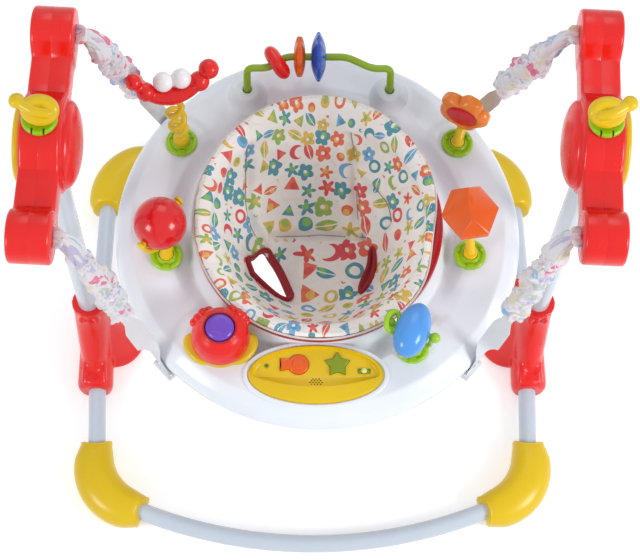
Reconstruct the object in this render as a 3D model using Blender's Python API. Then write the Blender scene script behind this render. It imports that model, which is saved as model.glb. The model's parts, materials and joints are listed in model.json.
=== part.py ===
"""Baby jumper: a seat in a round toy tray, hung on four springs from a standing frame.

Metres, +Z up, the front at -Y and +X to the right when seen from the front.
The origin is on the floor, at the middle of the base. The posts stand a little in front of it.
"""

import math

import bmesh
import bpy
from mathutils import Matrix, Vector

# Clearances
SEAT_GAP = 0.0003
RUNNING_GAP = 0.0006
BORE_GAP = 0.0010

# Base tubes and posts
POST_HALF_SPAN = 0.3685
POST_RADIUS = 0.0172
POST_WALL = 0.0012
POST_FOOT_DEPTH = 0.080
POST_SIDES = 14
BASE_TUBE_RADIUS = 0.0145
BASE_TUBE_WALL = 0.0012
BASE_TUBE_HEIGHT = 0.026
BASE_TUBE_SIDES = 10
FRONT_REACH = 0.364
REAR_REACH = 0.392
BOW_RADIUS = 0.760
TUBE_LEAN = math.radians(2.0)
CORNER_RADIUS = 0.090

# Corner feet
FRONT_FOOT_START = FRONT_REACH - 0.172
REAR_FOOT_START = REAR_REACH - 0.156
FOOT_END_SPAN = 0.282
FOOT_END_WIDTH = 0.0240
FRONT_FOOT_SWELL = 0.0190
REAR_FOOT_SWELL = 0.0130
FOOT_INNER_SWELL = 0.0060
FOOT_HEIGHT = 0.048
FOOT_CROWN = 0.010
FOOT_PRONG = 0.007

# Base hubs
HUB_HEIGHT = 0.186
HUB_HALF_LENGTH = 0.100
HUB_HALF_WIDTH = 0.0300
HUB_BARREL_HEIGHT = 0.058
HUB_TUBE_DEPTH = 0.052
COLLAR_RADIUS = 0.0245
SKIRT_REACH = 0.078
SKIRT_HALF_DEPTH = 0.050
SKIRT_RISE = 0.140
SKIRT_EDGE = 0.012

# Upper beams
BEAM_WIDTH = 0.0570
BEAM_WALL = 0.0026
NECK_INSET = 0.0015
NECK_HALF_HEIGHT = 0.0205
DRUM_REACH = 0.150
DRUM_RADIUS = 0.0360
BEAM_HUB_RADIUS = 0.067
BEAM_HUB_HEIGHT = 0.754
NECK_RISE = 0.016
DRUM_RISE = 0.031
NECK_HEIGHT = BEAM_HUB_HEIGHT + NECK_RISE
DRUM_HEIGHT = BEAM_HUB_HEIGHT + DRUM_RISE
DOME_RADIUS = 0.060
DOME_RISE = 0.0210
PLATE_RADIUS = 0.056
PLATE_RISE = 0.010
POST_TOP_RISE = 0.036
POST_TOP_HEIGHT = BEAM_HUB_HEIGHT + POST_TOP_RISE
BEAM_TWIST = math.radians(-3.0)

# Springs, sleeves and webbing
STRAP_TOP_INSET = 0.018
STRAP_TOP_HEIGHT = DRUM_HEIGHT
STRAP_SAG = 0.012
ANCHOR_SPAN = 0.2255
ANCHOR_DEPTH = 0.2000
SLEEVE_RADIUS = 0.0145
SLEEVE_WALL = 0.0022
SLEEVE_SHARE = 0.54
SLEEVE_SIDES = 8
SLEEVE_GATHERS = 4
SLEEVE_RUFFLE = 0.0016
COIL_WIRE = 0.0011
COIL_TURNS = 6
WEBBING_WIDTH = 0.0165
WEBBING_SPREAD = 0.0300
WEBBING_FOLD = 0.0240
WEBBING_THICKNESS = 0.0016
WEBBING_TUCK = 0.020

# Tray
TRAY_RADIUS = 0.3015
TRAY_RIM_HEIGHT = 0.4460
TRAY_WALL = 0.0028
DECK_RISE = 0.0360
DECK_HEIGHT = TRAY_RIM_HEIGHT + DECK_RISE
DECK_DIP = 0.0070
VALLEY_DEPTH = 0.0120
VALLEY_SPREAD = 0.0300
MOUND_RADIUS = 0.0480
MOUND_EASE = 0.0200
TRAY_LOBE = 0.0030
TRAY_SIDES = 42
TRAY_BASE_SIDES = 36
OPENING_RADIUS = 0.1795
INNER_SLOPE = 0.0200
INNER_BAND = 0.0480
OUTER_BAND = 0.0240
COLLAR_RISE = 0.0042
COLLAR_HEIGHT = DECK_HEIGHT + COLLAR_RISE
TRAY_BASE_DEPTH = 0.0280
TRAY_FLOOR_HEIGHT = TRAY_RIM_HEIGHT - TRAY_BASE_DEPTH
ANCHOR_HEIGHT = TRAY_FLOOR_HEIGHT + 0.0060
FLOOR_RADIUS = 0.2500
LUG_WIDTH = 0.036
LUG_HEIGHT = 0.010
LUG_RIM = 0.0042
LUG_SLACK = 0.0011

# Seat
RING_RADIUS = 0.1835
RING_BAND = 0.0140
RING_WALL = 0.0140
RING_SIDES = 36
RING_SLEEVE = 0.0320
SEAT_RIM_RADIUS = 0.1750
SEAT_RIM_HEIGHT = 0.0160
SEAT_BACK_RISE = 0.0450
SEAT_DEPTH = 0.1700
SEAT_WALL = 0.0060
LEG_HOLE_RADIUS = 0.0400
LEG_HOLE_SPAN = 0.0760
LEG_HOLE_FORWARD = 0.0300

# Front panel
PANEL_HALF_LENGTH = 0.0970
PANEL_HALF_DEPTH = 0.0435
PANEL_CENTRE_X = -0.0050
PANEL_CENTRE_Y = -0.2310
PANEL_RISE = 0.0070
PANEL_LIP = 0.0030
PANEL_RECESS = 0.0075
BUTTON_TRAVEL = 0.0020
BUTTON_PROUD = 0.0035
BUTTON_ROW_Y = -0.2150
ROUND_BUTTON_X = -0.0300
ROUND_BUTTON_RADIUS = 0.0150
STAR_BUTTON_X = 0.0260
STAR_BUTTON_RADIUS = 0.0185
SWITCH_X = 0.0640
SWITCH_Y = -0.2250
SWITCH_TRAVEL = 0.0050

# Battery door and sound board
DOOR_LENGTH = 0.070
DOOR_DEPTH = 0.040
DOOR_Y = -0.2180
DOOR_GAP = 0.0006
BOARD_LENGTH = 0.090
BOARD_DEPTH = 0.046

# Toy sockets and toys
CRAB_SPOT = (-0.205, 0.140)
BALL_SPOT = (-0.223, -0.046)
FACET_SPOT = (0.223, -0.044)
FLOWER_SPOT = (0.211, 0.140)
TUMBLER_SPOT = (-0.1415, -0.1800)
EGG_SPOT = (0.1340, -0.1900)
SOCKET_PLUG_INSET = 0.0020
SOCKET_RADIUS = 0.0240
SOCKET_RISE = 0.0120
SOCKET_DEPTH = 0.0120
STEM_RADIUS = 0.0075
BAR_RADIUS = 0.0055
BAR_HALF_SPAN = 0.1080
BAR_SHIFT = 0.0015
BAR_Y = 0.2210
BAR_SHOULDER = 0.0600
BAR_CREST = 0.0685
BAR_SHOULDER_DEPTH = 0.0140
BAR_CREST_DEPTH = 0.0285
BAR_CREST_START = -0.0490
BAR_CREST_END = 0.0430
BAR_LEFT_STEP = 0.0325
BAR_RIGHT_STEP = 0.0285
BAR_BEND = 0.0060
BOSS_HEIGHT = 0.0200
BOSS_RADIUS = 0.0220
BALL_RADIUS = 0.0385
BALL_RISE = 0.0670
EGG_LENGTH = 0.0420
EGG_RADIUS = 0.0248
EGG_RISE = 0.0630
FORK_WIRE = 0.0034
TUMBLER_RADIUS = 0.0420
TUMBLER_CROWN = 0.0450
TUMBLER_HUB_RADIUS = 0.0100
TUMBLER_HUB_HEIGHT = 0.0340
PUSH_RADIUS = 0.0205
FACET_RADIUS = 0.0420
FACET_LENGTH = 0.0480
FACET_STEM = 0.0700
FLOWER_RADIUS = 0.0400
FLOWER_THICKNESS = 0.0180
FLOWER_RISE = 0.0620
COIL_STEM_RADIUS = 0.0085
COIL_STEM_WIRE = 0.0036
COIL_STEM_TURNS = 3
CRAB_BALL_RADIUS = 0.0120
CRAB_RISE = 0.1490
CRAB_SPREAD = 0.0540
CRAB_CURL = 0.0400
TEETHER_RADIUS = 0.0150
TEETHER_TUBE = 0.0078

COLOURS = {
    "red": (0.80, 0.035, 0.025), "yellow": (0.83, 0.55, 0.02), "white": (0.83, 0.84, 0.86),
    "tube": (0.55, 0.60, 0.68), "green": (0.34, 0.58, 0.03), "orange": (0.86, 0.21, 0.02),
    "blue": (0.08, 0.30, 0.80), "purple": (0.25, 0.10, 0.60), "fabric": (0.82, 0.80, 0.77),
    "steel": (0.50, 0.50, 0.52), "webbing": (0.85, 0.86, 0.88), "board": (0.02, 0.16, 0.07),
}
METALS = {"steel": 1.0}
ROUGH = {"fabric": 0.9, "webbing": 0.8, "steel": 0.3, "tube": 0.35}


def clear_scene():
    """Remove every object that the scene starts with."""
    for obj in list(bpy.data.objects):
        bpy.data.objects.remove(obj, do_unlink=True)


def finish(node, colour):
    """Give a node its own material in one of the named colours."""
    material = bpy.data.materials.new(node)
    material.use_nodes = True
    shader = material.node_tree.nodes["Principled BSDF"]
    shader.inputs["Base Color"].default_value = (*COLOURS[colour], 1.0)
    shader.inputs["Roughness"].default_value = ROUGH.get(colour, 0.25)
    shader.inputs["Metallic"].default_value = METALS.get(colour, 0.0)
    return material


def add_part(node, mesh, colour, pivot=(0.0, 0.0, 0.0)):
    """Make a named object whose origin is at its pivot."""
    mesh.name = node
    mesh.transform(Matrix.Translation(-Vector(pivot)))
    mesh.shade_smooth()
    mesh.set_sharp_from_angle(angle=math.radians(35))
    obj = bpy.data.objects.new(node, mesh)
    obj.location = pivot
    mesh.materials.append(finish(node, colour))
    bpy.context.scene.collection.objects.link(obj)
    return obj


def combine(obj, mesh, operation):
    """Cut a mesh out of an object, or join it on, with an exact Boolean."""
    tool = bpy.data.objects.new(obj.name + "_tool", mesh)
    bpy.context.scene.collection.objects.link(tool)
    tool.hide_render = True
    tool.display_type = "WIRE"
    modifier = obj.modifiers.new(operation.title(), "BOOLEAN")
    modifier.operation = operation
    modifier.object = tool


def cut(obj, mesh):
    """Cut a mesh out of an object."""
    combine(obj, mesh, "DIFFERENCE")


def join(obj, mesh):
    """Join a mesh onto an object."""
    combine(obj, mesh, "UNION")


def finish_mesh(build):
    """Turn a bmesh into a mesh with its faces pointing out."""
    bmesh.ops.recalc_face_normals(build, faces=build.faces)
    mesh = bpy.data.meshes.new("part")
    build.to_mesh(mesh)
    build.free()
    return mesh


def loft(rings, closed=False):
    """Skin a list of rings; a ring of one point closes the skin there."""
    build = bmesh.new()
    loops = [[build.verts.new(point) for point in ring] for ring in rings]
    pairs = list(zip(loops, loops[1:]))
    if closed:
        pairs.append((loops[-1], loops[0]))
    for first, second in pairs:
        count = max(len(first), len(second))
        for i in range(count):
            j = (i + 1) % count
            corners = [first[i % len(first)], first[j % len(first)],
                       second[j % len(second)], second[i % len(second)]]
            build.faces.new(list(dict.fromkeys(corners)))
    if not closed:
        for loop in (loops[0], loops[-1]):
            if len(loop) > 2:
                build.faces.new(loop)
    return finish_mesh(build)


def circle(radius, count, height=0.0, radius_y=None, centre=(0.0, 0.0), phase=0.0):
    """Points round an ellipse in a level plane."""
    radius_y = radius if radius_y is None else radius_y
    angles = [phase + 2 * math.pi * i / count for i in range(count)]
    return [Vector((centre[0] + radius * math.cos(a), centre[1] + radius_y * math.sin(a), height))
            for a in angles]


def around(radius, count):
    """Corner radius of a polygon that clears a circle of this radius."""
    return radius / math.cos(math.pi / count)


def within(radius, count):
    """Radius of the circle inside a polygon with this corner radius."""
    return radius * math.cos(math.pi / count)


def turned(profile, count=24, closed=False):
    """Turn a profile of radius and height about +Z."""
    rings = [circle(r, count, z) if r > 0 else [Vector((0, 0, z))] for r, z in profile]
    return loft(rings, closed)


def dome_profile(radius, rise, base, steps=5):
    """A profile from the foot of a dome up to its crown."""
    turns = [math.pi / 2 * i / steps for i in range(steps)]
    points = [(radius * math.cos(t), base + rise * math.sin(t)) for t in turns]
    return points + [(0.0, base + rise)]


def ball(radius, radius_z=None, count=16, steps=8):
    """A closed ellipsoid of revolution."""
    radius_z = radius_z or radius
    turns = [math.pi * i / steps - math.pi / 2 for i in range(1, steps)]
    points = [(radius * math.cos(t), radius_z * math.sin(t)) for t in turns]
    return turned([(0, -radius_z), *points, (0, radius_z)], count)


def prism(outline, low, high):
    """A closed prism over a level outline."""
    return loft([[Vector((x, y, low)) for x, y in outline], [Vector((x, y, high)) for x, y in outline]])


def aim(direction, origin=(0.0, 0.0, 0.0), roll=0.0):
    """A matrix that sends +Z along a direction and the origin to a point."""
    turn = Vector(direction).normalized().to_track_quat("Z", "Y").to_matrix().to_4x4()
    return Matrix.Translation(origin) @ turn @ Matrix.Rotation(roll, 4, "Z")


def moved(mesh, matrix):
    """Place a mesh with a matrix, keeping its faces pointing out."""
    mesh.transform(matrix)
    if matrix.determinant() < 0:
        mesh.flip_normals()
    return mesh


def path_frames(path, up=None):
    """A side and an up direction at each point of a path."""
    frames = []
    side = None
    for i, point in enumerate(path):
        ahead = path[min(i + 1, len(path) - 1)] - path[max(i - 1, 0)]
        along = ahead.normalized()
        if up is not None:
            side = along.cross(up).normalized()
        elif side is None:
            start = Vector((0, 1, 0)) if abs(along.y) < 0.8 else Vector((1, 0, 0))
            side = along.cross(start).normalized()
        else:
            side = (side - along * side.dot(along)).normalized()
        frames.append((point, side, side.cross(along), along))
    return frames


def sweep(path, outline, up=None):
    """Rings along a path; outline gives side and up offsets for a share of its length."""
    frames = path_frames(path, up)
    last = len(path) - 1
    return [[point + side * a + over * b + along * c for a, b, c in outline(i / last)]
            for i, (point, side, over, along) in enumerate(frames)]


def round_outline(radius, count):
    """An outline function for a round tube; radius may follow the share of length."""
    def outline(share):
        size = radius(share) if callable(radius) else radius
        angles = [2 * math.pi * (i + 0.5) / count for i in range(count)]
        return [(size * math.cos(a), size * math.sin(a), 0.0) for a in angles]
    return outline


def rod(path, radius, count=10, up=None):
    """A solid round rod along a path."""
    return loft(sweep(path, round_outline(radius, count), up))


def pipe(path, outer, inner, count=10, up=None):
    """An open tube along a path with an outer and an inner radius."""
    outside = sweep(path, round_outline(outer, count), up)
    inside = sweep(path, round_outline(inner, count), up)
    return loft(outside + inside[::-1], closed=True)


def strip(path, sides, widths, thickness):
    """A flat strip along a path, with a side direction and a width at each point."""
    deep, soft = thickness / 2, thickness * 0.35
    rings = []
    for i, point in enumerate(path):
        half = widths[i] / 2
        along = (path[min(i + 1, len(path) - 1)] - path[max(i - 1, 0)]).normalized()
        side = (sides[i] - along * sides[i].dot(along)).normalized()
        face = side.cross(along)
        corners = [(half, -deep + soft), (half, deep - soft), (half - soft, deep), (-half + soft, deep),
                   (-half, deep - soft), (-half, -deep + soft), (-half + soft, -deep), (half - soft, -deep)]
        rings.append([point + side * a + face * b for a, b in corners])
    return loft(rings)


def base_corner(start_y, reach):
    """A base tube's centreline inside one foot, from the straight part onto the bow."""
    bow_centre = Vector((0.0, BOW_RADIUS - reach, BASE_TUBE_HEIGHT))
    along = Vector((-math.sin(TUBE_LEAN), -math.cos(TUBE_LEAN), 0.0))
    inward = Vector((-math.cos(TUBE_LEAN), math.sin(TUBE_LEAN), 0.0))
    first = base_start(start_y)
    offset = first + inward * CORNER_RADIUS - bow_centre
    lead = offset.dot(along)
    run = math.sqrt(lead ** 2 - offset.dot(offset) + (BOW_RADIUS - CORNER_RADIUS) ** 2) - lead
    corner = first + along * run + inward * CORNER_RADIUS
    turn_start = math.atan2(-inward.y, -inward.x)
    outward = (corner - bow_centre).normalized()
    turn_end = math.atan2(outward.y, outward.x)
    points = [first, first + along * run]
    steps = 4
    for i in range(1, steps + 1):
        a = turn_start + (turn_end - turn_start) * i / steps
        points.append(corner + CORNER_RADIUS * Vector((math.cos(a), math.sin(a), 0.0)))
    return points + base_bow(reach, turn_end, -math.acos(FOOT_END_SPAN / BOW_RADIUS), 2)


def base_start(distance):
    """A point on the straight part of a base tube, at a distance from the post's centre."""
    return Vector((POST_HALF_SPAN - math.sin(TUBE_LEAN) * distance, -math.cos(TUBE_LEAN) * distance,
                   BASE_TUBE_HEIGHT))


def base_bow(reach, start, end, steps):
    """Points along the wide bow of a base tube, without the first."""
    centre = Vector((0.0, BOW_RADIUS - reach, BASE_TUBE_HEIGHT))
    angles = [start + (end - start) * i / steps for i in range(1, steps + 1)]
    return [centre + BOW_RADIUS * Vector((math.cos(a), math.sin(a), 0.0)) for a in angles]


def mirrored(points, sign_x, sign_y):
    """Points with their signs changed in x and y."""
    return [Vector((p.x * sign_x, p.y * sign_y, p.z)) for p in points]


def base_tube(end, sign_y, reach, start):
    """A bent steel tube that runs from one hub through two feet to the other hub."""
    hidden = HUB_HALF_LENGTH - HUB_TUBE_DEPTH + SEAT_GAP
    bow = base_bow(reach, -math.acos(FOOT_END_SPAN / BOW_RADIUS), -math.pi / 2, 3)
    half = [base_start(hidden)] + base_corner(start, reach) + bow
    path = mirrored(half, 1, sign_y) + mirrored(half[:-1], -1, sign_y)[::-1]
    mesh = pipe(path, BASE_TUBE_RADIUS, BASE_TUBE_RADIUS - BASE_TUBE_WALL, BASE_TUBE_SIDES,
                Vector((0, 0, 1)))
    add_part(f"base_{end}_tube", mesh, "tube")


def foot(end, sign_y, reach, start, outer_swell, side, sign_x):
    """A plump plastic elbow on a corner of the base, flat underneath."""
    path = mirrored(base_corner(start, reach), sign_x, sign_y)
    inside = sign_x * sign_y
    angles = [2 * math.pi * (i + 0.5) / BASE_TUBE_SIDES for i in range(BASE_TUBE_SIDES)]

    def prong(share, a):
        length = FOOT_PRONG * max(0.0, (share - 0.8) / 0.2)
        return length * (abs(math.cos(a)) - 0.5)

    def outer(share):
        swell = math.sin(math.pi * share) ** 1.1
        top = FOOT_HEIGHT + FOOT_CROWN * swell - BASE_TUBE_HEIGHT
        points = []
        for a in angles:
            bulge = FOOT_INNER_SWELL if math.cos(a) * inside > 0 else outer_swell
            width = FOOT_END_WIDTH + bulge * swell
            drop = -BASE_TUBE_HEIGHT * min(1.0, -1.7 * math.sin(a))
            points.append((width * math.cos(a), top * math.sin(a) if math.sin(a) > 0 else drop,
                           prong(share, a)))
        return points

    def inner(share):
        size = BASE_TUBE_RADIUS + SEAT_GAP
        return [(size * math.cos(a), size * math.sin(a), prong(share, a)) for a in angles]

    up = Vector((0, 0, 1))
    mesh = loft(sweep(path, outer, up) + sweep(path, inner, up)[::-1], closed=True)
    add_part(f"foot_{end}_{side}", mesh, "yellow")


def hub(side, sign_x):
    """The moulded joint that holds both base tubes and the post of one side."""
    rings = []
    steps = 6
    for i in range(steps):
        rise = i / (steps - 1)
        wide = HUB_HALF_WIDTH * (0.90 + 0.07 * math.sin(math.pi * rise))
        deep = COLLAR_RADIUS + (HUB_HALF_LENGTH * 0.93 - COLLAR_RADIUS) * (1 + math.cos(math.pi * rise)) / 2
        rings.append(circle(wide, 14, 0.004 + (HUB_HEIGHT - 0.025) * rise, deep))
    rings.append(circle(COLLAR_RADIUS, 14, HUB_HEIGHT))
    riser = loft(rings)
    centre = Matrix.Translation((sign_x * POST_HALF_SPAN, 0, 0))
    obj = add_part(f"hub_{side}", moved(riser, centre), "red")

    def barrel_outline(share):
        ease = 0.94 if share in (0.0, 1.0) else 1.0
        points = []
        for i in range(12):
            a = 2 * math.pi * i / 12
            rise = HUB_BARREL_HEIGHT - BASE_TUBE_HEIGHT
            up = rise * math.sin(a) if math.sin(a) > 0 else -BASE_TUBE_HEIGHT * min(1.0, -1.5 * math.sin(a))
            points.append((HUB_HALF_WIDTH * math.cos(a) * ease, up * ease if up > 0 else up, 0.0))
        return points

    stations = (-1.0, -0.95, 0.95, 1.0)
    line = [Vector((0, HUB_HALF_LENGTH * y, BASE_TUBE_HEIGHT)) for y in stations]
    barrel = loft(sweep(line, barrel_outline, Vector((0, 0, 1))))
    join(obj, moved(barrel, centre))
    reach = (SKIRT_REACH + HUB_HALF_WIDTH * 0.9) / 2
    skirt_centre = (sign_x * (reach - SKIRT_REACH), 0.0)
    skirt = loft([circle(reach, 15, 0.002, SKIRT_HALF_DEPTH, skirt_centre),
                  circle(reach, 15, SKIRT_EDGE, SKIRT_HALF_DEPTH, skirt_centre),
                  circle(HUB_HALF_WIDTH * 0.5, 15, SKIRT_RISE, HUB_HALF_WIDTH * 0.5)])
    join(obj, moved(skirt, centre))
    for sign_y in (-1, 1):
        ends = [Vector((-sign_x * math.tan(TUBE_LEAN) * y, sign_y * y, BASE_TUBE_HEIGHT))
                for y in (HUB_HALF_LENGTH + 0.01, HUB_HALF_LENGTH - HUB_TUBE_DEPTH)]
        cut(obj, moved(rod(ends, around(BASE_TUBE_RADIUS + SEAT_GAP, 12), 12), centre))
    bore = [Vector((0, 0, z)) for z in (HUB_HEIGHT - POST_FOOT_DEPTH, HUB_HEIGHT + 0.01)]
    cut(obj, moved(rod(bore, around(POST_RADIUS + SEAT_GAP, POST_SIDES), POST_SIDES), centre))


def post(side, sign_x):
    """A straight steel tube that stands in the hub and carries the beam."""
    x = sign_x * POST_HALF_SPAN
    ends = [Vector((x, 0, HUB_HEIGHT - POST_FOOT_DEPTH + SEAT_GAP)), Vector((x, 0, POST_TOP_HEIGHT))]
    add_part(f"post_{side}", pipe(ends, POST_RADIUS, POST_RADIUS - POST_WALL, POST_SIDES), "tube")


def beam_outline(inset):
    """Side view of a beam: two end drums, a neck and a round hub, as upper and lower heights."""
    drum = DRUM_RADIUS - inset
    wheel = BEAM_HUB_RADIUS - inset
    neck = NECK_HALF_HEIGHT - inset
    stations = {round(DRUM_REACH + drum * math.cos(math.pi * i / 6), 6) for i in range(1, 6)}
    stations |= {round(wheel * math.sin(math.pi / 2 * i / 4), 6) for i in range(5)}
    half = sorted(stations)
    columns = []
    for y in [-v for v in reversed(half[1:])] + half:
        high, low = [NECK_HEIGHT + neck], [NECK_HEIGHT - neck]
        if abs(y) >= DRUM_REACH:
            high, low = [], []
        for centre_y, centre_z, radius in ((math.copysign(DRUM_REACH, y), DRUM_HEIGHT, drum),
                                           (0.0, BEAM_HUB_HEIGHT, wheel)):
            if abs(y - centre_y) < radius:
                rise = math.sqrt(radius ** 2 - (y - centre_y) ** 2)
                high.append(centre_z + rise)
                low.append(centre_z - rise)
        columns.append((y, max(high), min(low)))
    tip = DRUM_REACH + drum
    return [(-tip, DRUM_HEIGHT)] + [(y, z) for y, z, _ in columns] + [(tip, DRUM_HEIGHT)] + \
           [(y, z) for y, _, z in reversed(columns)]


def beam_face(y):
    """Distance of a beam's side face from the post's centre plane."""
    share = max(0.0, min(1.0, (DRUM_REACH - DRUM_RADIUS - abs(y)) / 0.008 + 0.5))
    return BEAM_WIDTH / 2 - NECK_INSET * share


def beam_place(sign_x):
    """A matrix that sets a beam on its post, turned a little about it."""
    return Matrix.Translation((sign_x * POST_HALF_SPAN, 0, 0)) @ Matrix.Rotation(BEAM_TWIST, 4, "Z")


def beam_shell(side, sign_x, name, sign):
    """One moulded half of a beam, hollow and open at the joint between the halves."""
    outer, inner = beam_outline(0.0), beam_outline(BEAM_WALL)
    eased = beam_outline(BEAM_WALL * 0.7)
    half_joint = SEAT_GAP / 2

    def ring(outline, depth):
        return [Vector((sign * depth(y), y, z)) for y, z in outline]

    rings = [ring(eased, beam_face), ring(outer, lambda y: beam_face(y) - BEAM_WALL * 0.7),
             ring(outer, lambda y: half_joint), ring(inner, lambda y: half_joint),
             ring(inner, lambda y: beam_face(y) - BEAM_WALL)]
    build = bmesh.new()
    loops = [[build.verts.new(p) for p in points] for points in rings]
    count = len(loops[0])
    for first, second in zip(loops, loops[1:]):
        for i in range(count):
            j = (i + 1) % count
            build.faces.new((first[i], first[j], second[j], second[i]))
    half = count // 2
    for loop in (loops[0], loops[-1]):
        build.faces.new((loop[0], loop[1], loop[-1]))
        for i in range(1, half - 1):
            build.faces.new((loop[i], loop[i + 1], loop[-i - 1], loop[-i]))
        build.faces.new((loop[half - 1], loop[half], loop[half + 1]))
    centre = beam_place(sign_x)
    obj = add_part(f"beam_{side}_{name}", moved(finish_mesh(build), centre), "red")
    inboard = sign == -sign_x
    if inboard:
        foot_x = BEAM_WIDTH / 2 - NECK_INSET - BEAM_WALL / 2
        rise = dome_profile(DOME_RADIUS, DOME_RISE, BEAM_WALL / 2, 3)
        bulge = turned([(DOME_RADIUS * 0.98, 0.0), *rise], 18)
        place = aim((sign, 0, 0), (sign * foot_x, 0, BEAM_HUB_HEIGHT))
        join(obj, moved(bulge, centre @ place))
    low = [Vector((0, 0, z)) for z in (BEAM_HUB_HEIGHT - BEAM_HUB_RADIUS - 0.01, BEAM_HUB_HEIGHT)]
    cut(obj, moved(rod(low, around(POST_RADIUS + SEAT_GAP, POST_SIDES + 1), POST_SIDES + 1), centre))
    top = BEAM_HUB_HEIGHT + BEAM_HUB_RADIUS
    pocket = [Vector((0, 0, z)) for z in (top - SOCKET_DEPTH, top + 0.01)]
    cut(obj, moved(rod(pocket, around(SOCKET_RADIUS - SOCKET_PLUG_INSET + SEAT_GAP, 15), 15), centre))


def beam_plate(side, sign_x):
    """The round cover plate on the outboard face of a beam's hub."""
    profile = [(0.0, 0.0), (PLATE_RADIUS, 0.0), (PLATE_RADIUS, PLATE_RISE * 0.6),
               (PLATE_RADIUS * 0.94, PLATE_RISE), (0.0, PLATE_RISE * 1.05)]
    face = BEAM_WIDTH / 2 - NECK_INSET + SEAT_GAP
    place = aim((sign_x, 0, 0), (sign_x * face, 0, BEAM_HUB_HEIGHT))
    add_part(f"beam_{side}_plate", moved(turned(profile, 24), beam_place(sign_x) @ place), "yellow")


def socket_mesh(radius, rise, depth, bore):
    """A toy socket: a plug in the deck with a raised lip round a blind bore."""
    plug = radius - SOCKET_PLUG_INSET
    return turned([(0.0, -depth), (plug, -depth), (plug, SEAT_GAP), (radius, SEAT_GAP),
                   (radius, rise * 0.55), (radius * 0.86, rise), (radius * 0.62, rise),
                   (bore, rise * 0.55), (bore, -depth * 0.5), (0.0, -depth * 0.5)], 12)


def beam_toy(side, sign_x):
    """The socket and the looped teether on top of a beam."""
    top = BEAM_HUB_HEIGHT + BEAM_HUB_RADIUS
    bore = around(STEM_RADIUS + RUNNING_GAP, 12)
    pivot = (sign_x * POST_HALF_SPAN, 0, top)
    base = Matrix.Translation(pivot)
    mesh = socket_mesh(SOCKET_RADIUS, SOCKET_RISE * 0.55, SOCKET_DEPTH * 0.8, bore)
    add_part(f"beam_{side}_socket", moved(mesh, base), "green")
    stem = rod([Vector((0, 0, -SOCKET_DEPTH * 0.4 + SEAT_GAP)), Vector((0, 0, 0.009)),
                Vector((0, -0.010, 0.021))], STEM_RADIUS, 12)
    obj = add_part(f"teether_{side}", moved(stem, base), "yellow", pivot)
    count = 12
    loop = []
    for i in range(count):
        a = 2 * math.pi * i / count
        lift = 0.0250 + 0.0050 * math.sin(a)
        loop.append(Vector((TEETHER_RADIUS * math.cos(a), TEETHER_RADIUS * math.sin(a), lift)))
    join(obj, moved(closed_rod(loop, TEETHER_TUBE, 8), base))
    knob = Vector((sign_x * TEETHER_RADIUS * 1.55, 0.0080, 0.0360))
    arm = [Vector((sign_x * TEETHER_RADIUS * 0.6, -0.0060, 0.0250)), knob]
    join(obj, moved(rod(arm, TEETHER_TUBE * 0.95, 8), base))
    join(obj, moved(ball(TEETHER_TUBE * 1.2, None, 10, 5), base @ Matrix.Translation(knob)))


def closed_rod(points, radius, count):
    """A round rod along a closed loop of points, kept level."""
    rings = []
    total = len(points)
    for i, point in enumerate(points):
        along = (points[(i + 1) % total] - points[i - 1]).normalized()
        side = along.cross(Vector((0, 0, 1))).normalized()
        over = side.cross(along)
        angles = [2 * math.pi * k / count for k in range(count)]
        rings.append([point + side * radius * math.cos(a) + over * radius * math.sin(a) for a in angles])
    return loft(rings, closed=True)


def strap_line(sign_x, sign_y):
    """Upper and lower ends of a spring strap, and the point where it turns down."""
    place = beam_place(sign_x)
    face = BEAM_WIDTH / 2 + SEAT_GAP
    start = place @ Vector((-sign_x * face, sign_y * DRUM_REACH, STRAP_TOP_HEIGHT))
    turn = place @ Vector((-sign_x * (face + STRAP_TOP_INSET), sign_y * DRUM_REACH,
                           STRAP_TOP_HEIGHT - STRAP_SAG))
    low = Vector((sign_x * ANCHOR_SPAN, sign_y * ANCHOR_DEPTH, ANCHOR_HEIGHT))
    return start, turn, low


def smooth_path(start, turn, low, share, steps):
    """A path that leaves the beam square to it and bends down along the strap."""
    end = turn.lerp(low, share)
    knee = turn.lerp(low, 0.10)
    level = Vector((turn.x, turn.y, start.z))
    proud = start + (level - start).normalized() * 0.005
    bend = [start]
    for i in range(5):
        t = i / 4
        bend.append(proud.lerp(level, t).lerp(level.lerp(knee, t), t))
    return bend + [knee.lerp(end, i / steps) for i in range(1, steps + 1)]


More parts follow.
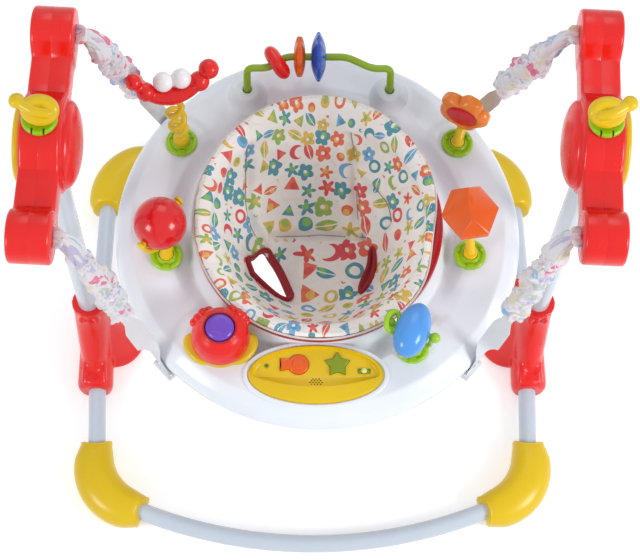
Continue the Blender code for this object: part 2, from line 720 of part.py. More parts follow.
def suspension(end, sign_y, side, sign_x):
    """A coil spring in a gathered sleeve, with flat webbing down to the tray."""
    label = f"{end}_{side}"
    start, turn, low = strap_line(sign_x, sign_y)
    steps = 2 * SLEEVE_GATHERS
    path = smooth_path(start, turn, low, SLEEVE_SHARE, steps)
    narrow = SLEEVE_RADIUS * 0.82

    def outer(share):
        swell = math.sin(min(1.0, share / 0.16) * math.pi / 2) * math.sin(min(1.0, (1 - share) / 0.08 + 0.3)
                                                                          * math.pi / 2)
        fold = math.cos(math.pi * share * (len(path) - 1))
        return narrow + (SLEEVE_RADIUS - narrow) * swell + SLEEVE_RUFFLE * fold * swell

    def inner(share):
        bore = SLEEVE_RADIUS - SLEEVE_WALL
        return min(outer(share) - SLEEVE_WALL, bore)

    add_part(f"sleeve_{label}", pipe(path, outer, inner, SLEEVE_SIDES), "fabric")
    along = (low - turn).normalized()
    coil_start = turn.lerp(low, 0.12)
    length = (low - turn).length * (SLEEVE_SHARE - 0.12) - WEBBING_TUCK - COIL_WIRE - SEAT_GAP
    bore = within(SLEEVE_RADIUS - SLEEVE_WALL - SLEEVE_RUFFLE, SLEEVE_SIDES)
    coil_radius = bore - COIL_WIRE - SEAT_GAP
    frame = aim(along, coil_start)
    per_turn = 6
    total = COIL_TURNS * per_turn
    helix = [start + (turn - start) * 0.05, turn.lerp(low, 0.02)]
    for i in range(total + 1):
        a = 2 * math.pi * i / per_turn
        size = coil_radius * min(1.0, i / 2, (total - i) / 2)
        helix.append(frame @ Vector((size * math.cos(a), size * math.sin(a), length * i / total)))
    add_part(f"spring_{label}", rod(helix, COIL_WIRE, 4), "steel")
    tuck = WEBBING_TUCK / (low - turn).length
    top = turn.lerp(low, SLEEVE_SHARE - tuck)
    foot_point = low + along * (LUG_HEIGHT * 0.75)
    radial = Vector((sign_x * ANCHOR_SPAN, sign_y * ANCHOR_DEPTH, 0)).normalized()
    tangent = Vector((-radial.y, radial.x, 0))
    if tangent.x * sign_x < 0:
        tangent = -tangent
    shares = (0.0, 0.22, 0.32, 0.50, 0.60, 0.68, 0.76, 1.0)
    turns = (0.0, 0.0, 0.0, 0.0, 0.34, 0.67, 1.0, 1.0)
    ribbon = [top.lerp(foot_point, share) for share in shares]
    sides = [radial * math.cos(math.pi / 2 * t) + tangent * math.sin(math.pi / 2 * t) for t in turns]
    widths = [WEBBING_WIDTH if share < 0.3 else WEBBING_SPREAD for share in shares[:-1]] + [WEBBING_FOLD]
    add_part(f"webbing_{label}", strip(ribbon, sides, widths, WEBBING_THICKNESS), "webbing")


def valley_lines():
    """Direction and depth of each valley, midway between two toys."""
    left_boss, right_boss = (-BAR_HALF_SPAN, BAR_Y), (BAR_HALF_SPAN, BAR_Y)
    pairs = [(BALL_SPOT, TUMBLER_SPOT, VALLEY_DEPTH), (EGG_SPOT, FACET_SPOT, VALLEY_DEPTH),
             (FLOWER_SPOT, right_boss, DECK_DIP), (left_boss, CRAB_SPOT, DECK_DIP)]
    lines = []
    for first, second, depth in pairs:
        middle = Vector(first).normalized() + Vector(second).normalized()
        lines.append((math.atan2(middle.y, middle.x), depth))
    return lines


def deck_dip(radius, angle):
    """How far the deck dips at a point; it stays level on the mounds that carry the toys."""
    dip = 0.0
    for middle, depth in valley_lines():
        gap = math.atan2(math.sin(angle - middle), math.cos(angle - middle)) * radius
        dip += depth * math.exp(-0.5 * (gap / VALLEY_SPREAD) ** 2)
    point = Vector((radius * math.cos(angle), radius * math.sin(angle)))
    mounds = [(spot, SOCKET_RADIUS * 1.3) for spot in (CRAB_SPOT, BALL_SPOT, FACET_SPOT, FLOWER_SPOT)]
    mounds += [(spot, MOUND_RADIUS) for spot in (TUMBLER_SPOT, EGG_SPOT)]
    mounds += [((sign * BAR_HALF_SPAN + BAR_SHIFT, BAR_Y), BOSS_RADIUS * 1.5) for sign in (-1, 1)]
    for spot, reach in mounds:
        away = max(0.0, min(1.0, ((point - Vector(spot)).length - reach) / MOUND_EASE))
        dip *= away * away * (3 - 2 * away)
    return dip


def tray_profile(angle):
    """The tray shell's outline in radius and height, outer skin first."""
    deck_in = OPENING_RADIUS + INNER_BAND
    deck_out = TRAY_RADIUS - OUTER_BAND
    slope = OPENING_RADIUS + INNER_SLOPE
    dip = deck_dip((deck_in + deck_out) / 2, angle)
    rim = TRAY_RADIUS - TRAY_LOBE * dip / VALLEY_DEPTH
    deck = DECK_HEIGHT - dip
    return [(OPENING_RADIUS, COLLAR_HEIGHT - 0.030), (OPENING_RADIUS, COLLAR_HEIGHT),
            (OPENING_RADIUS + 0.006, COLLAR_HEIGHT - 0.002), (slope, COLLAR_HEIGHT - 0.022),
            (deck_in, deck), (deck_out, deck), (rim - 0.008, deck - 0.009), (rim, TRAY_RIM_HEIGHT + 0.012),
            (rim, TRAY_RIM_HEIGHT), (rim - TRAY_WALL, TRAY_RIM_HEIGHT),
            (rim - TRAY_WALL, TRAY_RIM_HEIGHT + 0.010), (rim - 0.011, deck - 0.0105),
            (deck_out - 0.001, deck - TRAY_WALL), (deck_in + 0.0015, deck - TRAY_WALL),
            (slope + 0.001, COLLAR_HEIGHT - 0.022 - TRAY_WALL),
            (OPENING_RADIUS + TRAY_WALL, COLLAR_HEIGHT - 0.008),
            (OPENING_RADIUS + TRAY_WALL, COLLAR_HEIGHT - 0.030)]


def round_hole(radius, count):
    """A cutter for a round hole through the deck."""
    return turned([(0, -0.03), (radius, -0.03), (radius, 0.02), (0, 0.02)], count)


def tray_shell():
    """The upper tray moulding, with pods for the toys and holes for their sockets."""
    rings = []
    for i in range(TRAY_SIDES):
        a = 2 * math.pi * i / TRAY_SIDES
        rings.append([Vector((r * math.cos(a), r * math.sin(a), z)) for r, z in tray_profile(a)])
    obj = add_part("tray_top", loft(rings, closed=True), "white", (0, 0, 0))
    for x, y in (CRAB_SPOT, BALL_SPOT, FACET_SPOT, FLOWER_SPOT, EGG_SPOT):
        plug = around(SOCKET_RADIUS - SOCKET_PLUG_INSET + SEAT_GAP, 16)
        cut(obj, moved(round_hole(plug, 16), Matrix.Translation((x, y, DECK_HEIGHT))))
    plug = around(TUMBLER_RADIUS * 0.9 + SEAT_GAP, 20)
    cut(obj, moved(round_hole(plug, 20), Matrix.Translation((*TUMBLER_SPOT, DECK_HEIGHT))))
    oval = circle(PANEL_HALF_LENGTH - PANEL_LIP + SEAT_GAP, 28, 0.0,
                  PANEL_HALF_DEPTH - PANEL_LIP + SEAT_GAP, (PANEL_CENTRE_X, PANEL_CENTRE_Y))
    cut(obj, prism([(p.x, p.y) for p in oval], DECK_HEIGHT - 0.03, DECK_HEIGHT + 0.02))
    for sign in (-1, 1):
        place = Matrix.Translation((sign * BAR_HALF_SPAN + BAR_SHIFT, BAR_Y, DECK_HEIGHT))
        boss = turned([(0, -0.0015), (BOSS_RADIUS * 1.45, -0.0015), (BOSS_RADIUS * 1.08, BOSS_HEIGHT * 0.55),
                       (BOSS_RADIUS, BOSS_HEIGHT - 0.003), (BOSS_RADIUS - 0.003, BOSS_HEIGHT),
                       (0, BOSS_HEIGHT)], 16)
        join(obj, moved(boss, place))
        leg = [Vector((0, 0, z)) for z in (-0.03, BOSS_HEIGHT + 0.01)]
        cut(obj, moved(rod(leg, around(BAR_RADIUS + SEAT_GAP, 10), 10), place))


def tray_base():
    """The lower tray moulding, a shallow dish with four webbing lugs."""
    edge = within(TRAY_RADIUS - TRAY_LOBE - TRAY_WALL, TRAY_SIDES) - SEAT_GAP
    inner = around(OPENING_RADIUS + TRAY_WALL + SEAT_GAP, TRAY_BASE_SIDES)
    lip = TRAY_RIM_HEIGHT + 0.004
    profile = [(edge - 0.001, lip), (edge - 0.003, TRAY_RIM_HEIGHT - 0.008),
               (FLOOR_RADIUS, TRAY_FLOOR_HEIGHT), (inner + 0.006, TRAY_FLOOR_HEIGHT),
               (inner, TRAY_FLOOR_HEIGHT + 0.006), (inner, COLLAR_HEIGHT - 0.020),
               (inner + TRAY_WALL, COLLAR_HEIGHT - 0.026),
               (inner + TRAY_WALL, TRAY_FLOOR_HEIGHT + TRAY_WALL),
               (FLOOR_RADIUS - 0.001, TRAY_FLOOR_HEIGHT + TRAY_WALL),
               (edge - 0.006, TRAY_RIM_HEIGHT - 0.006), (edge - 0.004, lip)]
    obj = add_part("tray_base", turned(profile, TRAY_BASE_SIDES, closed=True), "white")
    reach = math.hypot(ANCHOR_SPAN, ANCHOR_DEPTH)
    angle = math.atan2(ANCHOR_DEPTH, ANCHOR_SPAN)
    thick = LUG_HEIGHT
    slot_half = WEBBING_THICKNESS / 2 + LUG_SLACK
    for sign_x in (-1, 1):
        for sign_y in (-1, 1):
            low = ANCHOR_HEIGHT - thick
            near, far = FLOOR_RADIUS - 0.002, reach + slot_half + LUG_RIM
            outline = [(near, -LUG_WIDTH / 2), (far, -LUG_WIDTH / 2), (far, LUG_WIDTH / 2),
                       (near, LUG_WIDTH / 2)]
            lug = prism(outline, low, ANCHOR_HEIGHT)
            turn = Matrix.Rotation(math.atan2(sign_y * math.sin(angle), sign_x * math.cos(angle)), 4, "Z")
            join(obj, moved(lug, turn))
            wide = WEBBING_SPREAD / 2 + BORE_GAP
            middle = reach - LUG_SLACK / 2
            slot = [(middle - slot_half, -wide), (middle + slot_half, -wide), (middle + slot_half, wide),
                    (middle - slot_half, wide)]
            cut(obj, moved(prism(slot, low - 0.01, ANCHOR_HEIGHT + 0.01), turn))
    door = battery_outline(DOOR_GAP)
    cut(obj, prism(door, TRAY_FLOOR_HEIGHT - 0.01, TRAY_FLOOR_HEIGHT + 0.012))


def battery_outline(gap):
    """The battery door's outline in plan, wider by a gap."""
    half_x, half_y = DOOR_LENGTH / 2 + gap, DOOR_DEPTH / 2 + gap
    return [(-half_x, DOOR_Y - half_y), (half_x, DOOR_Y - half_y),
            (half_x, DOOR_Y + half_y), (-half_x, DOOR_Y + half_y)]


def electronics():
    """The battery door under the tray, and the sound board with its loudspeaker above it."""
    add_part("battery_door", prism(battery_outline(DOOR_GAP - SEAT_GAP), TRAY_FLOOR_HEIGHT,
                                   TRAY_FLOOR_HEIGHT + TRAY_WALL), "white")
    seat = TRAY_FLOOR_HEIGHT + TRAY_WALL + SEAT_GAP
    half_x, half_y = BOARD_LENGTH / 2, BOARD_DEPTH / 2
    board = [(-half_x, DOOR_Y - half_y), (half_x, DOOR_Y - half_y),
             (half_x, DOOR_Y + half_y), (-half_x, DOOR_Y + half_y)]
    obj = add_part("sound_board", prism(board, seat, seat + 0.0016), "board")
    cone = turned([(0, 0.001), (0.014, 0.001), (0.014, 0.008), (0.011, 0.008), (0.004, 0.004),
                   (0, 0.004)], 16)
    join(obj, moved(cone, Matrix.Translation((-0.005, DOOR_Y, seat))))


def star(radius, gap=0.0):
    """A five-pointed star with blunt points."""
    points = []
    for i in range(10):
        a = math.pi / 2 + math.pi * i / 5
        size = radius * (1.0 if i % 2 == 0 else 0.58) + gap
        points.append((size * math.cos(a), size * math.sin(a)))
    return points


def round_button(gap=0.0):
    """A round button with a short tail."""
    size = ROUND_BUTTON_RADIUS + gap
    points = []
    for i in range(17):
        a = math.radians(-150 + 300 * i / 16) + math.pi
        points.append((-size * math.cos(a), -size * math.sin(a)))
    tail = -ROUND_BUTTON_RADIUS * 1.75 - gap
    wide = ROUND_BUTTON_RADIUS * 0.62 + gap
    return points + [(tail, wide), (tail, -wide)]


def shifted(outline, x, y):
    """An outline moved in plan."""
    return [(px + x, py + y) for px, py in outline]


def panel():
    """The oval sound panel with its two buttons and its slide switch."""
    floor = DECK_HEIGHT - 0.004
    lip = DECK_HEIGHT + PANEL_RISE
    plug_x, plug_y = PANEL_HALF_LENGTH - PANEL_LIP, PANEL_HALF_DEPTH - PANEL_LIP
    centre = (PANEL_CENTRE_X, PANEL_CENTRE_Y)
    rings = [circle(plug_x - 0.006, 28, floor, plug_y - 0.006, centre),
             circle(plug_x - 0.002, 28, DECK_HEIGHT - 0.010, plug_y - 0.002, centre),
             circle(plug_x, 28, DECK_HEIGHT - 0.010, plug_y, centre),
             circle(plug_x, 28, DECK_HEIGHT + SEAT_GAP, plug_y, centre),
             circle(PANEL_HALF_LENGTH, 28, DECK_HEIGHT + SEAT_GAP, PANEL_HALF_DEPTH, centre),
             circle(PANEL_HALF_LENGTH - 0.001, 28, lip - 0.002, PANEL_HALF_DEPTH - 0.001, centre),
             circle(PANEL_HALF_LENGTH - 0.005, 28, lip, PANEL_HALF_DEPTH - 0.004, centre),
             circle(PANEL_HALF_LENGTH - 0.010, 28, lip - 0.004, PANEL_HALF_DEPTH - 0.009, centre)]
    obj = add_part("panel", loft(rings), "yellow")
    shelf = circle(PANEL_HALF_LENGTH - 0.013, 28, 0.0, 0.0235, (PANEL_CENTRE_X, PANEL_CENTRE_Y + 0.0095))
    cut(obj, prism([(p.x, p.y) for p in shelf], lip - PANEL_RECESS, lip + 0.01))
    low, high = floor - 0.006, lip + 0.01
    cut(obj, prism(shifted(round_button(RUNNING_GAP), ROUND_BUTTON_X, BUTTON_ROW_Y), low, high))
    cut(obj, prism(shifted(star(STAR_BUTTON_RADIUS, RUNNING_GAP), STAR_BUTTON_X, BUTTON_ROW_Y), low, high))
    slot_x, slot_y = SWITCH_TRAVEL + 0.0045, 0.0040
    slot = [(-slot_x, -slot_y), (slot_x, -slot_y), (slot_x, slot_y), (-slot_x, slot_y)]
    cut(obj, prism(shifted(slot, SWITCH_X, SWITCH_Y), low, high))
    top = lip - PANEL_RECESS + BUTTON_PROUD
    under = floor - 0.001
    add_part("round_button", prism(shifted(round_button(), ROUND_BUTTON_X, BUTTON_ROW_Y), under, top),
             "orange", (ROUND_BUTTON_X, BUTTON_ROW_Y, under))
    outline = shifted(star(STAR_BUTTON_RADIUS), STAR_BUTTON_X, BUTTON_ROW_Y)
    add_part("star_button", prism(outline, under, top), "green", (STAR_BUTTON_X, BUTTON_ROW_Y, under))
    knob = [(-0.0040, -slot_y + RUNNING_GAP), (0.0040, -slot_y + RUNNING_GAP),
            (0.0040, slot_y - RUNNING_GAP), (-0.0040, slot_y - RUNNING_GAP)]
    add_part("mode_switch", prism(shifted(knob, SWITCH_X, SWITCH_Y), under, top), "green",
             (SWITCH_X, SWITCH_Y, under))


def seat():
    """The turning seat: a ring that runs on the tray's collar, and a padded bucket in it."""
    bore = RING_RADIUS - RING_WALL
    low = COLLAR_HEIGHT - RING_SLEEVE
    sleeve = within(OPENING_RADIUS, TRAY_SIDES) - RUNNING_GAP
    band = COLLAR_HEIGHT + SEAT_GAP
    top = band + RING_BAND
    profile = [(bore, low), (sleeve, low), (sleeve, band), (RING_RADIUS, band), (RING_RADIUS, top - 0.003),
               (RING_RADIUS - 0.003, top), (bore, top)]
    add_part("seat_ring", turned(profile, RING_SIDES, closed=True), "red")
    count = 26
    rim = SEAT_RIM_RADIUS

    def rise(angle):
        return SEAT_BACK_RISE * max(0.0, math.sin(angle)) ** 1.5

    def ring(radius, height, lift):
        return [Vector((radius * math.cos(a), radius * math.sin(a), height + lift * rise(a)))
                for a in (2 * math.pi * i / count for i in range(count))]

    throat = within(bore, RING_SIDES) - SEAT_GAP
    bottom = top - SEAT_DEPTH
    rings = [[Vector((0, 0, bottom))], ring(0.050, bottom + 0.004, 0), ring(0.095, bottom + 0.026, 0),
             ring(0.125, bottom + 0.062, 0), ring(0.148, bottom + 0.105, 0), ring(throat, low + 0.004, 0),
             ring(throat, top + SEAT_GAP, 0), ring(rim, top + SEAT_GAP, 0),
             ring(rim, top + SEAT_RIM_HEIGHT * 0.6, 1.0), ring(rim - 0.006, top + SEAT_RIM_HEIGHT, 1.0),
             ring(throat - SEAT_WALL * 0.8, top + SEAT_RIM_HEIGHT, 1.0),
             ring(throat - SEAT_WALL * 1.6, top, 0.6), ring(0.148 - SEAT_WALL, bottom + 0.107, 0),
             ring(0.125 - SEAT_WALL, bottom + 0.066, 0), ring(0.095 - SEAT_WALL, bottom + 0.032, 0),
             ring(0.050, bottom + 0.004 + SEAT_WALL, 0), [Vector((0, 0, bottom + SEAT_WALL))]]
    obj = add_part("seat_pad", loft(rings), "fabric")
    for sign in (-1, 1):
        middle = Vector((sign * LEG_HOLE_SPAN, -LEG_HOLE_FORWARD, bottom + 0.024))
        across = Vector((sign * 0.62, -0.30, -0.72)).normalized()
        hole = turned([(0, -0.045), (LEG_HOLE_RADIUS, -0.045), (LEG_HOLE_RADIUS, 0.060), (0, 0.060)], 18)
        cut(obj, moved(hole, aim(across, middle)))


def rounded(points, radius):
    """A path with its corners cut back and eased."""
    path = [points[0]]
    for before, here, after in zip(points, points[1:], points[2:]):
        back = min(radius, (here - before).length * 0.45, (after - here).length * 0.45)
        first = here + (before - here).normalized() * back
        last = here + (after - here).normalized() * back
        path += [first, (first + last + here * 2) / 4, last]
    return path + [points[-1]]


def bar_path():
    """The centreline of the toy bar, from one boss over the shoulders and the crest to the other."""
    left, right = BAR_SHIFT - BAR_HALF_SPAN, BAR_SHIFT + BAR_HALF_SPAN
    low, elbow = -BOSS_HEIGHT, BOSS_HEIGHT + BAR_BEND + 0.001
    depth, shoulder = BAR_SHOULDER_DEPTH, BAR_SHOULDER
    points = [Vector((left, 0.0, low)), Vector((left, 0.0, elbow)), Vector((left, depth, shoulder))]
    points.append(Vector((left + BAR_LEFT_STEP, depth, shoulder)))
    points.append(Vector((BAR_CREST_START, BAR_CREST_DEPTH, BAR_CREST)))
    points.append(Vector((BAR_CREST_END, BAR_CREST_DEPTH, BAR_CREST)))
    points.append(Vector((right - BAR_RIGHT_STEP, depth, shoulder)))
    points.append(Vector((right, depth, shoulder)))
    points.append(Vector((right, 0.0, elbow)))
    points.append(Vector((right, 0.0, low)))
    return [point + Vector((0.0, BAR_Y, DECK_HEIGHT)) for point in points]


def toy_bar():
    """The bent bar at the back of the tray."""
    path = rounded(bar_path(), BAR_BEND)
    add_part("toy_bar", rod(path, BAR_RADIUS, 8, Vector((0, 1, 0.2))), "green")


def bead(node, colour, radius, half, first, share, fullness):
    """A bead that spins on one straight part of the toy bar."""
    start, end = bar_path()[first:first + 2]
    pivot = start.lerp(end, share)
    bore = around(BAR_RADIUS + RUNNING_GAP, 16)
    reach = radius - bore - 0.002
    turns = [math.pi * i / 4 - math.pi / 2 for i in range(5)]
    outer = [(bore + 0.002 + reach * max(0.0, math.cos(t)) ** fullness, half * math.sin(t)) for t in turns]
    profile = [(bore, -half * 0.92), *outer, (bore, half * 0.92)]
    add_part(node, moved(turned(profile, 16, closed=True), aim(end - start, pivot)), colour, pivot)


def socket(node, spot):
    """A green toy socket in the deck."""
    mesh = socket_mesh(SOCKET_RADIUS, SOCKET_RISE, SOCKET_DEPTH, around(STEM_RADIUS + SEAT_GAP, 12))
    return add_part(node, moved(mesh, Matrix.Translation((*spot, DECK_HEIGHT))), "green")


def stem_foot(spot):
    """The point where a toy's stem stands in its socket."""
    return Vector((*spot, DECK_HEIGHT - SOCKET_DEPTH * 0.5 + SEAT_GAP))


def crab():
    """A wobbling curved rattle on a spiral stem."""
    socket("crab_socket", CRAB_SPOT)
    spot = CRAB_SPOT
    base = stem_foot(spot)
    head = Vector((spot[0] - 0.0063, spot[1] - 0.0011, DECK_HEIGHT + CRAB_RISE))
    along = (head - base).normalized()
    reach = (head - base).length - CRAB_BALL_RADIUS - SEAT_GAP
    frame = aim(along, base)
    per_turn = 8
    total = COIL_STEM_TURNS * per_turn
    low, high = 0.034, reach - 0.006
    helix = [frame @ Vector((0, 0, low - 0.012))]
    for i in range(total + 1):
        a = 2 * math.pi * i / per_turn
        size = COIL_STEM_RADIUS * min(1.0, (i + 1) / 3, (total - i + 1) / 3)
        rise = low + (high - low) * i / total
        helix.append(frame @ Vector((size * math.cos(a), size * math.sin(a), rise)))
    helix += [frame @ Vector((0, 0, reach - 0.002)), frame @ Vector((0, 0, reach))]
    coil = add_part("crab_spring", rod(helix, COIL_STEM_WIRE, 6), "yellow", base)
    join(coil, rod([base, base + Vector((0, 0, 0.014)), frame @ Vector((0, 0, 0.030))],
                   lambda share: STEM_RADIUS if share < 0.7 else STEM_RADIUS * 1.1, 10))
    across = Vector((0.96, 0.20, 0.0)).normalized()
    rise = Vector((0.0, 0.45, 0.89))

    def on_arc(t):
        return head + across * CRAB_SPREAD * t + rise * CRAB_CURL * abs(t) ** 2.4

    steps = 8
    arc = [on_arc(2 * i / steps - 1) for i in range(steps + 1)]
    body = rod(arc, lambda share: CRAB_BALL_RADIUS * (0.95 - 0.6 * abs(share - 0.5)), 7)
    obj = add_part("crab_rattle", body, "red", head)
    for t, size in ((-1.0, 0.0100), (-0.70, 0.0130), (0.74, 0.0140), (1.0, 0.0120)):
        join(obj, moved(ball(size, None, 10, 5), Matrix.Translation(on_arc(t))))
    for t in (-0.22, 0.26):
        eye = on_arc(t) + rise * 0.026
        join(obj, moved(ball(0.0135, None, 10, 5), Matrix.Translation(eye)))
        join(obj, rod([on_arc(t), eye], 0.0070, 5))


def yoke(centre, axle, toward, arm, section, count=6):
    """A half-ring yoke round a spinning toy, from one end of its axle to the other."""
    across = axle.normalized()
    down = (toward - across * toward.dot(across)).normalized()
    steps = 10
    path = []
    for i in range(steps + 1):
        a = math.pi * i / steps
        path.append(centre + across * arm * math.cos(a) + down * arm * math.sin(a))
    return rod(path, section, count), down


def spinning_ball():
    """A ball that spins on an axle held in a yoke."""
    spot = BALL_SPOT
    obj = socket("ball_socket", spot)
    centre = Vector((spot[0] - 0.006, spot[1] + 0.022, DECK_HEIGHT + BALL_RISE))
    axle = Vector((0.576, 0.817, 0.0))
    foot_point = stem_foot(spot)
    arm = BALL_RADIUS + 0.0050
    ring, down = yoke(centre, axle, foot_point - centre, arm, 0.0040)
    join(obj, ring)
    join(obj, rod([Vector((*spot, DECK_HEIGHT - SOCKET_DEPTH * 0.8)), Vector((*spot, DECK_HEIGHT + 0.006)),
                   centre + down * (arm + 0.001)], STEM_RADIUS, 10))
    for sign in (-1, 1):
        pin = [centre + axle * sign * (arm + 0.0030), centre + axle * sign * (BALL_RADIUS - 0.004)]
        join(obj, rod(pin, 0.0045, 8))
    sphere = add_part("spin_ball", moved(ball(BALL_RADIUS, None, 18, 9), Matrix.Translation(centre)),
                      "red", centre)
    for sign in (-1, 1):
        hole = [centre + axle * sign * (BALL_RADIUS + 0.01), centre + axle * sign * (BALL_RADIUS - 0.0065)]
        cut(sphere, rod(hole, around(0.0045 + RUNNING_GAP, 10), 10))


def tumbler():
    """A domed knob that turns on a winged base, with a push button in its crown."""
    spot = Vector((*TUMBLER_SPOT, DECK_HEIGHT))
    plug = TUMBLER_RADIUS * 0.9
    wide = TUMBLER_RADIUS * 0.96
    hub_radius = TUMBLER_HUB_RADIUS
    hub_top = TUMBLER_HUB_HEIGHT
    base = turned([(0, -0.014), (plug, -0.014), (plug, SEAT_GAP), (wide, SEAT_GAP), (wide, 0.005),
                   (wide - 0.004, 0.010), (hub_radius, 0.010), (hub_radius, hub_top), (0, hub_top)], 18)
    wings = add_part("tumbler_base", moved(base, Matrix.Translation(spot)), "yellow")
    for sign in (-1, 1):
        wing = turned([(0, SEAT_GAP), (0.0165, SEAT_GAP), (0.0175, 0.005), (0.0130, 0.0095),
                       (0, 0.0098)], 14)
        shape = Matrix.Translation(spot + Vector((sign * 0.0300, -0.0180, 0))) @ \
            Matrix.Rotation(-sign * math.radians(38), 4, "Z") @ Matrix.Diagonal((1.0, 1.5, 1.0, 1.0))
        join(wings, moved(wing, shape))
    foot_z = 0.010 + RUNNING_GAP
    crown = foot_z + TUMBLER_CROWN
    well = around(PUSH_RADIUS + RUNNING_GAP, 18)
    bore = around(hub_radius + RUNNING_GAP, 18)
    outer = [(TUMBLER_RADIUS * 0.96, foot_z), (TUMBLER_RADIUS, foot_z + 0.006),
             (TUMBLER_RADIUS, foot_z + 0.014), (TUMBLER_RADIUS * 0.90, foot_z + 0.029),
             (TUMBLER_RADIUS * 0.72, foot_z + 0.040), (well + 0.003, crown), (well, crown - 0.002)]
    inner = [(well, hub_top + RUNNING_GAP), (bore, hub_top + RUNNING_GAP), (bore, foot_z)]
    dome = add_part("tumbler_dome", moved(turned(outer + inner, 18, closed=True), Matrix.Translation(spot)),
                    "red", spot)
    for angle in (math.radians(40), math.radians(142)):
        for step in (-0.30, 0.0, 0.30):
            a = angle + step
            knob = Vector((TUMBLER_RADIUS * math.cos(a), TUMBLER_RADIUS * math.sin(a), foot_z + 0.0130))
            join(dome, moved(ball(0.0070, None, 7, 4), Matrix.Translation(spot + knob)))
    floor = hub_top + RUNNING_GAP + BUTTON_TRAVEL + 0.0002
    push = turned([(0, floor), (PUSH_RADIUS, floor), (PUSH_RADIUS, crown + 0.002),
                   (PUSH_RADIUS * 0.86, crown + 0.0055), (0, crown + 0.007)], 18)
    add_part("tumbler_button", moved(push, Matrix.Translation(spot)), "purple", spot)


def spinning_egg():
    """An egg that tumbles end over end between the arms of a green fork."""
    obj = socket("egg_fork", EGG_SPOT)
    centre = Vector((EGG_SPOT[0] - 0.004, EGG_SPOT[1] + 0.004, DECK_HEIGHT + EGG_RISE))
    axle = Vector((0.936, -0.352, 0.0))
    arm = EGG_RADIUS + FORK_WIRE + RUNNING_GAP
    low = centre.z - EGG_LENGTH - FORK_WIRE - BORE_GAP
    base = Vector((centre.x, centre.y, low))
    crotch = Vector((centre.x, centre.y, low - 0.004))
    for sign in (-1, 1):
        top = centre + axle * sign * arm
        bend = base + axle * sign * arm * 0.62
        shoulder = Vector((top.x, top.y, low + 0.009))
        prong = [base - axle * sign * 0.004, bend, shoulder, top + Vector((0, 0, 0.002))]
        join(obj, rod(prong, FORK_WIRE, 6))
        pin = [centre + axle * sign * (arm + 0.002), centre + axle * sign * (EGG_RADIUS - 0.004)]
        join(obj, rod(pin, 0.0040, 8))
        knob = centre + axle * sign * (arm + 0.0045)
        join(obj, moved(ball(0.0068, None, 10, 5), Matrix.Translation(knob)))
    join(obj, rod([Vector((*EGG_SPOT, DECK_HEIGHT - SOCKET_DEPTH * 0.8)),
                   Vector((*EGG_SPOT, DECK_HEIGHT + 0.002)), crotch], STEM_RADIUS, 10))
    long_axis = Vector((0.352, 0.936, 0.0))
    egg = add_part("egg", moved(ball(EGG_RADIUS, EGG_LENGTH, 16, 8), aim(long_axis, centre)), "blue", centre)
    for sign in (-1, 1):
        hole = [centre + axle * sign * (EGG_RADIUS + 0.01), centre + axle * sign * (EGG_RADIUS - 0.0065)]
        cut(egg, rod(hole, around(0.0040 + RUNNING_GAP, 10), 10))


def facet_toy():
    """A six-sided faceted spinner that turns on a leaning stem."""
    spot = FACET_SPOT
    obj = socket("facet_socket", spot)
    foot_point = Vector((*spot, DECK_HEIGHT + 0.004))
    lean = Vector((-0.08, 0.34, 0.94)).normalized()
    neck = foot_point + lean * FACET_STEM
    join(obj, rod([Vector((*spot, DECK_HEIGHT - SOCKET_DEPTH * 0.8)), foot_point,
                   neck - lean * RUNNING_GAP], STEM_RADIUS, 10))
    rings = [circle(FACET_RADIUS * 0.50, 6, 0.0), circle(FACET_RADIUS * 0.93, 6, FACET_LENGTH * 0.40),
             circle(FACET_RADIUS, 6, FACET_LENGTH * 0.62), circle(FACET_RADIUS * 0.28, 6, FACET_LENGTH)]
    add_part("facet_spinner", moved(loft(rings), aim(lean, neck, math.radians(-6))), "orange", neck)


def flower_toy():
    """A petalled spinner that faces the child."""
    spot = FLOWER_SPOT
    obj = socket("flower_socket", spot)
    face = Vector((-0.49, -0.83, 0.24)).normalized()
    centre = Vector((spot[0] + 0.005, spot[1] + 0.020, DECK_HEIGHT + FLOWER_RISE))
    back = centre - face * (FLOWER_THICKNESS / 2 + RUNNING_GAP)
    heel = back - face * 0.0120 + Vector((0.0, 0.0, -0.004))
    join(obj, rod([Vector((*spot, DECK_HEIGHT - SOCKET_DEPTH * 0.8)), Vector((*spot, DECK_HEIGHT + 0.008)),
                   Vector((heel.x, heel.y, heel.z - 0.026)), heel], STEM_RADIUS, 10))
    join(obj, rod([back - face * 0.017, back], STEM_RADIUS * 1.2, 10))
    count = 20
    rings = []
    for size, height in ((0.30, -0.5), (0.86, -0.5), (1.0, -0.15), (1.0, 0.15), (0.84, 0.5), (0.46, 0.32),
                         (0.40, 0.62), (0.22, 0.95)):
        points = []
        for i in range(count):
            a = 2 * math.pi * i / count
            wave = 1 + 0.11 * math.cos(5 * a) * (1.0 if size > 0.5 else 0.0)
            radius = FLOWER_RADIUS * size * wave / 1.11
            points.append(Vector((radius * math.cos(a), radius * math.sin(a), FLOWER_THICKNESS * height)))
        rings.append(points)
    add_part("flower", moved(loft(rings), aim(face, centre)), "orange", centre)


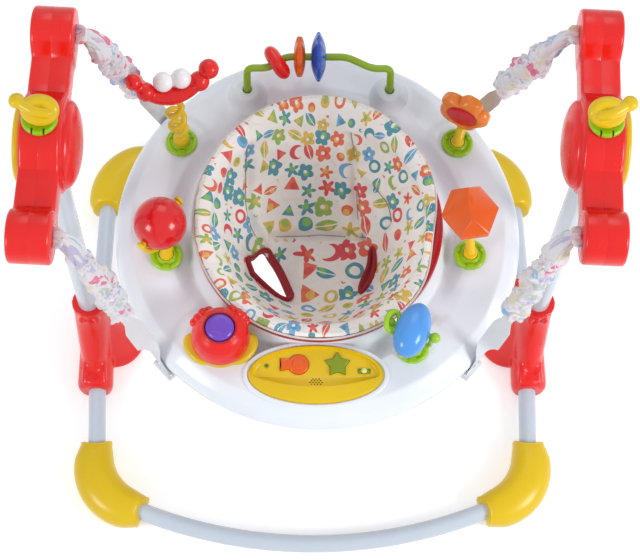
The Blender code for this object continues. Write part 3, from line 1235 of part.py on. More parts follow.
def build_frame():
    """Base, posts, beams and springs."""
    base_tube("front", 1, FRONT_REACH, FRONT_FOOT_START)
    base_tube("rear", -1, REAR_REACH, REAR_FOOT_START)
    for side, sign_x in (("left", -1), ("right", 1)):
        foot("front", 1, FRONT_REACH, FRONT_FOOT_START, FRONT_FOOT_SWELL, side, sign_x)
        foot("rear", -1, REAR_REACH, REAR_FOOT_START, REAR_FOOT_SWELL, side, sign_x)
        suspension("front", -1, side, sign_x)
        suspension("rear", 1, side, sign_x)
    for side, sign_x in (("left", -1), ("right", 1)):
        hub(side, sign_x)
        post(side, sign_x)
        beam_shell(side, sign_x, "outer", sign_x)
        beam_shell(side, sign_x, "inner", -sign_x)
        beam_plate(side, sign_x)
        beam_toy(side, sign_x)


def build_tray():
    """Tray, seat and toys."""
    tray_shell()
    tray_base()
    electronics()
    panel()
    seat()
    toy_bar()
    bead("bead_red", "red", 0.0290, 0.0100, 3, 0.50, 0.8)
    bead("bead_orange", "orange", 0.0310, 0.0075, 4, 0.23, 0.4)
    bead("bead_blue", "blue", 0.0365, 0.0110, 4, 0.54, 1.2)
    crab()
    spinning_ball()
    tumbler()
    spinning_egg()
    facet_toy()
    flower_toy()


def main():
    """Build the whole jumper."""
    clear_scene()
    build_frame()
    build_tray()
    for obj in bpy.data.objects:
        obj.location.y -= (REAR_REACH - FRONT_REACH) / 2


main()
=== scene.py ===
"""Dressed model of a baby jumper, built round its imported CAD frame.

Metres, +Z up, the front at -Y. Sizes and places are given from the line between the posts, and
every piece is moved by LINE_SHIFT when it is placed, as the solids are. DECK is the height of the
tray's deck, GAP the clearance of pieces that rest on each other, and SOCKET_FLOOR the height of a
toy's foot against the deck.
"""

from __future__ import annotations

import json
import logging
import math
from dataclasses import dataclass, field
from enum import Enum
from typing import Callable, Optional, Sequence, Union

import bmesh
import bpy
import numpy as np
from mathutils import Matrix, Vector, noise

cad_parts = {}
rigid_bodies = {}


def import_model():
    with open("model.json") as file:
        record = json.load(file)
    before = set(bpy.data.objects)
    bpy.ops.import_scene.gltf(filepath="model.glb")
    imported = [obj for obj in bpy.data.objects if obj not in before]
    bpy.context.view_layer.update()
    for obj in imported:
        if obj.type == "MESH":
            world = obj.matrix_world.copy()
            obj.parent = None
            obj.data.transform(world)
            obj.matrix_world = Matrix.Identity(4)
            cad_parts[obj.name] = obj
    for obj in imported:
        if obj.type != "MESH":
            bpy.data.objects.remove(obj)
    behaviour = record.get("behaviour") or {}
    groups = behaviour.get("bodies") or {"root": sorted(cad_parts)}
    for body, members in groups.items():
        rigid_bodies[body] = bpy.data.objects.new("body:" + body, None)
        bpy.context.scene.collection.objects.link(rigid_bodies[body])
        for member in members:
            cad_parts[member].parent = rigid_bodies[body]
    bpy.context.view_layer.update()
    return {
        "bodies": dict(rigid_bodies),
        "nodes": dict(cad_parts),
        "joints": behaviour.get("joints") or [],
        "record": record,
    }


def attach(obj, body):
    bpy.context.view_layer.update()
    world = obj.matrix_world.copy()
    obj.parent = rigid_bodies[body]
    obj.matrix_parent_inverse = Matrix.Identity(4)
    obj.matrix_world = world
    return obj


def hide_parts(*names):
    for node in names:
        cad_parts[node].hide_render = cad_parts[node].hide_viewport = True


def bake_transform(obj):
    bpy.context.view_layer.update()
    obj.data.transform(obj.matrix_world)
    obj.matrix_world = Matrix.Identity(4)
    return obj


LOG = logging.getLogger("baby_jumper")
LINE_SHIFT = -0.014
POST_LINE = (0.0, LINE_SHIFT, 0.0)
DECK = 0.4820
GAP = 0.0003
SOCKET_FLOOR = -0.0057
UP = Vector((0.0, 0.0, 1.0))

Ring = list[Vector]
Colour = tuple[float, float, float]
Outline = Callable[[float], list[tuple[float, float, float]]]


class Side(Enum):
    """Left and right as the front sees them; the value is the sign of X."""

    LEFT = -1
    RIGHT = 1

    @property
    def label(self) -> str:
        """The word used in node names."""
        return self.name.lower()


class End(Enum):
    """Front and rear; the value is the sign of Y."""

    FRONT = -1
    REAR = 1

    @property
    def label(self) -> str:
        """The word used in node names."""
        return self.name.lower()


# Shader maths


class Signal:
    """A shader socket that takes part in Python arithmetic."""

    def __init__(self, book: "Book", socket: bpy.types.NodeSocket) -> None:
        """Wrap a socket of a material's node tree."""
        self.book = book
        self.socket = socket

    def _with(self, operation: str, *others: "Term") -> "Signal":
        """Add one Math node that takes this socket first."""
        return self.book.maths(operation, self, *others)

    def __add__(self, other: "Term") -> "Signal":
        """self + other"""
        return self._with("ADD", other)

    def __radd__(self, other: "Term") -> "Signal":
        """other + self"""
        return self._with("ADD", other)

    def __sub__(self, other: "Term") -> "Signal":
        """self - other"""
        return self._with("SUBTRACT", other)

    def __rsub__(self, other: "Term") -> "Signal":
        """other - self"""
        return self.book.maths("SUBTRACT", other, self)

    def __mul__(self, other: "Term") -> "Signal":
        """self * other"""
        return self._with("MULTIPLY", other)

    def __rmul__(self, other: "Term") -> "Signal":
        """other * self"""
        return self._with("MULTIPLY", other)

    def __truediv__(self, other: "Term") -> "Signal":
        """self / other"""
        return self._with("DIVIDE", other)

    def __rtruediv__(self, other: "Term") -> "Signal":
        """other / self"""
        return self.book.maths("DIVIDE", other, self)

    def __pow__(self, other: "Term") -> "Signal":
        """self ** other"""
        return self._with("POWER", other)

    def __neg__(self) -> "Signal":
        """-self"""
        return self._with("MULTIPLY", -1.0)

    def __lt__(self, other: "Term") -> "Signal":
        """1 where self is less than other, else 0"""
        return self._with("LESS_THAN", other)

    def __gt__(self, other: "Term") -> "Signal":
        """1 where self is greater than other, else 0"""
        return self._with("GREATER_THAN", other)

    def __abs__(self) -> "Signal":
        """The size of self without its sign."""
        return self._with("ABSOLUTE")

    def least(self, other: "Term") -> "Signal":
        """The smaller of two values."""
        return self._with("MINIMUM", other)

    def most(self, other: "Term") -> "Signal":
        """The larger of two values."""
        return self._with("MAXIMUM", other)

    def sine(self) -> "Signal":
        """The sine of self."""
        return self._with("SINE")

    def cosine(self) -> "Signal":
        """The cosine of self."""
        return self._with("COSINE")

    def modulo_one(self) -> "Signal":
        """The part of self after the decimal point."""
        return self._with("FRACT")

    def step(self, low: float, high: float) -> "Signal":
        """Ease from 0 at low to 1 at high.

        Args:
            low: Value that gives 0.
            high: Value that gives 1.

        Returns:
            The eased value, held between 0 and 1.
        """
        node = self.book.node("ShaderNodeMapRange", {"interpolation_type": "SMOOTHSTEP"},
                              {0: self, 1: low, 2: high, 3: 0.0, 4: 1.0})
        return Signal(self.book, node.outputs[0])


Term = Union[Signal, int, float]
Value = Union[Signal, bpy.types.NodeSocket, int, float, Sequence[float]]


class Book:
    """The node tree of a material or a world, written as expressions."""

    def __init__(self, name: str, holder: Optional[bpy.types.World] = None) -> None:
        """Start an empty tree in a new material, or in a world.

        Args:
            name: The material's name.
            holder: What holds the tree, where it is not a new material.
        """
        self.material = holder or bpy.data.materials.new(name)
        self.material.use_nodes = True
        self.tree = self.material.node_tree
        self.tree.nodes.clear()

    def node(self, kind: str, settings: Optional[dict[str, object]] = None,
             values: Optional[dict[Union[int, str], Value]] = None) -> bpy.types.Node:
        """Add a node, set its options, then set or link its sockets.

        Args:
            kind: The node's type.
            settings: Attributes to set first; "stops" holds a ramp's (place, colour) pairs.
            values: Numbers, colours or links by socket name or index.

        Returns:
            The new node.
        """
        node = self.tree.nodes.new(kind)
        for key, value in (settings or {}).items():
            if key == "stops":
                self._set_stops(node, value)
            elif key == "blend":
                node.color_ramp.interpolation = value
            else:
                setattr(node, key, value)
        for key, value in (values or {}).items():
            socket = node.inputs[key]
            if isinstance(value, Signal):
                self.tree.links.new(value.socket, socket)
            elif isinstance(value, bpy.types.NodeSocket):
                self.tree.links.new(value, socket)
            else:
                socket.default_value = value
        return node

    @staticmethod
    def _set_stops(node: bpy.types.Node, stops: Sequence[tuple[float, Colour]]) -> None:
        """Fill a colour ramp with its stops.

        Args:
            node: The ramp.
            stops: Position and colour of each stop.
        """
        ramp = node.color_ramp
        while len(ramp.elements) < len(stops):
            ramp.elements.new(1.0)
        for element, (place, colour) in zip(ramp.elements, stops):
            element.position = place
            element.color = (*colour, 1.0)

    def maths(self, operation: str, *terms: Term) -> Signal:
        """One Math node on numbers and signals."""
        node = self.node("ShaderNodeMath", {"operation": operation}, dict(enumerate(terms)))
        return Signal(self, node.outputs[0])

    def vector(self, operation: str, *terms: Value) -> bpy.types.Node:
        """One Vector Math node; a scale goes in the socket named Scale."""
        return self.node("ShaderNodeVectorMath", {"operation": operation}, dict(enumerate(terms)))

    def scaled(self, vector: Value, scale: Sequence[float]) -> bpy.types.NodeSocket:
        """A vector with each part multiplied."""
        return self.vector("MULTIPLY", vector, tuple(scale)).outputs[0]

    def mix(self, share: Value, first: Value, second: Value) -> bpy.types.NodeSocket:
        """Mix two colours.

        Args:
            share: 0 for the first colour, 1 for the second.
            first: Colour or socket.
            second: Colour or socket.

        Returns:
            The mixed colour's socket.
        """
        first = (*first, 1.0) if isinstance(first, tuple) and len(first) == 3 else first
        second = (*second, 1.0) if isinstance(second, tuple) and len(second) == 3 else second
        settings = {"data_type": "RGBA", "clamp_factor": True}
        return self.node("ShaderNodeMix", settings, {0: share, 6: first, 7: second}).outputs[2]

    def place(self) -> bpy.types.NodeSocket:
        """Position on the object, in metres."""
        return self.node("ShaderNodeTexCoord").outputs["Object"]

    def attribute(self, name: str) -> bpy.types.Node:
        """A named mesh attribute."""
        return self.node("ShaderNodeAttribute", {"attribute_name": name})

    def noise(self, vector: Value, scale: float, detail: float = 3.0, rough: float = 0.5) -> Signal:
        """A noise value round one half.

        Args:
            vector: Place that drives it.
            scale: How fine it is.
            detail: Count of octaves.
            rough: Share that each finer octave adds.

        Returns:
            The value.
        """
        node = self.node("ShaderNodeTexNoise", {"noise_dimensions": "3D"},
                         {"Vector": vector, "Scale": scale, "Detail": detail, "Roughness": rough})
        return Signal(self, node.outputs[0])

    def to_lens(self) -> Signal:
        """1 for rays from the lens, straight or by way of gloss or glass, else 0.

        Returns:
            The value.
        """
        path = self.node("ShaderNodeLightPath")
        seen = [Signal(self, path.outputs[f"Is {kind} Ray"]) for kind in ("Camera", "Glossy", "Transmission")]
        return seen[0].most(seen[1]).most(seen[2])

    def bump(self, height: Signal, depth: float, strength: float = 1.0,
             under: Optional[bpy.types.NodeSocket] = None) -> bpy.types.NodeSocket:
        """Turn a height into a normal.

        Args:
            height: Height from 0 to 1.
            depth: Real depth of 1, in metres.
            strength: Share of the effect.
            under: A normal to build on.

        Returns:
            The normal's socket.
        """
        values: dict[Union[int, str], Value] = {"Height": height, "Distance": depth, "Strength": strength}
        if under is not None:
            values["Normal"] = under
        return self.node("ShaderNodeBump", {}, values).outputs[0]

    def finish(self, values: dict[Union[int, str], Value]) -> bpy.types.Material:
        """Close the tree with one Principled shader.

        Args:
            values: Values of the shader's inputs, by name.

        Returns:
            The material.
        """
        shader = self.node("ShaderNodeBsdfPrincipled", {}, values)
        self.node("ShaderNodeOutputMaterial", {}, {"Surface": shader.outputs[0]})
        return self.material


def srgb(red: int, green: int, blue: int) -> Colour:
    """A linear colour from screen values of 0 to 255."""
    parts = [v / 255.0 for v in (red, green, blue)]
    return tuple(p / 12.92 if p <= 0.04045 else ((p + 0.055) / 1.055) ** 2.4 for p in parts)


# Finishes


@dataclass(frozen=True)
class MouldedPlastic:
    """Injection-moulded plastic with slight flow marks, hairline scuffs and skin grain."""

    colour: Colour
    roughness: float = 0.26
    coat: float = 0.35
    mottle: float = 0.05
    grain: float = 0.00003
    wear: float = 0.5
    ior: float = 1.42

    def build(self, name: str) -> bpy.types.Material:
        """Make the material.

        Args:
            name: The material's name.

        Returns:
            The material.
        """
        book = Book(name)
        place = book.place()
        cloud = book.noise(place, 7.0, 3.0)
        fine = book.noise(place, 420.0, 2.0)
        smudge = book.noise(place, 36.0, 5.0, 0.62)
        dark = tuple(c * (1.0 - self.mottle) for c in self.colour)
        light = tuple(min(1.0, c * (1.0 + self.mottle * 0.8) + 0.003) for c in self.colour)
        base = book.mix(cloud.step(0.32, 0.68), dark, light)
        streak = book.noise(book.scaled(place, (60.0, 60.0, 9.0)), 1.0, 2.0)
        hair = (1.0 - abs(book.noise(place, 55.0, 1.0) - 0.5).step(0.0, 0.006)) * smudge.step(0.52, 0.70)
        scuff = hair * self.wear
        base = book.mix(scuff * 0.22, base, tuple(min(1.0, c * 0.7 + 0.28) for c in self.colour))
        rough = self.roughness + (smudge - 0.5) * 0.12 + scuff * 0.20 + (streak - 0.5) * 0.05
        normal = book.bump(fine + streak * 0.4 + hair * -0.8, self.grain, 0.8)
        return book.finish({"Base Color": base, "Roughness": rough, "Normal": normal,
                            "Coat Weight": self.coat, "Coat Roughness": 0.10, "IOR": self.ior})


@dataclass(frozen=True)
class TubePaint:
    """Sprayed paint on bent steel tube, with orange peel and light rubs."""

    colour: Colour

    def build(self, name: str) -> bpy.types.Material:
        """Make the material.

        Args:
            name: The material's name.

        Returns:
            The material.
        """
        book = Book(name)
        place = book.place()
        peel = book.noise(place, 340.0, 2.0)
        cloud = book.noise(place, 11.0, 4.0)
        rub = book.noise(book.scaled(place, (240.0, 240.0, 18.0)), 1.0, 3.0).step(0.66, 0.80)
        base = book.mix(cloud.step(0.3, 0.7), tuple(c * 0.975 for c in self.colour), self.colour)
        base = book.mix(rub * 0.10, base, tuple(min(1.0, c * 1.2) for c in self.colour))
        rough = 0.30 + (cloud - 0.5) * 0.08 + rub * 0.08
        normal = book.bump(peel + rub * 0.15, 0.00006, 0.5)
        return book.finish({"Base Color": base, "Roughness": rough, "Normal": normal, "Coat Weight": 0.5,
                            "Coat Roughness": 0.10, "Metallic": 0.0})


@dataclass(frozen=True)
class DrawnWire:
    """Bright steel wire with drawing lines."""

    def build(self, name: str) -> bpy.types.Material:
        """Make the material.

        Args:
            name: The material's name.

        Returns:
            The material.
        """
        book = Book(name)
        place = book.place()
        lines = book.noise(place, 900.0, 2.0)
        base = book.mix(book.noise(place, 60.0).step(0.35, 0.7), (0.46, 0.46, 0.47), (0.62, 0.62, 0.63))
        return book.finish({"Base Color": base, "Roughness": 0.25 + lines * 0.15, "Metallic": 1.0,
                            "Normal": book.bump(lines, 0.00003, 0.5)})


@dataclass(frozen=True)
class CircuitLaminate:
    """Solder-masked board with pale traces."""

    def build(self, name: str) -> bpy.types.Material:
        """Make the material.

        Args:
            name: The material's name.

        Returns:
            The material.
        """
        book = Book(name)
        place = book.place()
        cells = book.node("ShaderNodeTexVoronoi", {"feature": "DISTANCE_TO_EDGE"},
                          {"Vector": place, "Scale": 160.0})
        trace = 1.0 - Signal(book, cells.outputs[0]).step(0.05, 0.09)
        base = book.mix(trace, (0.015, 0.14, 0.06), (0.05, 0.30, 0.13))
        return book.finish({"Base Color": base, "Roughness": 0.42 - trace * 0.1,
                            "Normal": book.bump(trace, 0.00005)})


@dataclass(frozen=True)
class StrapWeave:
    """Flat woven strap: ribs across, bound edges and a little fuzz."""

    colour: Colour = srgb(232, 234, 238)

    def build(self, name: str) -> bpy.types.Material:
        """Make the material; the mesh attribute holds place across and along the strap, in metres.

        Args:
            name: The material's name.

        Returns:
            The material.
        """
        book = Book(name)
        parts = book.node("ShaderNodeSeparateXYZ", {}, {0: book.attribute("cloth_place").outputs["Vector"]})
        across, along = Signal(book, parts.outputs[0]), Signal(book, parts.outputs[1])
        rib = (along * (2 * math.pi / 0.0016)).sine() * 0.5 + 0.5
        cross = (across * (2 * math.pi / 0.0011)).sine() * 0.5 + 0.5
        fuzz = book.noise(book.place(), 620.0, 3.0)
        edge = abs(across).step(0.0062, 0.0074) * (1.0 - abs(across).step(0.0080, 0.0088))
        base = book.mix(rib * 0.5 + cross * 0.2, tuple(c * 0.80 for c in self.colour), self.colour)
        base = book.mix(edge * 0.10, base, (0.55, 0.56, 0.60))
        soil = book.noise(book.place(), 22.0, 4.0).step(0.50, 0.80)
        base = book.mix(soil * 0.10, base, (0.52, 0.50, 0.47))
        normal = book.bump(rib * 0.7 + cross * 0.3 + fuzz * 0.3, 0.00025, 0.8)
        return book.finish({"Base Color": base, "Roughness": 0.78 + fuzz * 0.15, "Normal": normal,
                            "Sheen Weight": 0.15, "Sheen Roughness": 0.5})


class Motif(Enum):
    """Generic shapes printed on the cloths, with their share of the places."""

    PETALS = 0.20
    LEAF = 0.42
    DOT = 0.54
    STAR = 0.70
    RING = 0.80
    WEDGE = 0.92
    MOON = 1.00


@dataclass(frozen=True)
class PrintLayer:
    """One layer of scattered motifs."""

    pitch: float
    size: float
    filled: float
    offset: tuple[float, float]
    inks: tuple[Colour, ...]
    cores: tuple[Colour, ...] = ()
    clear: Optional[Colour] = None

    def _shape(self, kind: Motif, x: Signal, y: Signal, reach: Signal, turn: Signal) -> Signal:
        """Give the mask of one motif round its own centre.

        Args:
            kind: Which motif.
            x: Place across the motif, where 1 is its reach.
            y: Place up the motif.
            reach: Distance from its centre.
            turn: Direction from its centre, in radians.

        Returns:
            1 inside the motif and 0 outside it.
        """
        if kind is Motif.PETALS:
            lobes = 0.62 + abs((turn * 2.5).cosine()) * 0.36
            return (reach < lobes) * (reach > 0.20)
        if kind is Motif.LEAF:
            half = (1.0 - x * x) * 0.46
            vein = abs(y) > 0.045
            return (abs(y) < half) * vein
        if kind is Motif.DOT:
            return reach < 0.55
        if kind is Motif.STAR:
            points = 0.58 + (turn * 5.0).cosine() * 0.24
            return reach < points
        if kind is Motif.RING:
            return (reach < 0.66) * (reach > 0.36)
        if kind is Motif.WEDGE:
            sides = (abs(x) * 0.87 + y * 0.5).most(-y)
            return sides < 0.42
        shifted = (x - 0.34) * (x - 0.34) + (y - 0.16) * (y - 0.16)
        return (reach < 0.78) * (shifted > 0.36)

    def lay(self, book: Book, under: Value, flat: Value) -> tuple[bpy.types.NodeSocket, Signal]:
        """Print this layer over a colour.

        Args:
            book: The material's tree.
            under: Colour below the print.
            flat: Place on the cloth, in metres.

        Returns:
            The printed colour and the mask of the ink.
        """
        start = book.vector("ADD", flat, (*self.offset, 0.0)).outputs[0]
        place = book.scaled(start, (1 / self.pitch, 1 / self.pitch, 0.0))
        cells = book.node("ShaderNodeTexVoronoi", {"voronoi_dimensions": "2D", "feature": "F1"},
                          {"Vector": place, "Scale": 1.0, "Randomness": 0.42})
        local = book.vector("SUBTRACT", place, cells.outputs["Position"]).outputs[0]
        dice = book.node("ShaderNodeSeparateColor", {}, {0: cells.outputs["Color"]})
        pick, ink, spin = (Signal(book, dice.outputs[i]) for i in range(3))
        turned = book.node("ShaderNodeVectorRotate", {"rotation_type": "Z_AXIS"},
                           {"Vector": local, "Angle": spin * 6.283})
        parts = book.node("ShaderNodeSeparateXYZ", {}, {0: turned.outputs[0]})
        size = self.size * (0.80 + ink * 0.30)
        x, y = (Signal(book, parts.outputs[i]) / size for i in range(2))
        reach = (x * x + y * y) ** 0.5
        turn = book.maths("ARCTAN2", y, x)
        mask: Optional[Signal] = None
        low = 0.0
        scaled_pick = pick / self.filled
        for kind in Motif:
            chosen = (scaled_pick > low) * (scaled_pick < kind.value + 1e-4)
            shape = self._shape(kind, x, y, reach, turn) * chosen
            mask = shape if mask is None else mask + shape
            low = kind.value
        mask = mask.least(1.0)
        if self.clear:
            under = book.mix(reach < 1.25, under, self.clear)
        choice = (ink * 7.31 + pick * 3.7).modulo_one()
        hue = self._ink(book, self.inks, choice)
        if self.cores:
            spots = ((x - 0.16) * (x - 0.16) + (y + 0.10) * (y + 0.10)) < 0.10
            lines = abs((x * 1.7 - y + 0.3).modulo_one() - 0.5) < 0.045
            hue = book.mix(spots * 0.9, hue, self._ink(book, self.cores, choice))
            hue = book.mix(lines * 0.35, hue, (0.25, 0.10, 0.08))
        return book.mix(mask * 0.94, under, hue), mask

    @staticmethod
    def _ink(book: Book, inks: Sequence[Colour], choice: Signal) -> bpy.types.NodeSocket:
        """One of the inks, picked by a value from 0 to 1."""
        stops = [(i / len(inks), colour) for i, colour in enumerate(inks)]
        return book.node("ShaderNodeValToRGB", {"stops": stops, "blend": "CONSTANT"}, {0: choice}).outputs[0]


# Printed and sewn cloth


@dataclass(frozen=True)
class PrintedCloth:
    """Woven cloth with a scattered print, quilting puckers and a little soil."""

    ground: Colour
    layers: tuple[PrintLayer, ...]
    thread: float = 0.0009
    soil: float = 0.10
    pucker: float = 0.0012

    def build(self, name: str) -> bpy.types.Material:
        """Make the material; the print lies by the mesh attribute, the weave by the object's place.

        Args:
            name: The material's name.

        Returns:
            The material.
        """
        book = Book(name)
        place = book.place()
        flat = book.attribute("cloth_place").outputs["Vector"]
        blot = book.noise(place, 26.0, 4.0)
        colour: Value = book.mix(blot.step(0.35, 0.70), tuple(c * 0.94 for c in self.ground), self.ground)
        ink: Optional[Signal] = None
        for layer in self.layers:
            colour, mask = layer.lay(book, colour, flat)
            ink = mask if ink is None else ink.most(mask)
        threads = []
        for axis in range(3):
            wave = book.node("ShaderNodeTexWave", {"wave_type": "BANDS", "bands_direction": "XYZ"[axis]},
                             {"Vector": place, "Scale": 0.314 / self.thread, "Distortion": 0.6,
                              "Detail": 1.0})
            threads.append(Signal(book, wave.outputs[1]))
        weave = (threads[0] + threads[1] + threads[2]) / 3.0
        slub = book.noise(place, 900.0, 2.0)
        crease = book.noise(place, 48.0, 4.0, 0.6)
        colour = book.mix((1.0 - weave) * 0.12 + (slub - 0.5) * 0.10, colour, (0.40, 0.38, 0.38))
        colour = book.mix(blot.step(0.58, 0.85) * self.soil, colour, (0.52, 0.48, 0.45))
        normal = book.bump(crease, self.pucker, 0.7)
        normal = book.bump(weave + slub * 0.5, 0.00020, 0.8, normal)
        rough = 0.82 + (slub - 0.5) * 0.20 - ink * 0.06
        return book.finish({"Base Color": colour, "Roughness": rough, "Normal": normal, "Sheen Weight": 0.12,
                            "Sheen Roughness": 0.45, "Specular IOR Level": 0.25})


@dataclass(frozen=True)
class BindingTape:
    """Folded tape sewn round an edge, ribbed along its length."""

    colour: Colour

    def build(self, name: str) -> bpy.types.Material:
        """Make the material.

        Args:
            name: The material's name.

        Returns:
            The material.
        """
        book = Book(name)
        place = book.place()
        fine = book.node("ShaderNodeTexWave", {"wave_type": "BANDS", "bands_direction": "DIAGONAL"},
                         {"Vector": place, "Scale": 420.0, "Distortion": 1.0, "Detail": 2.0})
        rib = Signal(book, fine.outputs[1])
        cloud = book.noise(place, 70.0, 3.0)
        base = book.mix(rib * 0.5 + cloud * 0.3, tuple(c * 0.72 for c in self.colour), self.colour)
        return book.finish({"Base Color": base, "Roughness": 0.74 + (cloud - 0.5) * 0.2,
                            "Normal": book.bump(rib + cloud, 0.0003, 0.7), "Sheen Weight": 0.1})


@dataclass(frozen=True)
class Ground:
    """Plain pale floor, white to the lens except where the object shades it."""

    colour: Colour = (0.80, 0.80, 0.80)
    glow: float = 0.40

    def build(self, name: str) -> bpy.types.Material:
        """Make the material.

        Args:
            name: The material's name.

        Returns:
            The material.
        """
        book = Book(name)
        fine = book.noise(book.place(), 30.0, 3.0)
        base = book.mix(fine * 0.03, self.colour, tuple(c * 0.9 for c in self.colour))
        glow = book.mix(book.to_lens(), (0.0, 0.0, 0.0), (1.0, 1.0, 1.0))
        return book.finish({"Base Color": base, "Roughness": 0.62 + (fine - 0.5) * 0.1,
                            "Specular IOR Level": 0.15, "Emission Color": glow,
                            "Emission Strength": self.glow})


# Mesh making


@dataclass
class Skin:
    """Points and faces in the making; a place on the cloth may go with each point."""

    points: list[Vector] = field(default_factory=list)
    faces: list[tuple[int, ...]] = field(default_factory=list)
    places: list[tuple[float, float, float]] = field(default_factory=list)

    def join(self, *others: "Skin") -> "Skin":
        """Take in the points and faces of other skins.

        Args:
            others: The skins to take in.

        Returns:
            This skin.
        """
        for other in others:
            start = len(self.points)
            self.points += other.points
            self.faces += [tuple(i + start for i in face) for face in other.faces]
            self.places += other.places
        return self

    def moved(self, matrix: Matrix) -> "Skin":
        """A copy placed with a matrix."""
        return Skin([matrix @ p for p in self.points], list(self.faces), list(self.places))

    def at(self, place: Sequence[float]) -> "Skin":
        """A copy moved by a place."""
        return self.moved(Matrix.Translation(place))

    def mesh(self, name: str, outward: bool = True) -> bpy.types.Mesh:
        """Turn the skin into a mesh.

        Args:
            name: The mesh's name.
            outward: Whether the faces are turned to point out of a closed body.

        Returns:
            The mesh, with the places on the cloth kept as a point attribute.
        """
        mesh = bpy.data.meshes.new(name)
        mesh.from_pydata([tuple(p) for p in self.points], [], self.faces)
        if outward:
            work = bmesh.new()
            work.from_mesh(mesh)
            bmesh.ops.recalc_face_normals(work, faces=work.faces)
            work.to_mesh(mesh)
            work.free()
        if len(self.places) == len(self.points):
            keep = mesh.attributes.new("cloth_place", "FLOAT_VECTOR", "POINT")
            keep.data.foreach_set("vector", np.array(self.places, dtype=np.float32).ravel())
        return mesh


def shown(name: str, data: bpy.types.ID) -> bpy.types.Object:
    """Make an object for a mesh, lamp or camera and link it to the scene.

    Args:
        name: The object's name.
        data: What it shows.

    Returns:
        The object.
    """
    obj = bpy.data.objects.new(name, data)
    bpy.context.scene.collection.objects.link(obj)
    return obj


def full_turn(count: int, offset: float = 0.0) -> list[float]:
    """Evenly spaced angles round a circle; the offset is a share of one step."""
    return [2 * math.pi * (i + offset) / count for i in range(count)]


def held(value: float) -> float:
    """A value kept between 0 and 1."""
    return max(0.0, min(1.0, value))


def smooth(share: float) -> float:
    """A share from 0 to 1, eased at both ends."""
    return share * share * (3 - 2 * share)


def lobed(count: int, size: Callable[[float], float], height: float) -> Ring:
    """A level ring whose radius varies with the direction."""
    return [Vector((size(a) * math.cos(a), size(a) * math.sin(a), height)) for a in full_turn(count)]


def loft(rings: Sequence[Ring], closed: bool = False, caps: bool = True) -> Skin:
    """Skin a list of rings; a ring of one point closes the skin there.

    Args:
        rings: Rings of points; all have the same count, or one point.
        closed: Whether the last ring joins the first.
        caps: Whether the open ends are filled.

    Returns:
        The skin.
    """
    skin = Skin()
    loops = []
    for ring in rings:
        loops.append(list(range(len(skin.points), len(skin.points) + len(ring))))
        skin.points += [Vector(p) for p in ring]
    pairs = list(zip(loops, loops[1:])) + ([(loops[-1], loops[0])] if closed else [])
    for first, second in pairs:
        count = max(len(first), len(second))
        for i in range(count):
            j = (i + 1) % count
            corners = (first[i % len(first)], first[j % len(first)], second[j % len(second)],
                       second[i % len(second)])
            skin.faces.append(tuple(dict.fromkeys(corners)))
    if caps and not closed:
        for loop in (loops[0], loops[-1]):
            if len(loop) > 2:
                skin.faces.append(tuple(loop))
    return skin


def circle(radius: float, count: int, height: float = 0.0, deep: Optional[float] = None,
           centre: tuple[float, float] = (0.0, 0.0)) -> Ring:
    """Points round a level ellipse.

    Args:
        radius: Half the width.
        count: Count of points.
        height: Height of the ring.
        deep: Half the depth, where it differs.
        centre: Middle of the ring in plan.

    Returns:
        The points.
    """
    deep = radius if deep is None else deep
    return [Vector((centre[0] + radius * math.cos(a), centre[1] + deep * math.sin(a), height))
            for a in full_turn(count)]


def eased(points: Sequence[Sequence[float]], radius: float, steps: int = 3) -> list[Vector]:
    """Round the corners of a line of points.

    Args:
        points: The line's points.
        radius: How far each corner is cut back.
        steps: Points added to a corner.

    Returns:
        The line with its corners eased and its ends kept.
    """
    line = [Vector(p) for p in points]
    path = [line[0]]
    for before, here, after in zip(line, line[1:], line[2:]):
        back = min(radius, (here - before).length * 0.46, (after - here).length * 0.46)
        first = here + (before - here).normalized() * back
        last = here + (after - here).normalized() * back
        for i in range(steps + 1):
            t = i / steps
            path.append(first.lerp(here, t).lerp(here.lerp(last, t), t))
    return path + [line[-1]]


def curve(points: Sequence[Vector], steps: int = 6) -> list[Vector]:
    """A smooth line through points.

    Args:
        points: Points to pass through.
        steps: Parts between two points.

    Returns:
        The points of the line.
    """
    line = [points[0] * 2 - points[1], *points, points[-1] * 2 - points[-2]]
    path = []
    for a, b, c, d in zip(line, line[1:], line[2:], line[3:]):
        for i in range(steps):
            t = i / steps
            path.append(0.5 * (b * 2 + (c - a) * t + (a * 2 - b * 5 + c * 4 - d) * t ** 2
                               + (b * 3 - a - c * 3 + d) * t ** 3))
    return path + [points[-1].copy()]


def turned(profile: Sequence[Sequence[float]], count: int = 48, closed: bool = False) -> Skin:
    """Turn a profile of radius and height about +Z."""
    rings = [circle(p[0], count, p[1]) if p[0] > 1e-6 else [Vector((0, 0, p[1]))] for p in profile]
    return loft(rings, closed)


def eased_flat(profile: Sequence[Sequence[float]], radius: float,
               steps: int = 3) -> list[tuple[float, float]]:
    """A flat profile with its corners eased by a radius."""
    return [(p.x, p.y) for p in eased([(*p, 0.0) for p in profile], radius, steps)]


def turned_soft(profile: Sequence[Sequence[float]], radius: float, count: int = 48, steps: int = 3) -> Skin:
    """Turn a profile whose corners are eased by a radius."""
    return turned(eased_flat(profile, radius, steps), count)


def dome(radius: float, rise: float, base: float, steps: int = 8) -> list[tuple[float, float]]:
    """A profile from the foot of a dome to its crown."""
    turns = [math.pi / 2 * i / steps for i in range(steps)]
    return [(radius * math.cos(t), base + rise * math.sin(t)) for t in turns] + [(0.0, base + rise)]


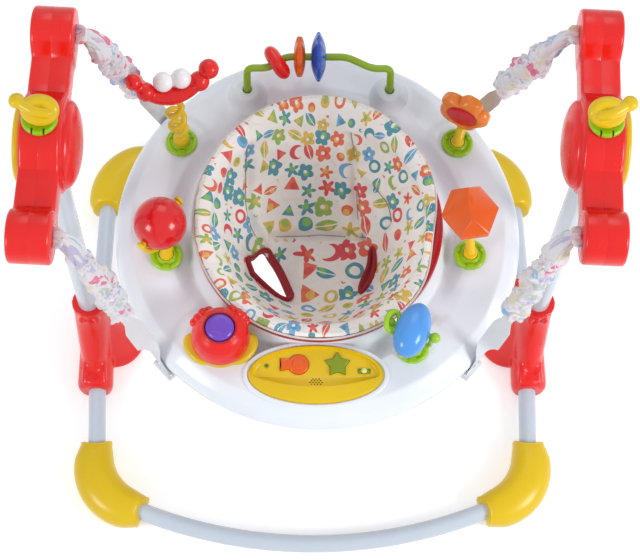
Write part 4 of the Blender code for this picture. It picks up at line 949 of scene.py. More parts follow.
def ball(radius: float, tall: Optional[float] = None, count: int = 32, steps: int = 16) -> Skin:
    """A closed ellipsoid of revolution.

    Args:
        radius: Radius in plan.
        tall: Half the height, where it differs.
        count: Points round it.
        steps: Steps from pole to pole.

    Returns:
        The closed skin.
    """
    tall = tall or radius
    turns = [math.pi * i / steps - math.pi / 2 for i in range(1, steps)]
    body = [(radius * math.cos(t), tall * math.sin(t)) for t in turns]
    return turned([(0.0, -tall), *body, (0.0, tall)], count)


def aim(direction: Sequence[float], origin: Sequence[float] = (0.0, 0.0, 0.0), roll: float = 0.0) -> Matrix:
    """A matrix that sends +Z along a direction and the origin to a point."""
    turn = Vector(direction).normalized().to_track_quat("Z", "Y").to_matrix().to_4x4()
    return Matrix.Translation(origin) @ turn @ Matrix.Rotation(roll, 4, "Z")


def shift(*place: float) -> Matrix:
    """A matrix that moves by x, y and z."""
    return Matrix.Translation(place)


def path_frames(path: Sequence[Vector], up: Optional[Vector]) -> list[tuple[Vector, Vector, Vector, Vector]]:
    """The point, side, up and along directions at each point of a path.

    Args:
        path: The points.
        up: Direction that up stays close to.

    Returns:
        Point, side, up and along for each point of the path.
    """
    frames = []
    side: Optional[Vector] = None
    for i, point in enumerate(path):
        along = (path[min(i + 1, len(path) - 1)] - path[max(i - 1, 0)]).normalized()
        if up is not None:
            side = along.cross(up).normalized()
        elif side is None:
            start = Vector((0, 1, 0)) if abs(along.y) < 0.8 else Vector((1, 0, 0))
            side = along.cross(start).normalized()
        else:
            side = (side - along * side.dot(along)).normalized()
        frames.append((point, side, side.cross(along), along))
    return frames


def sweep(path: Sequence[Vector], outline: Outline, up: Optional[Vector] = None) -> list[Ring]:
    """Rings along a path.

    Args:
        path: Points of the path.
        outline: Gives side, up and along offsets for a share of the path's length.
        up: A direction that the outline keeps to.

    Returns:
        One ring for each point.
    """
    last = len(path) - 1
    return [[point + side * a + over * b + along * c for a, b, c in outline(i / last)]
            for i, (point, side, over, along) in enumerate(path_frames(path, up))]


def rod(path: Sequence[Vector], radius: Union[float, Callable[[float], float]], count: int = 20,
        up: Optional[Vector] = None, soft: bool = False) -> Skin:
    """A solid round rod along a path.

    Args:
        path: Points of the path.
        radius: The radius, or a function of the share of length.
        count: Sides.
        up: A direction that the sides keep to.
        soft: Whether the ends are domed.

    Returns:
        The closed skin.
    """
    def outline(share: float) -> list[tuple[float, float, float]]:
        """Points round the rod at a share of its length."""
        size = radius(share) if callable(radius) else radius
        return [(size * math.cos(a), size * math.sin(a), 0.0) for a in full_turn(count, 0.5)]

    rings = sweep(path, outline, up)
    if soft:
        for end, ahead in ((0, path[0] - path[1]), (-1, path[-1] - path[-2])):
            centre, rim = path[end], rings[end]
            size = (rim[0] - centre).length
            extra = [[centre + (p - centre) * math.cos(t) + ahead.normalized() * size * math.sin(t)
                      for p in rim]
                     for t in (math.pi / 8, math.pi / 4, math.pi * 3 / 8)]
            extra.append([centre + ahead.normalized() * size])
            rings = extra[::-1] + rings if end == 0 else rings + extra
    return loft(rings)


def hoop(points: Sequence[Vector], radius: float, count: int = 16, up: Vector = UP,
         flat: float = 1.0) -> Skin:
    """A round rod along a closed loop of points; flat squeezes it along up.

    Args:
        points: The closed loop.
        radius: The rod's radius.
        count: Points round the rod.
        up: Direction that up stays close to.
        flat: Share of the radius along up.

    Returns:
        The closed skin.
    """
    rings = []
    total = len(points)
    for i, point in enumerate(points):
        along = (points[(i + 1) % total] - points[i - 1]).normalized()
        side = along.cross(up).normalized()
        over = side.cross(along)
        rings.append([point + side * radius * math.cos(a) + over * radius * flat * math.sin(a)
                      for a in full_turn(count)])
    return loft(rings, closed=True)


def prism(outline: Sequence[Sequence[float]], low: float, high: float, edge: float = 0.0) -> Skin:
    """A closed plate over a level outline, with its upper edge eased by a width.

    Args:
        outline: Points of the plate in plan, in order.
        low: Height of its underside.
        high: Height of its top.
        edge: Width of the eased edge.

    Returns:
        The closed skin.
    """
    centre = Vector((sum(p[0] for p in outline) / len(outline), sum(p[1] for p in outline) / len(outline)))
    rings = [[Vector((p[0], p[1], low)) for p in outline]]
    steps = 4 if edge else 0
    for i in range(steps + 1):
        t = math.pi / 2 * i / max(1, steps)
        inset, drop = edge * (1 - math.cos(t)), edge * (1 - math.sin(t))
        ring = []
        for p in outline:
            away = Vector((p[0], p[1])) - centre
            spot = centre + away * (1 - inset / max(edge, away.length))
            ring.append(Vector((spot.x, spot.y, high - drop)))
        rings.append(ring)
    return loft(rings)


# The workshop


@dataclass
class Workshop:
    """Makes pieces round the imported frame, with one material for each finish."""

    frame: dict[str, object]
    finishes: dict[str, object]
    made: int = 0
    materials: dict[str, bpy.types.Material] = field(default_factory=dict)

    def material(self, finish: str) -> bpy.types.Material:
        """The material of a finish, made when it is first asked for.

        Args:
            finish: The finish's name.

        Returns:
            The material.
        """
        if finish not in self.materials:
            self.materials[finish] = self.finishes[finish].build(finish)
        return self.materials[finish]

    def piece(self, name: str, skin: Union[Skin, bpy.types.Mesh], finish: str, body: str, *nodes: str,
              sharp: float = 38.0, slot: Optional[str] = None) -> bpy.types.Object:
        """Make one piece and tie it to the frame.

        Args:
            name: The piece's name.
            skin: Its skin, measured from the line between the posts, or a ready mesh.
            finish: The finish that it shows.
            body: The body that it rides on.
            nodes: The solids that it stands for.
            sharp: Angle in degrees above which an edge stays sharp.
            slot: The record's slot, where the finish isn't one.

        Returns:
            The object.
        """
        mesh = skin.mesh(name) if isinstance(skin, Skin) else skin
        mesh.transform(Matrix.Translation(POST_LINE))
        mesh.shade_smooth()
        mesh.set_sharp_from_angle(angle=math.radians(sharp))
        mesh.materials.clear()
        mesh.materials.append(self.material(finish))
        obj = shown(name, mesh)
        if body:
            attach(obj, body)
        if nodes:
            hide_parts(*nodes)
        self.made += 1
        LOG.info("made %s: %d faces on %s", name, len(mesh.polygons), body or "two bodies")
        return obj

    def dress(self, finish: str, *nodes: str) -> None:
        """Give solids that stay in view a finish.

        Args:
            finish: The finish's name.
            nodes: The nodes of the solids.
        """
        for node in nodes:
            for slot in self.frame["nodes"][node].material_slots:
                slot.material = self.material(finish)
            LOG.info("dressed %s in %s", node, finish)

    def resharpen(self, obj: bpy.types.Object, sharp: float) -> None:
        """Set smooth and sharp edges again after a cut."""
        obj.data.shade_smooth()
        obj.data.set_sharp_from_angle(angle=math.radians(sharp))

    def carve(self, obj: bpy.types.Object, sharp: float, *skins: Skin) -> None:
        """Take closed skins out of a piece that is in place and sharpen it again.

        Args:
            obj: The piece.
            sharp: Angle in degrees above which an edge is sharp.
            skins: The skins to take out, placed from the line between the posts.
        """
        for skin in skins:
            self.cut(obj, skin.at(POST_LINE))
        self.resharpen(obj, sharp)

    def bore_ends(self, obj: bpy.types.Object, centre: Vector, axle: Vector, radius: float,
                  bore: float) -> None:
        """Bore blind axle holes into both ends of a turning toy.

        Args:
            obj: The toy.
            centre: The toy's middle.
            axle: Direction of the axle.
            radius: The toy's radius along the axle.
            bore: Radius of the holes.
        """
        self.carve(obj, 50.0,
                   *[rod([centre + axle * sign * (radius + 0.01), centre + axle * sign * (radius - 0.0065)],
                         bore, 24) for sign in (-1, 1)])

    def settle(self, obj: bpy.types.Object) -> None:
        """Apply the modifiers of an object.

        Args:
            obj: The object.
        """
        graph = bpy.context.evaluated_depsgraph_get()
        mesh = bpy.data.meshes.new_from_object(obj.evaluated_get(graph))
        obj.modifiers.clear()
        old, obj.data = obj.data, mesh
        bpy.data.meshes.remove(old)

    def melted(self, skin: Skin, voxel: float, rounds: int) -> bpy.types.Mesh:
        """Run overlapping skins together into one moulding.

        Args:
            skin: The overlapping closed skins.
            voxel: Size of the remesh.
            rounds: Smoothing rounds.

        Returns:
            The finished mesh.
        """
        obj = shown("melt", skin.mesh("melt"))
        self.calm(obj, voxel, 0.5, rounds)
        mesh = obj.data
        bpy.data.objects.remove(obj)
        return mesh

    def calm(self, obj: bpy.types.Object, voxel: float, factor: float, rounds: int) -> None:
        """Remesh an object evenly and smooth it.

        Args:
            obj: The object.
            voxel: Size of the remesh.
            factor: How far each smoothing round moves a point.
            rounds: Smoothing rounds.
        """
        melt = obj.modifiers.new("Melt", "REMESH")
        melt.mode = "VOXEL"
        melt.voxel_size = voxel
        smooth = obj.modifiers.new("Calm", "SMOOTH")
        smooth.factor = factor
        smooth.iterations = rounds
        self.settle(obj)

    def cut(self, obj: bpy.types.Object, skin: Skin) -> None:
        """Take a closed skin out of an object.

        Args:
            obj: The object.
            skin: The closed skin, placed as the object is.
        """
        tool = shown("tool", skin.mesh("tool"))
        step = obj.modifiers.new("Cut", "BOOLEAN")
        step.operation = "DIFFERENCE"
        step.solver = "EXACT"
        step.object = tool
        self.settle(obj)
        data = tool.data
        bpy.data.objects.remove(tool)
        bpy.data.meshes.remove(data)


# Base, uprights, beams and straps


@dataclass
class BaseRail:
    """One bent base tube with its two plump corner feet."""

    end: End
    reach: float
    foot_start: float
    foot_swell: float
    span: float = 0.3685
    tube_radius: float = 0.0145
    height: float = 0.026
    bow_radius: float = 0.760
    lean: float = math.radians(2.0)
    corner_radius: float = 0.090
    foot_span: float = 0.282
    foot_width: float = 0.0240
    inner_swell: float = 0.0060
    foot_height: float = 0.048
    crown: float = 0.010
    prong: float = 0.0085
    hidden: float = 0.0483

    def on_straight(self, distance: float) -> Vector:
        """A point on the tube's straight part, at a distance from the post."""
        return Vector((self.span - math.sin(self.lean) * distance, -math.cos(self.lean) * distance,
                       self.height))

    def on_bow(self, start: float, end: float, steps: int) -> Ring:
        """Points along the wide bow, without the first.

        Args:
            start: Direction from the bow's centre at which it begins.
            end: Direction at which it ends.
            steps: Count of points.

        Returns:
            The points.
        """
        centre = Vector((0.0, self.bow_radius - self.reach, self.height))
        angles = [start + (end - start) * i / steps for i in range(1, steps + 1)]
        return [centre + self.bow_radius * Vector((math.cos(a), math.sin(a), 0.0)) for a in angles]

    def corner(self) -> Ring:
        """The centreline inside one foot, from the straight part onto the bow.

        Returns:
            The points.
        """
        centre = Vector((0.0, self.bow_radius - self.reach, self.height))
        along = Vector((-math.sin(self.lean), -math.cos(self.lean), 0.0))
        inward = Vector((-math.cos(self.lean), math.sin(self.lean), 0.0))
        first = self.on_straight(self.foot_start)
        offset = first + inward * self.corner_radius - centre
        lead = offset.dot(along)
        run = math.sqrt(lead ** 2 - offset.dot(offset) + (self.bow_radius - self.corner_radius) ** 2) - lead
        middle = first + along * run + inward * self.corner_radius
        start = math.atan2(-inward.y, -inward.x)
        outward = (middle - centre).normalized()
        end = math.atan2(outward.y, outward.x)
        points = [first + along * run * i / 8 for i in range(9)]
        for i in range(1, 21):
            a = start + (end - start) * i / 20
            points.append(middle + self.corner_radius * Vector((math.cos(a), math.sin(a), 0.0)))
        return points + self.on_bow(end, -math.acos(self.foot_span / self.bow_radius), 10)

    def mirrored(self, points: Sequence[Vector], sign: int) -> Ring:
        """Points flipped to one side and to this rail's end."""
        return [Vector((p.x * sign, -p.y * self.end.value, p.z)) for p in points]

    def tube(self) -> Skin:
        """The whole bent tube.

        Returns:
            The skin.
        """
        bow = self.on_bow(-math.acos(self.foot_span / self.bow_radius), -math.pi / 2, 14)
        half = [self.on_straight(self.hidden)] + self.corner() + bow
        path = self.mirrored(half, 1) + self.mirrored(half[:-1], -1)[::-1]
        return rod(path, self.tube_radius, 32, UP)

    def foot(self, sign: int) -> Skin:
        """A plump elbow, flat underneath, with a rolled and notched mouth at each end.

        Args:
            sign: 1 for the right, -1 for the left.

        Returns:
            The closed skin.
        """
        path = self.mirrored(self.corner(), sign)
        inside = -sign * self.end.value
        count = 56
        angles = full_turn(count, 0.5)
        last = len(path) - 1
        # The path is crowded towards its ends, where the mouths are rolled.
        crowd = [0.5 - 0.5 * math.cos(math.pi * i / 71) for i in range(72)]
        line = []
        for share in crowd:
            spot = share * last
            low = min(int(spot), last - 1)
            line.append(path[low].lerp(path[low + 1], spot - low))

        def reach_out(share: float, angle: float) -> float:
            """How far the mouth reaches along the tube at an angle.

            Args:
                share: Share of the foot's length.
                angle: Direction round the tube.

            Returns:
                The distance.
            """
            near = 1.0 - min(share, 1.0 - share) / 0.16
            ahead = -1.0 if share < 0.5 else 1.0
            tongue = 0.5 + 0.5 * math.cos(2 * angle)
            return ahead * self.prong * max(0.0, near) ** 1.5 * (tongue - 0.75)

        def outer(share: float) -> list[tuple[float, float, float]]:
            """The foot's outside at a share of its length.

            Args:
                share: Share of the foot's length.

            Returns:
                Side, up and along offsets of its points.
            """
            place = crowd[min(71, round(share * 71))]
            swell = math.sin(math.pi * place) ** 0.85
            edge = min(place, 1.0 - place) * last
            roll = 1.0 - 0.16 * max(0.0, 1.0 - edge / 0.16) ** 2
            lip = 1.0 + 0.05 * math.exp(-((edge - 0.55) / 0.45) ** 2)
            points = []
            for a in angles:
                bulge = self.inner_swell if math.cos(a) * inside > 0 else self.foot_swell
                wide = (self.foot_width + bulge * swell) * roll * lip
                tall = (self.foot_height + self.crown * swell - self.height) * roll * lip
                c, s = math.cos(a), math.sin(a)
                x = wide * math.copysign(abs(c) ** 0.86, c)
                z = tall * s ** 0.9 if s > 0 else -self.height * min(1.0, -1.7 * s)
                points.append((x, z, reach_out(place, a)))
            return points

        rings = sweep(line, outer, UP)
        bore = [[self._shrunk(p, c, 0.66) for p in ring]
                for ring, c in ((rings[0], line[0]), (rings[-1], line[-1]))]
        return loft([bore[0]] + rings + [bore[1]])

    @staticmethod
    def _shrunk(point: Vector, centre: Vector, share: float) -> Vector:
        """A point drawn in towards a centre."""
        return centre + (point - centre) * share

    def make(self, shop: Workshop) -> None:
        """Build the tube and both feet.

        Args:
            shop: The workshop that makes the pieces.
        """
        label = self.end.label
        shop.piece(f"rail_{label}", self.tube(), "tube_paint", "frame", f"base_{label}_tube")
        for side in Side:
            shop.piece(f"corner_{label}_{side.label}", self.foot(side.value), "yellow_plastic", "frame",
                       f"foot_{label}_{side.label}", sharp=50.0)


@dataclass
class Upright:
    """A base hub and the post that stands in it."""

    side: Side
    span: float = 0.3685
    height: float = 0.186
    half_length: float = 0.100
    half_width: float = 0.0300
    barrel: float = 0.058
    tube_height: float = 0.026
    collar: float = 0.0245
    skirt_reach: float = 0.078
    skirt_half: float = 0.050
    skirt_rise: float = 0.140
    skirt_edge: float = 0.012
    post_radius: float = 0.0172
    post_low: float = 0.1063
    post_top: float = 0.790

    def riser(self) -> Skin:
        """The waisted body from the floor up to the collar.

        Returns:
            The skin.
        """
        rings = []
        for i in range(19):
            rise = i / 18
            wide = self.half_width * (0.90 + 0.07 * math.sin(math.pi * rise))
            deep = self.collar + (self.half_length * 0.93 - self.collar) * (1 + math.cos(math.pi * rise)) / 2
            rings.append(circle(wide, 40, 0.004 + (self.height - 0.030) * rise, deep))
        for lift, extra in ((-0.024, 0.0000), (-0.014, 0.0012), (-0.005, 0.0030), (-0.001, 0.0030),
                            (0.0, 0.0016)):
            rings.append(circle(self.collar + extra, 40, self.height + lift))
        return loft(rings)

    def barrel_skin(self) -> Skin:
        """The level barrel that takes both base tubes.

        Returns:
            The skin.
        """
        rings = []
        for y, ease in ((-1.0, 0.66), (-0.992, 0.78), (-0.97, 0.89), (-0.93, 0.97), (-0.86, 1.0),
                        (-0.5, 0.98), (0.0, 0.96), (0.5, 0.98), (0.86, 1.0), (0.93, 0.97), (0.97, 0.89),
                        (0.992, 0.78), (1.0, 0.66)):
            ring = []
            for a in full_turn(36):
                up = (self.barrel - self.tube_height) * math.sin(a) * ease
                down = -self.tube_height * min(1.0, -1.5 * math.sin(a))
                ring.append(Vector((self.half_width * math.cos(a) * ease, self.half_length * y,
                                    self.tube_height + (up if math.sin(a) > 0 else down))))
            rings.append(ring)
        return loft(rings)

    def skirt(self) -> Skin:
        """The fan-shaped skirt that spreads inwards under the tray.

        Returns:
            The skin.
        """
        sign = self.side.value
        reach = (self.skirt_reach + self.half_width * 0.9) / 2
        centre = (sign * (reach - self.skirt_reach), 0.0)
        rings = [circle(reach * 0.99, 48, 0.001, self.skirt_half * 0.99, centre),
                 circle(reach, 48, 0.003, self.skirt_half, centre),
                 circle(reach, 48, self.skirt_edge - 0.002, self.skirt_half, centre),
                 circle(reach * 0.975, 48, self.skirt_edge, self.skirt_half * 0.97, centre)]
        for i in range(1, 9):
            t = i / 8
            hollow = 1.0 - 0.05 * math.sin(math.pi * t)
            size = (reach * 0.94 + (self.half_width * 0.5 - reach * 0.94) * t) * hollow
            deep = (self.skirt_half * 0.94 + (self.half_width * 0.5 - self.skirt_half * 0.94) * t) * hollow
            drift = (centre[0] * (1 - t), 0.0)
            rings.append(circle(size, 48, self.skirt_edge - 0.001 + (self.skirt_rise - self.skirt_edge) * t,
                                deep, drift))
        return loft(rings)

    def ribs(self) -> Skin:
        """Long paired bosses on the barrel's ends and short ones under the collar.

        Returns:
            The skin.
        """
        skin = Skin()
        for y in (-1, 1):
            for x in (-1, 1):
                low = Vector((x * 0.0135, y * 0.090, self.barrel - 0.0105))
                high = Vector((x * 0.0120, y * 0.060, self.barrel - 0.0010))
                skin.join(rod([low, low.lerp(high, 0.5) + Vector((0, 0, 0.001)), high], 0.0078, 16,
                              soft=True))
                knob = Vector((x * 0.0125, y * (self.collar + 0.0005), self.height - 0.022))
                skin.join(ball(0.0052, 0.0085, count=16, steps=8).at(knob))
        return skin

    def make(self, shop: Workshop) -> None:
        """Build the hub and the post.

        Args:
            shop: The workshop that makes the pieces.
        """
        centre = shift(self.side.value * self.span, 0, 0)
        body = self.riser().join(self.barrel_skin(), self.skirt(), self.ribs())
        shop.piece(f"hub_shell_{self.side.label}", shop.melted(body.moved(centre), voxel=0.0022, rounds=5),
                   "red_plastic", "frame", f"hub_{self.side.label}", sharp=60.0)
        x = self.side.value * self.span
        tube = rod([Vector((x, 0, self.post_low)), Vector((x, 0, self.post_top))], self.post_radius, 40)
        shop.piece(f"upright_{self.side.label}", tube, "tube_paint", "frame", f"post_{self.side.label}")


@dataclass
class Beam:
    """A dog-bone beam on a post: two half shells, a cover plate, a socket and a teether."""

    side: Side
    span: float = 0.3685
    width: float = 0.0570
    neck_inset: float = 0.0015
    neck_half: float = 0.0205
    neck_height: float = 0.770
    drum_reach: float = 0.150
    drum_radius: float = 0.0360
    drum_height: float = 0.785
    hub_radius: float = 0.067
    hub_height: float = 0.754
    dome_radius: float = 0.060
    dome_rise: float = 0.0210
    plate_radius: float = 0.056
    plate_rise: float = 0.010
    twist: float = math.radians(-3.0)
    edge: float = 0.0050
    socket_radius: float = 0.0240
    socket_rise: float = 0.0066
    stem: float = 0.0075
    loop_radius: float = 0.0150
    loop_tube: float = 0.0078

    def place(self) -> Matrix:
        """The matrix that sets the beam on its post."""
        return shift(self.side.value * self.span, 0, 0) @ Matrix.Rotation(self.twist, 4, "Z")

    def outline(self, inset: float) -> list[tuple[float, float, float]]:
        """Side view of the beam as columns of y, upper and lower height.

        Args:
            inset: How far the outline is drawn in.

        Returns:
            The columns from the front tip to the rear tip.
        """
        drum, wheel, neck = self.drum_radius - inset, self.hub_radius - inset, self.neck_half - inset
        tip = self.drum_reach + drum
        shares = [math.sin(math.pi / 2 * i / 40) for i in range(41)]
        half = [s * tip for s in shares]
        columns = []
        for y in [-v for v in reversed(half[1:])] + half:
            high, low = [], []
            if abs(y) <= self.drum_reach:
                high.append(self.neck_height + neck)
                low.append(self.neck_height - neck)
            for cy, cz, radius in ((math.copysign(self.drum_reach, y), self.drum_height, drum),
                                   (0.0, self.hub_height, wheel)):
                if abs(y - cy) <= radius + 1e-7:
                    rise = math.sqrt(max(0.0, radius ** 2 - (y - cy) ** 2))
                    high.append(cz + rise)
                    low.append(cz - rise)
            columns.append((y, self._soft_peak(high), -self._soft_peak([-v for v in low])))
        return columns

    @staticmethod
    def _soft_peak(values: Sequence[float], ease: float = 0.0035) -> float:
        """The largest value, run smoothly into its neighbours where they are near."""
        top = max(values)
        return top + ease * math.log(sum(math.exp((v - top) / ease) for v in values)) * 0.8

    def face(self, y: float) -> float:
        """Distance of the side face from the beam's middle."""
        share = held((self.drum_reach - self.drum_radius - abs(y)) / 0.010 + 0.5)
        return self.width / 2 - self.neck_inset * smooth(share)

    def shell(self, sign: int) -> Skin:
        """One half shell with soft edges and a fine step at the joint.

        Args:
            sign: Which way the half faces along X.

        Returns:
            The closed skin.
        """
        rings = []
        depths = [(0.00012, 0.0), (0.00004, 0.0003)]
        for i in range(7):
            t = math.pi / 2 * i / 6
            depths.append((self.edge * (1 - math.cos(t)), -self.edge * (1 - math.sin(t))))
        for k, (inset, back) in enumerate(depths):
            columns = self.outline(inset)
            line = [(y, z) for y, z, _ in columns] + [(y, z) for y, _, z in reversed(columns[1:-1])]
            ring = []
            for y, z in line:
                x = (0.00004 + back if k < 2 else self.face(y) + back)
                ring.append(Vector((sign * x, y, z)))
            rings.append(ring)
        skin = loft(rings, caps=False)
        count = len(rings[0])
        half = count // 2
        for base in (0, (len(rings) - 1) * count):
            skin.faces.append((base, base + 1, base + count - 1))
            for i in range(1, half - 1):
                skin.faces.append((base + i, base + i + 1, base + count - i - 1, base + count - i))
            skin.faces.append((base + half - 1, base + half, base + half + 1))
        return skin

    def bulge(self) -> Skin:
        """The domed bulge on the inboard face, with a step round its foot.

        Returns:
            The skin.
        """
        profile = [(self.dome_radius + 0.0040, -0.004), (self.dome_radius + 0.0036, 0.0002),
                   (self.dome_radius + 0.0016, 0.0012), (self.dome_radius, 0.0020)]
        for i in range(15):
            t = math.pi / 2 * i / 14
            profile.append(((self.dome_radius - 0.0005) * math.cos(t) ** 0.9 if i < 14 else 0.0,
                            0.0024 + (self.dome_rise - 0.0024) * math.sin(t)))
        sign = -self.side.value
        face = self.width / 2 - self.neck_inset
        return turned(profile, 64).moved(aim((sign, 0, 0), (sign * face, 0, self.hub_height)))

    def drum_caps(self, sign: int) -> Skin:
        """A shallow raised disc on the flat side of each drum.

        Args:
            sign: Which flat side, -1 or 1 along x.

        Returns:
            The skin.
        """
        skin = Skin()
        for y in (-1, 1):
            disc = turned_soft([(0, -0.002), (0.0255, -0.002), (0.0255, 0.0010), (0.0, 0.0010)], 0.0008, 40)
            skin.join(disc.moved(aim((sign, 0, 0), (sign * (self.width / 2 - 0.0008), y * self.drum_reach,
                                                    self.drum_height))))
        return skin

    def plate(self) -> Skin:
        """The round cover plate on the outboard face.

        Returns:
            The skin.
        """
        profile = [(0.0, 0.0), (self.plate_radius, 0.0), (self.plate_radius, self.plate_rise * 0.75),
                   (self.plate_radius * 0.93, self.plate_rise),
                   (self.plate_radius * 0.80, self.plate_rise * 0.80),
                   (self.plate_radius * 0.42, self.plate_rise * 0.85),
                   (self.plate_radius * 0.36, self.plate_rise * 1.05), (0.0, self.plate_rise * 1.05)]
        sign = self.side.value
        face = self.width / 2 - self.neck_inset + GAP
        return turned_soft(profile, 0.0024, 64).moved(aim((sign, 0, 0), (sign * face, 0, self.hub_height)))

    def socket(self) -> Skin:
        """The toy socket on top: a ring with a dished middle and two rests.

        Returns:
            The skin.
        """
        r, h = self.socket_radius, self.socket_rise
        ring = turned_soft([(0.0, -0.007), (r - 0.002, -0.007), (r - 0.002, GAP), (r, GAP),
                            (r, h * 0.6), (r * 0.90, h), (r * 0.66, h * 0.9), (self.stem + 0.0010, h * 0.50),
                            (self.stem + 0.0010, -0.004), (0.0, -0.004)], 0.0016, 56)
        for sign in (-1, 1):
            ring.join(ball(0.0040, 0.0030, count=16, steps=8).at((sign * r * 0.66, r * 0.30, h * 0.80)))
        return ring.at((0, 0, self.hub_height + self.hub_radius))

    def socket_slots(self) -> Skin:
        """The cutter for the two slots beside the socket's front catch.

        Returns:
            The skin.
        """
        skin = Skin()
        for sign in (-1, 1):
            x, r = sign * 0.0078, self.socket_radius
            skin.join(prism([(x - 0.0013, -r * 1.05), (x + 0.0013, -r * 1.05), (x + 0.0013, -r * 0.62),
                             (x - 0.0013, -r * 0.62)], -0.0055, 0.020))
        return skin.at((0, 0, self.hub_height + self.hub_radius))

    def teether(self) -> Skin:
        """A thick knotted loop on its stem, with an arm that ends in a ball.

        Returns:
            The skin.
        """
        sign = self.side.value
        skin = rod(curve([Vector((0, 0, -0.0045)), Vector((0, 0, 0.004)), Vector((0, -0.002, 0.012)),
                          Vector((0, -0.003, 0.020))], 5),
                   lambda t: self.stem * (1.0 + 0.75 * max(0.0, t - 0.35)), 24)
        skin.join(turned_soft([(0.0, 0.0042), (0.0130, 0.0042), (0.0136, 0.0075), (0.0105, 0.0150),
                               (0.0, 0.0170)],
                              0.003, 32))
        loop = []
        for a in full_turn(44):
            loop.append(Vector((self.loop_radius * 1.12 * math.cos(a) - sign * 0.0035,
                                self.loop_radius * 0.62 * math.sin(a), 0.0265 + 0.0085 * math.sin(a))))
        skin.join(hoop(loop, self.loop_tube * 1.10, 20))
        knob = Vector((sign * 0.0255, 0.0085, 0.0350))
        start = Vector((-sign * 0.0125, -0.0060, 0.0290))
        skin.join(rod(curve([start, Vector((sign * 0.003, -0.0050, 0.0335)), knob], 6),
                      self.loop_tube * 0.95, 20, soft=True))
        skin.join(ball(self.loop_tube * 1.38, self.loop_tube * 1.15).at(knob))
        return skin.at((sign * self.span, 0, self.hub_height + self.hub_radius))

    def make(self, shop: Workshop) -> None:
        """Build the beam and what it carries.

        Args:
            shop: The workshop that makes the pieces.
        """
        sign, label, place = self.side.value, self.side.label, self.place()
        inner = self.shell(-sign).join(self.bulge(), self.drum_caps(-sign))
        outer = self.shell(sign).join(self.drum_caps(sign))
        shop.piece(f"beam_inner_{label}", inner.moved(place), "red_plastic", "frame", f"beam_{label}_inner",
                   sharp=32.0)
        shop.piece(f"beam_outer_{label}", outer.moved(place), "red_plastic", "frame", f"beam_{label}_outer",
                   sharp=32.0)
        shop.piece(f"cover_{label}", self.plate().moved(place), "yellow_plastic", "frame",
                   f"beam_{label}_plate")
        ring = shop.piece(f"top_socket_{label}", self.socket().moved(place), "green_plastic", "frame",
                          f"beam_{label}_socket")
        shop.carve(ring, 42.0, self.socket_slots().moved(place))
        shop.piece(f"loop_teether_{label}", shop.melted(self.teether(), voxel=0.0009, rounds=6),
                   "yellow_plastic", f"teether_{label}", f"teether_{label}", sharp=60.0)


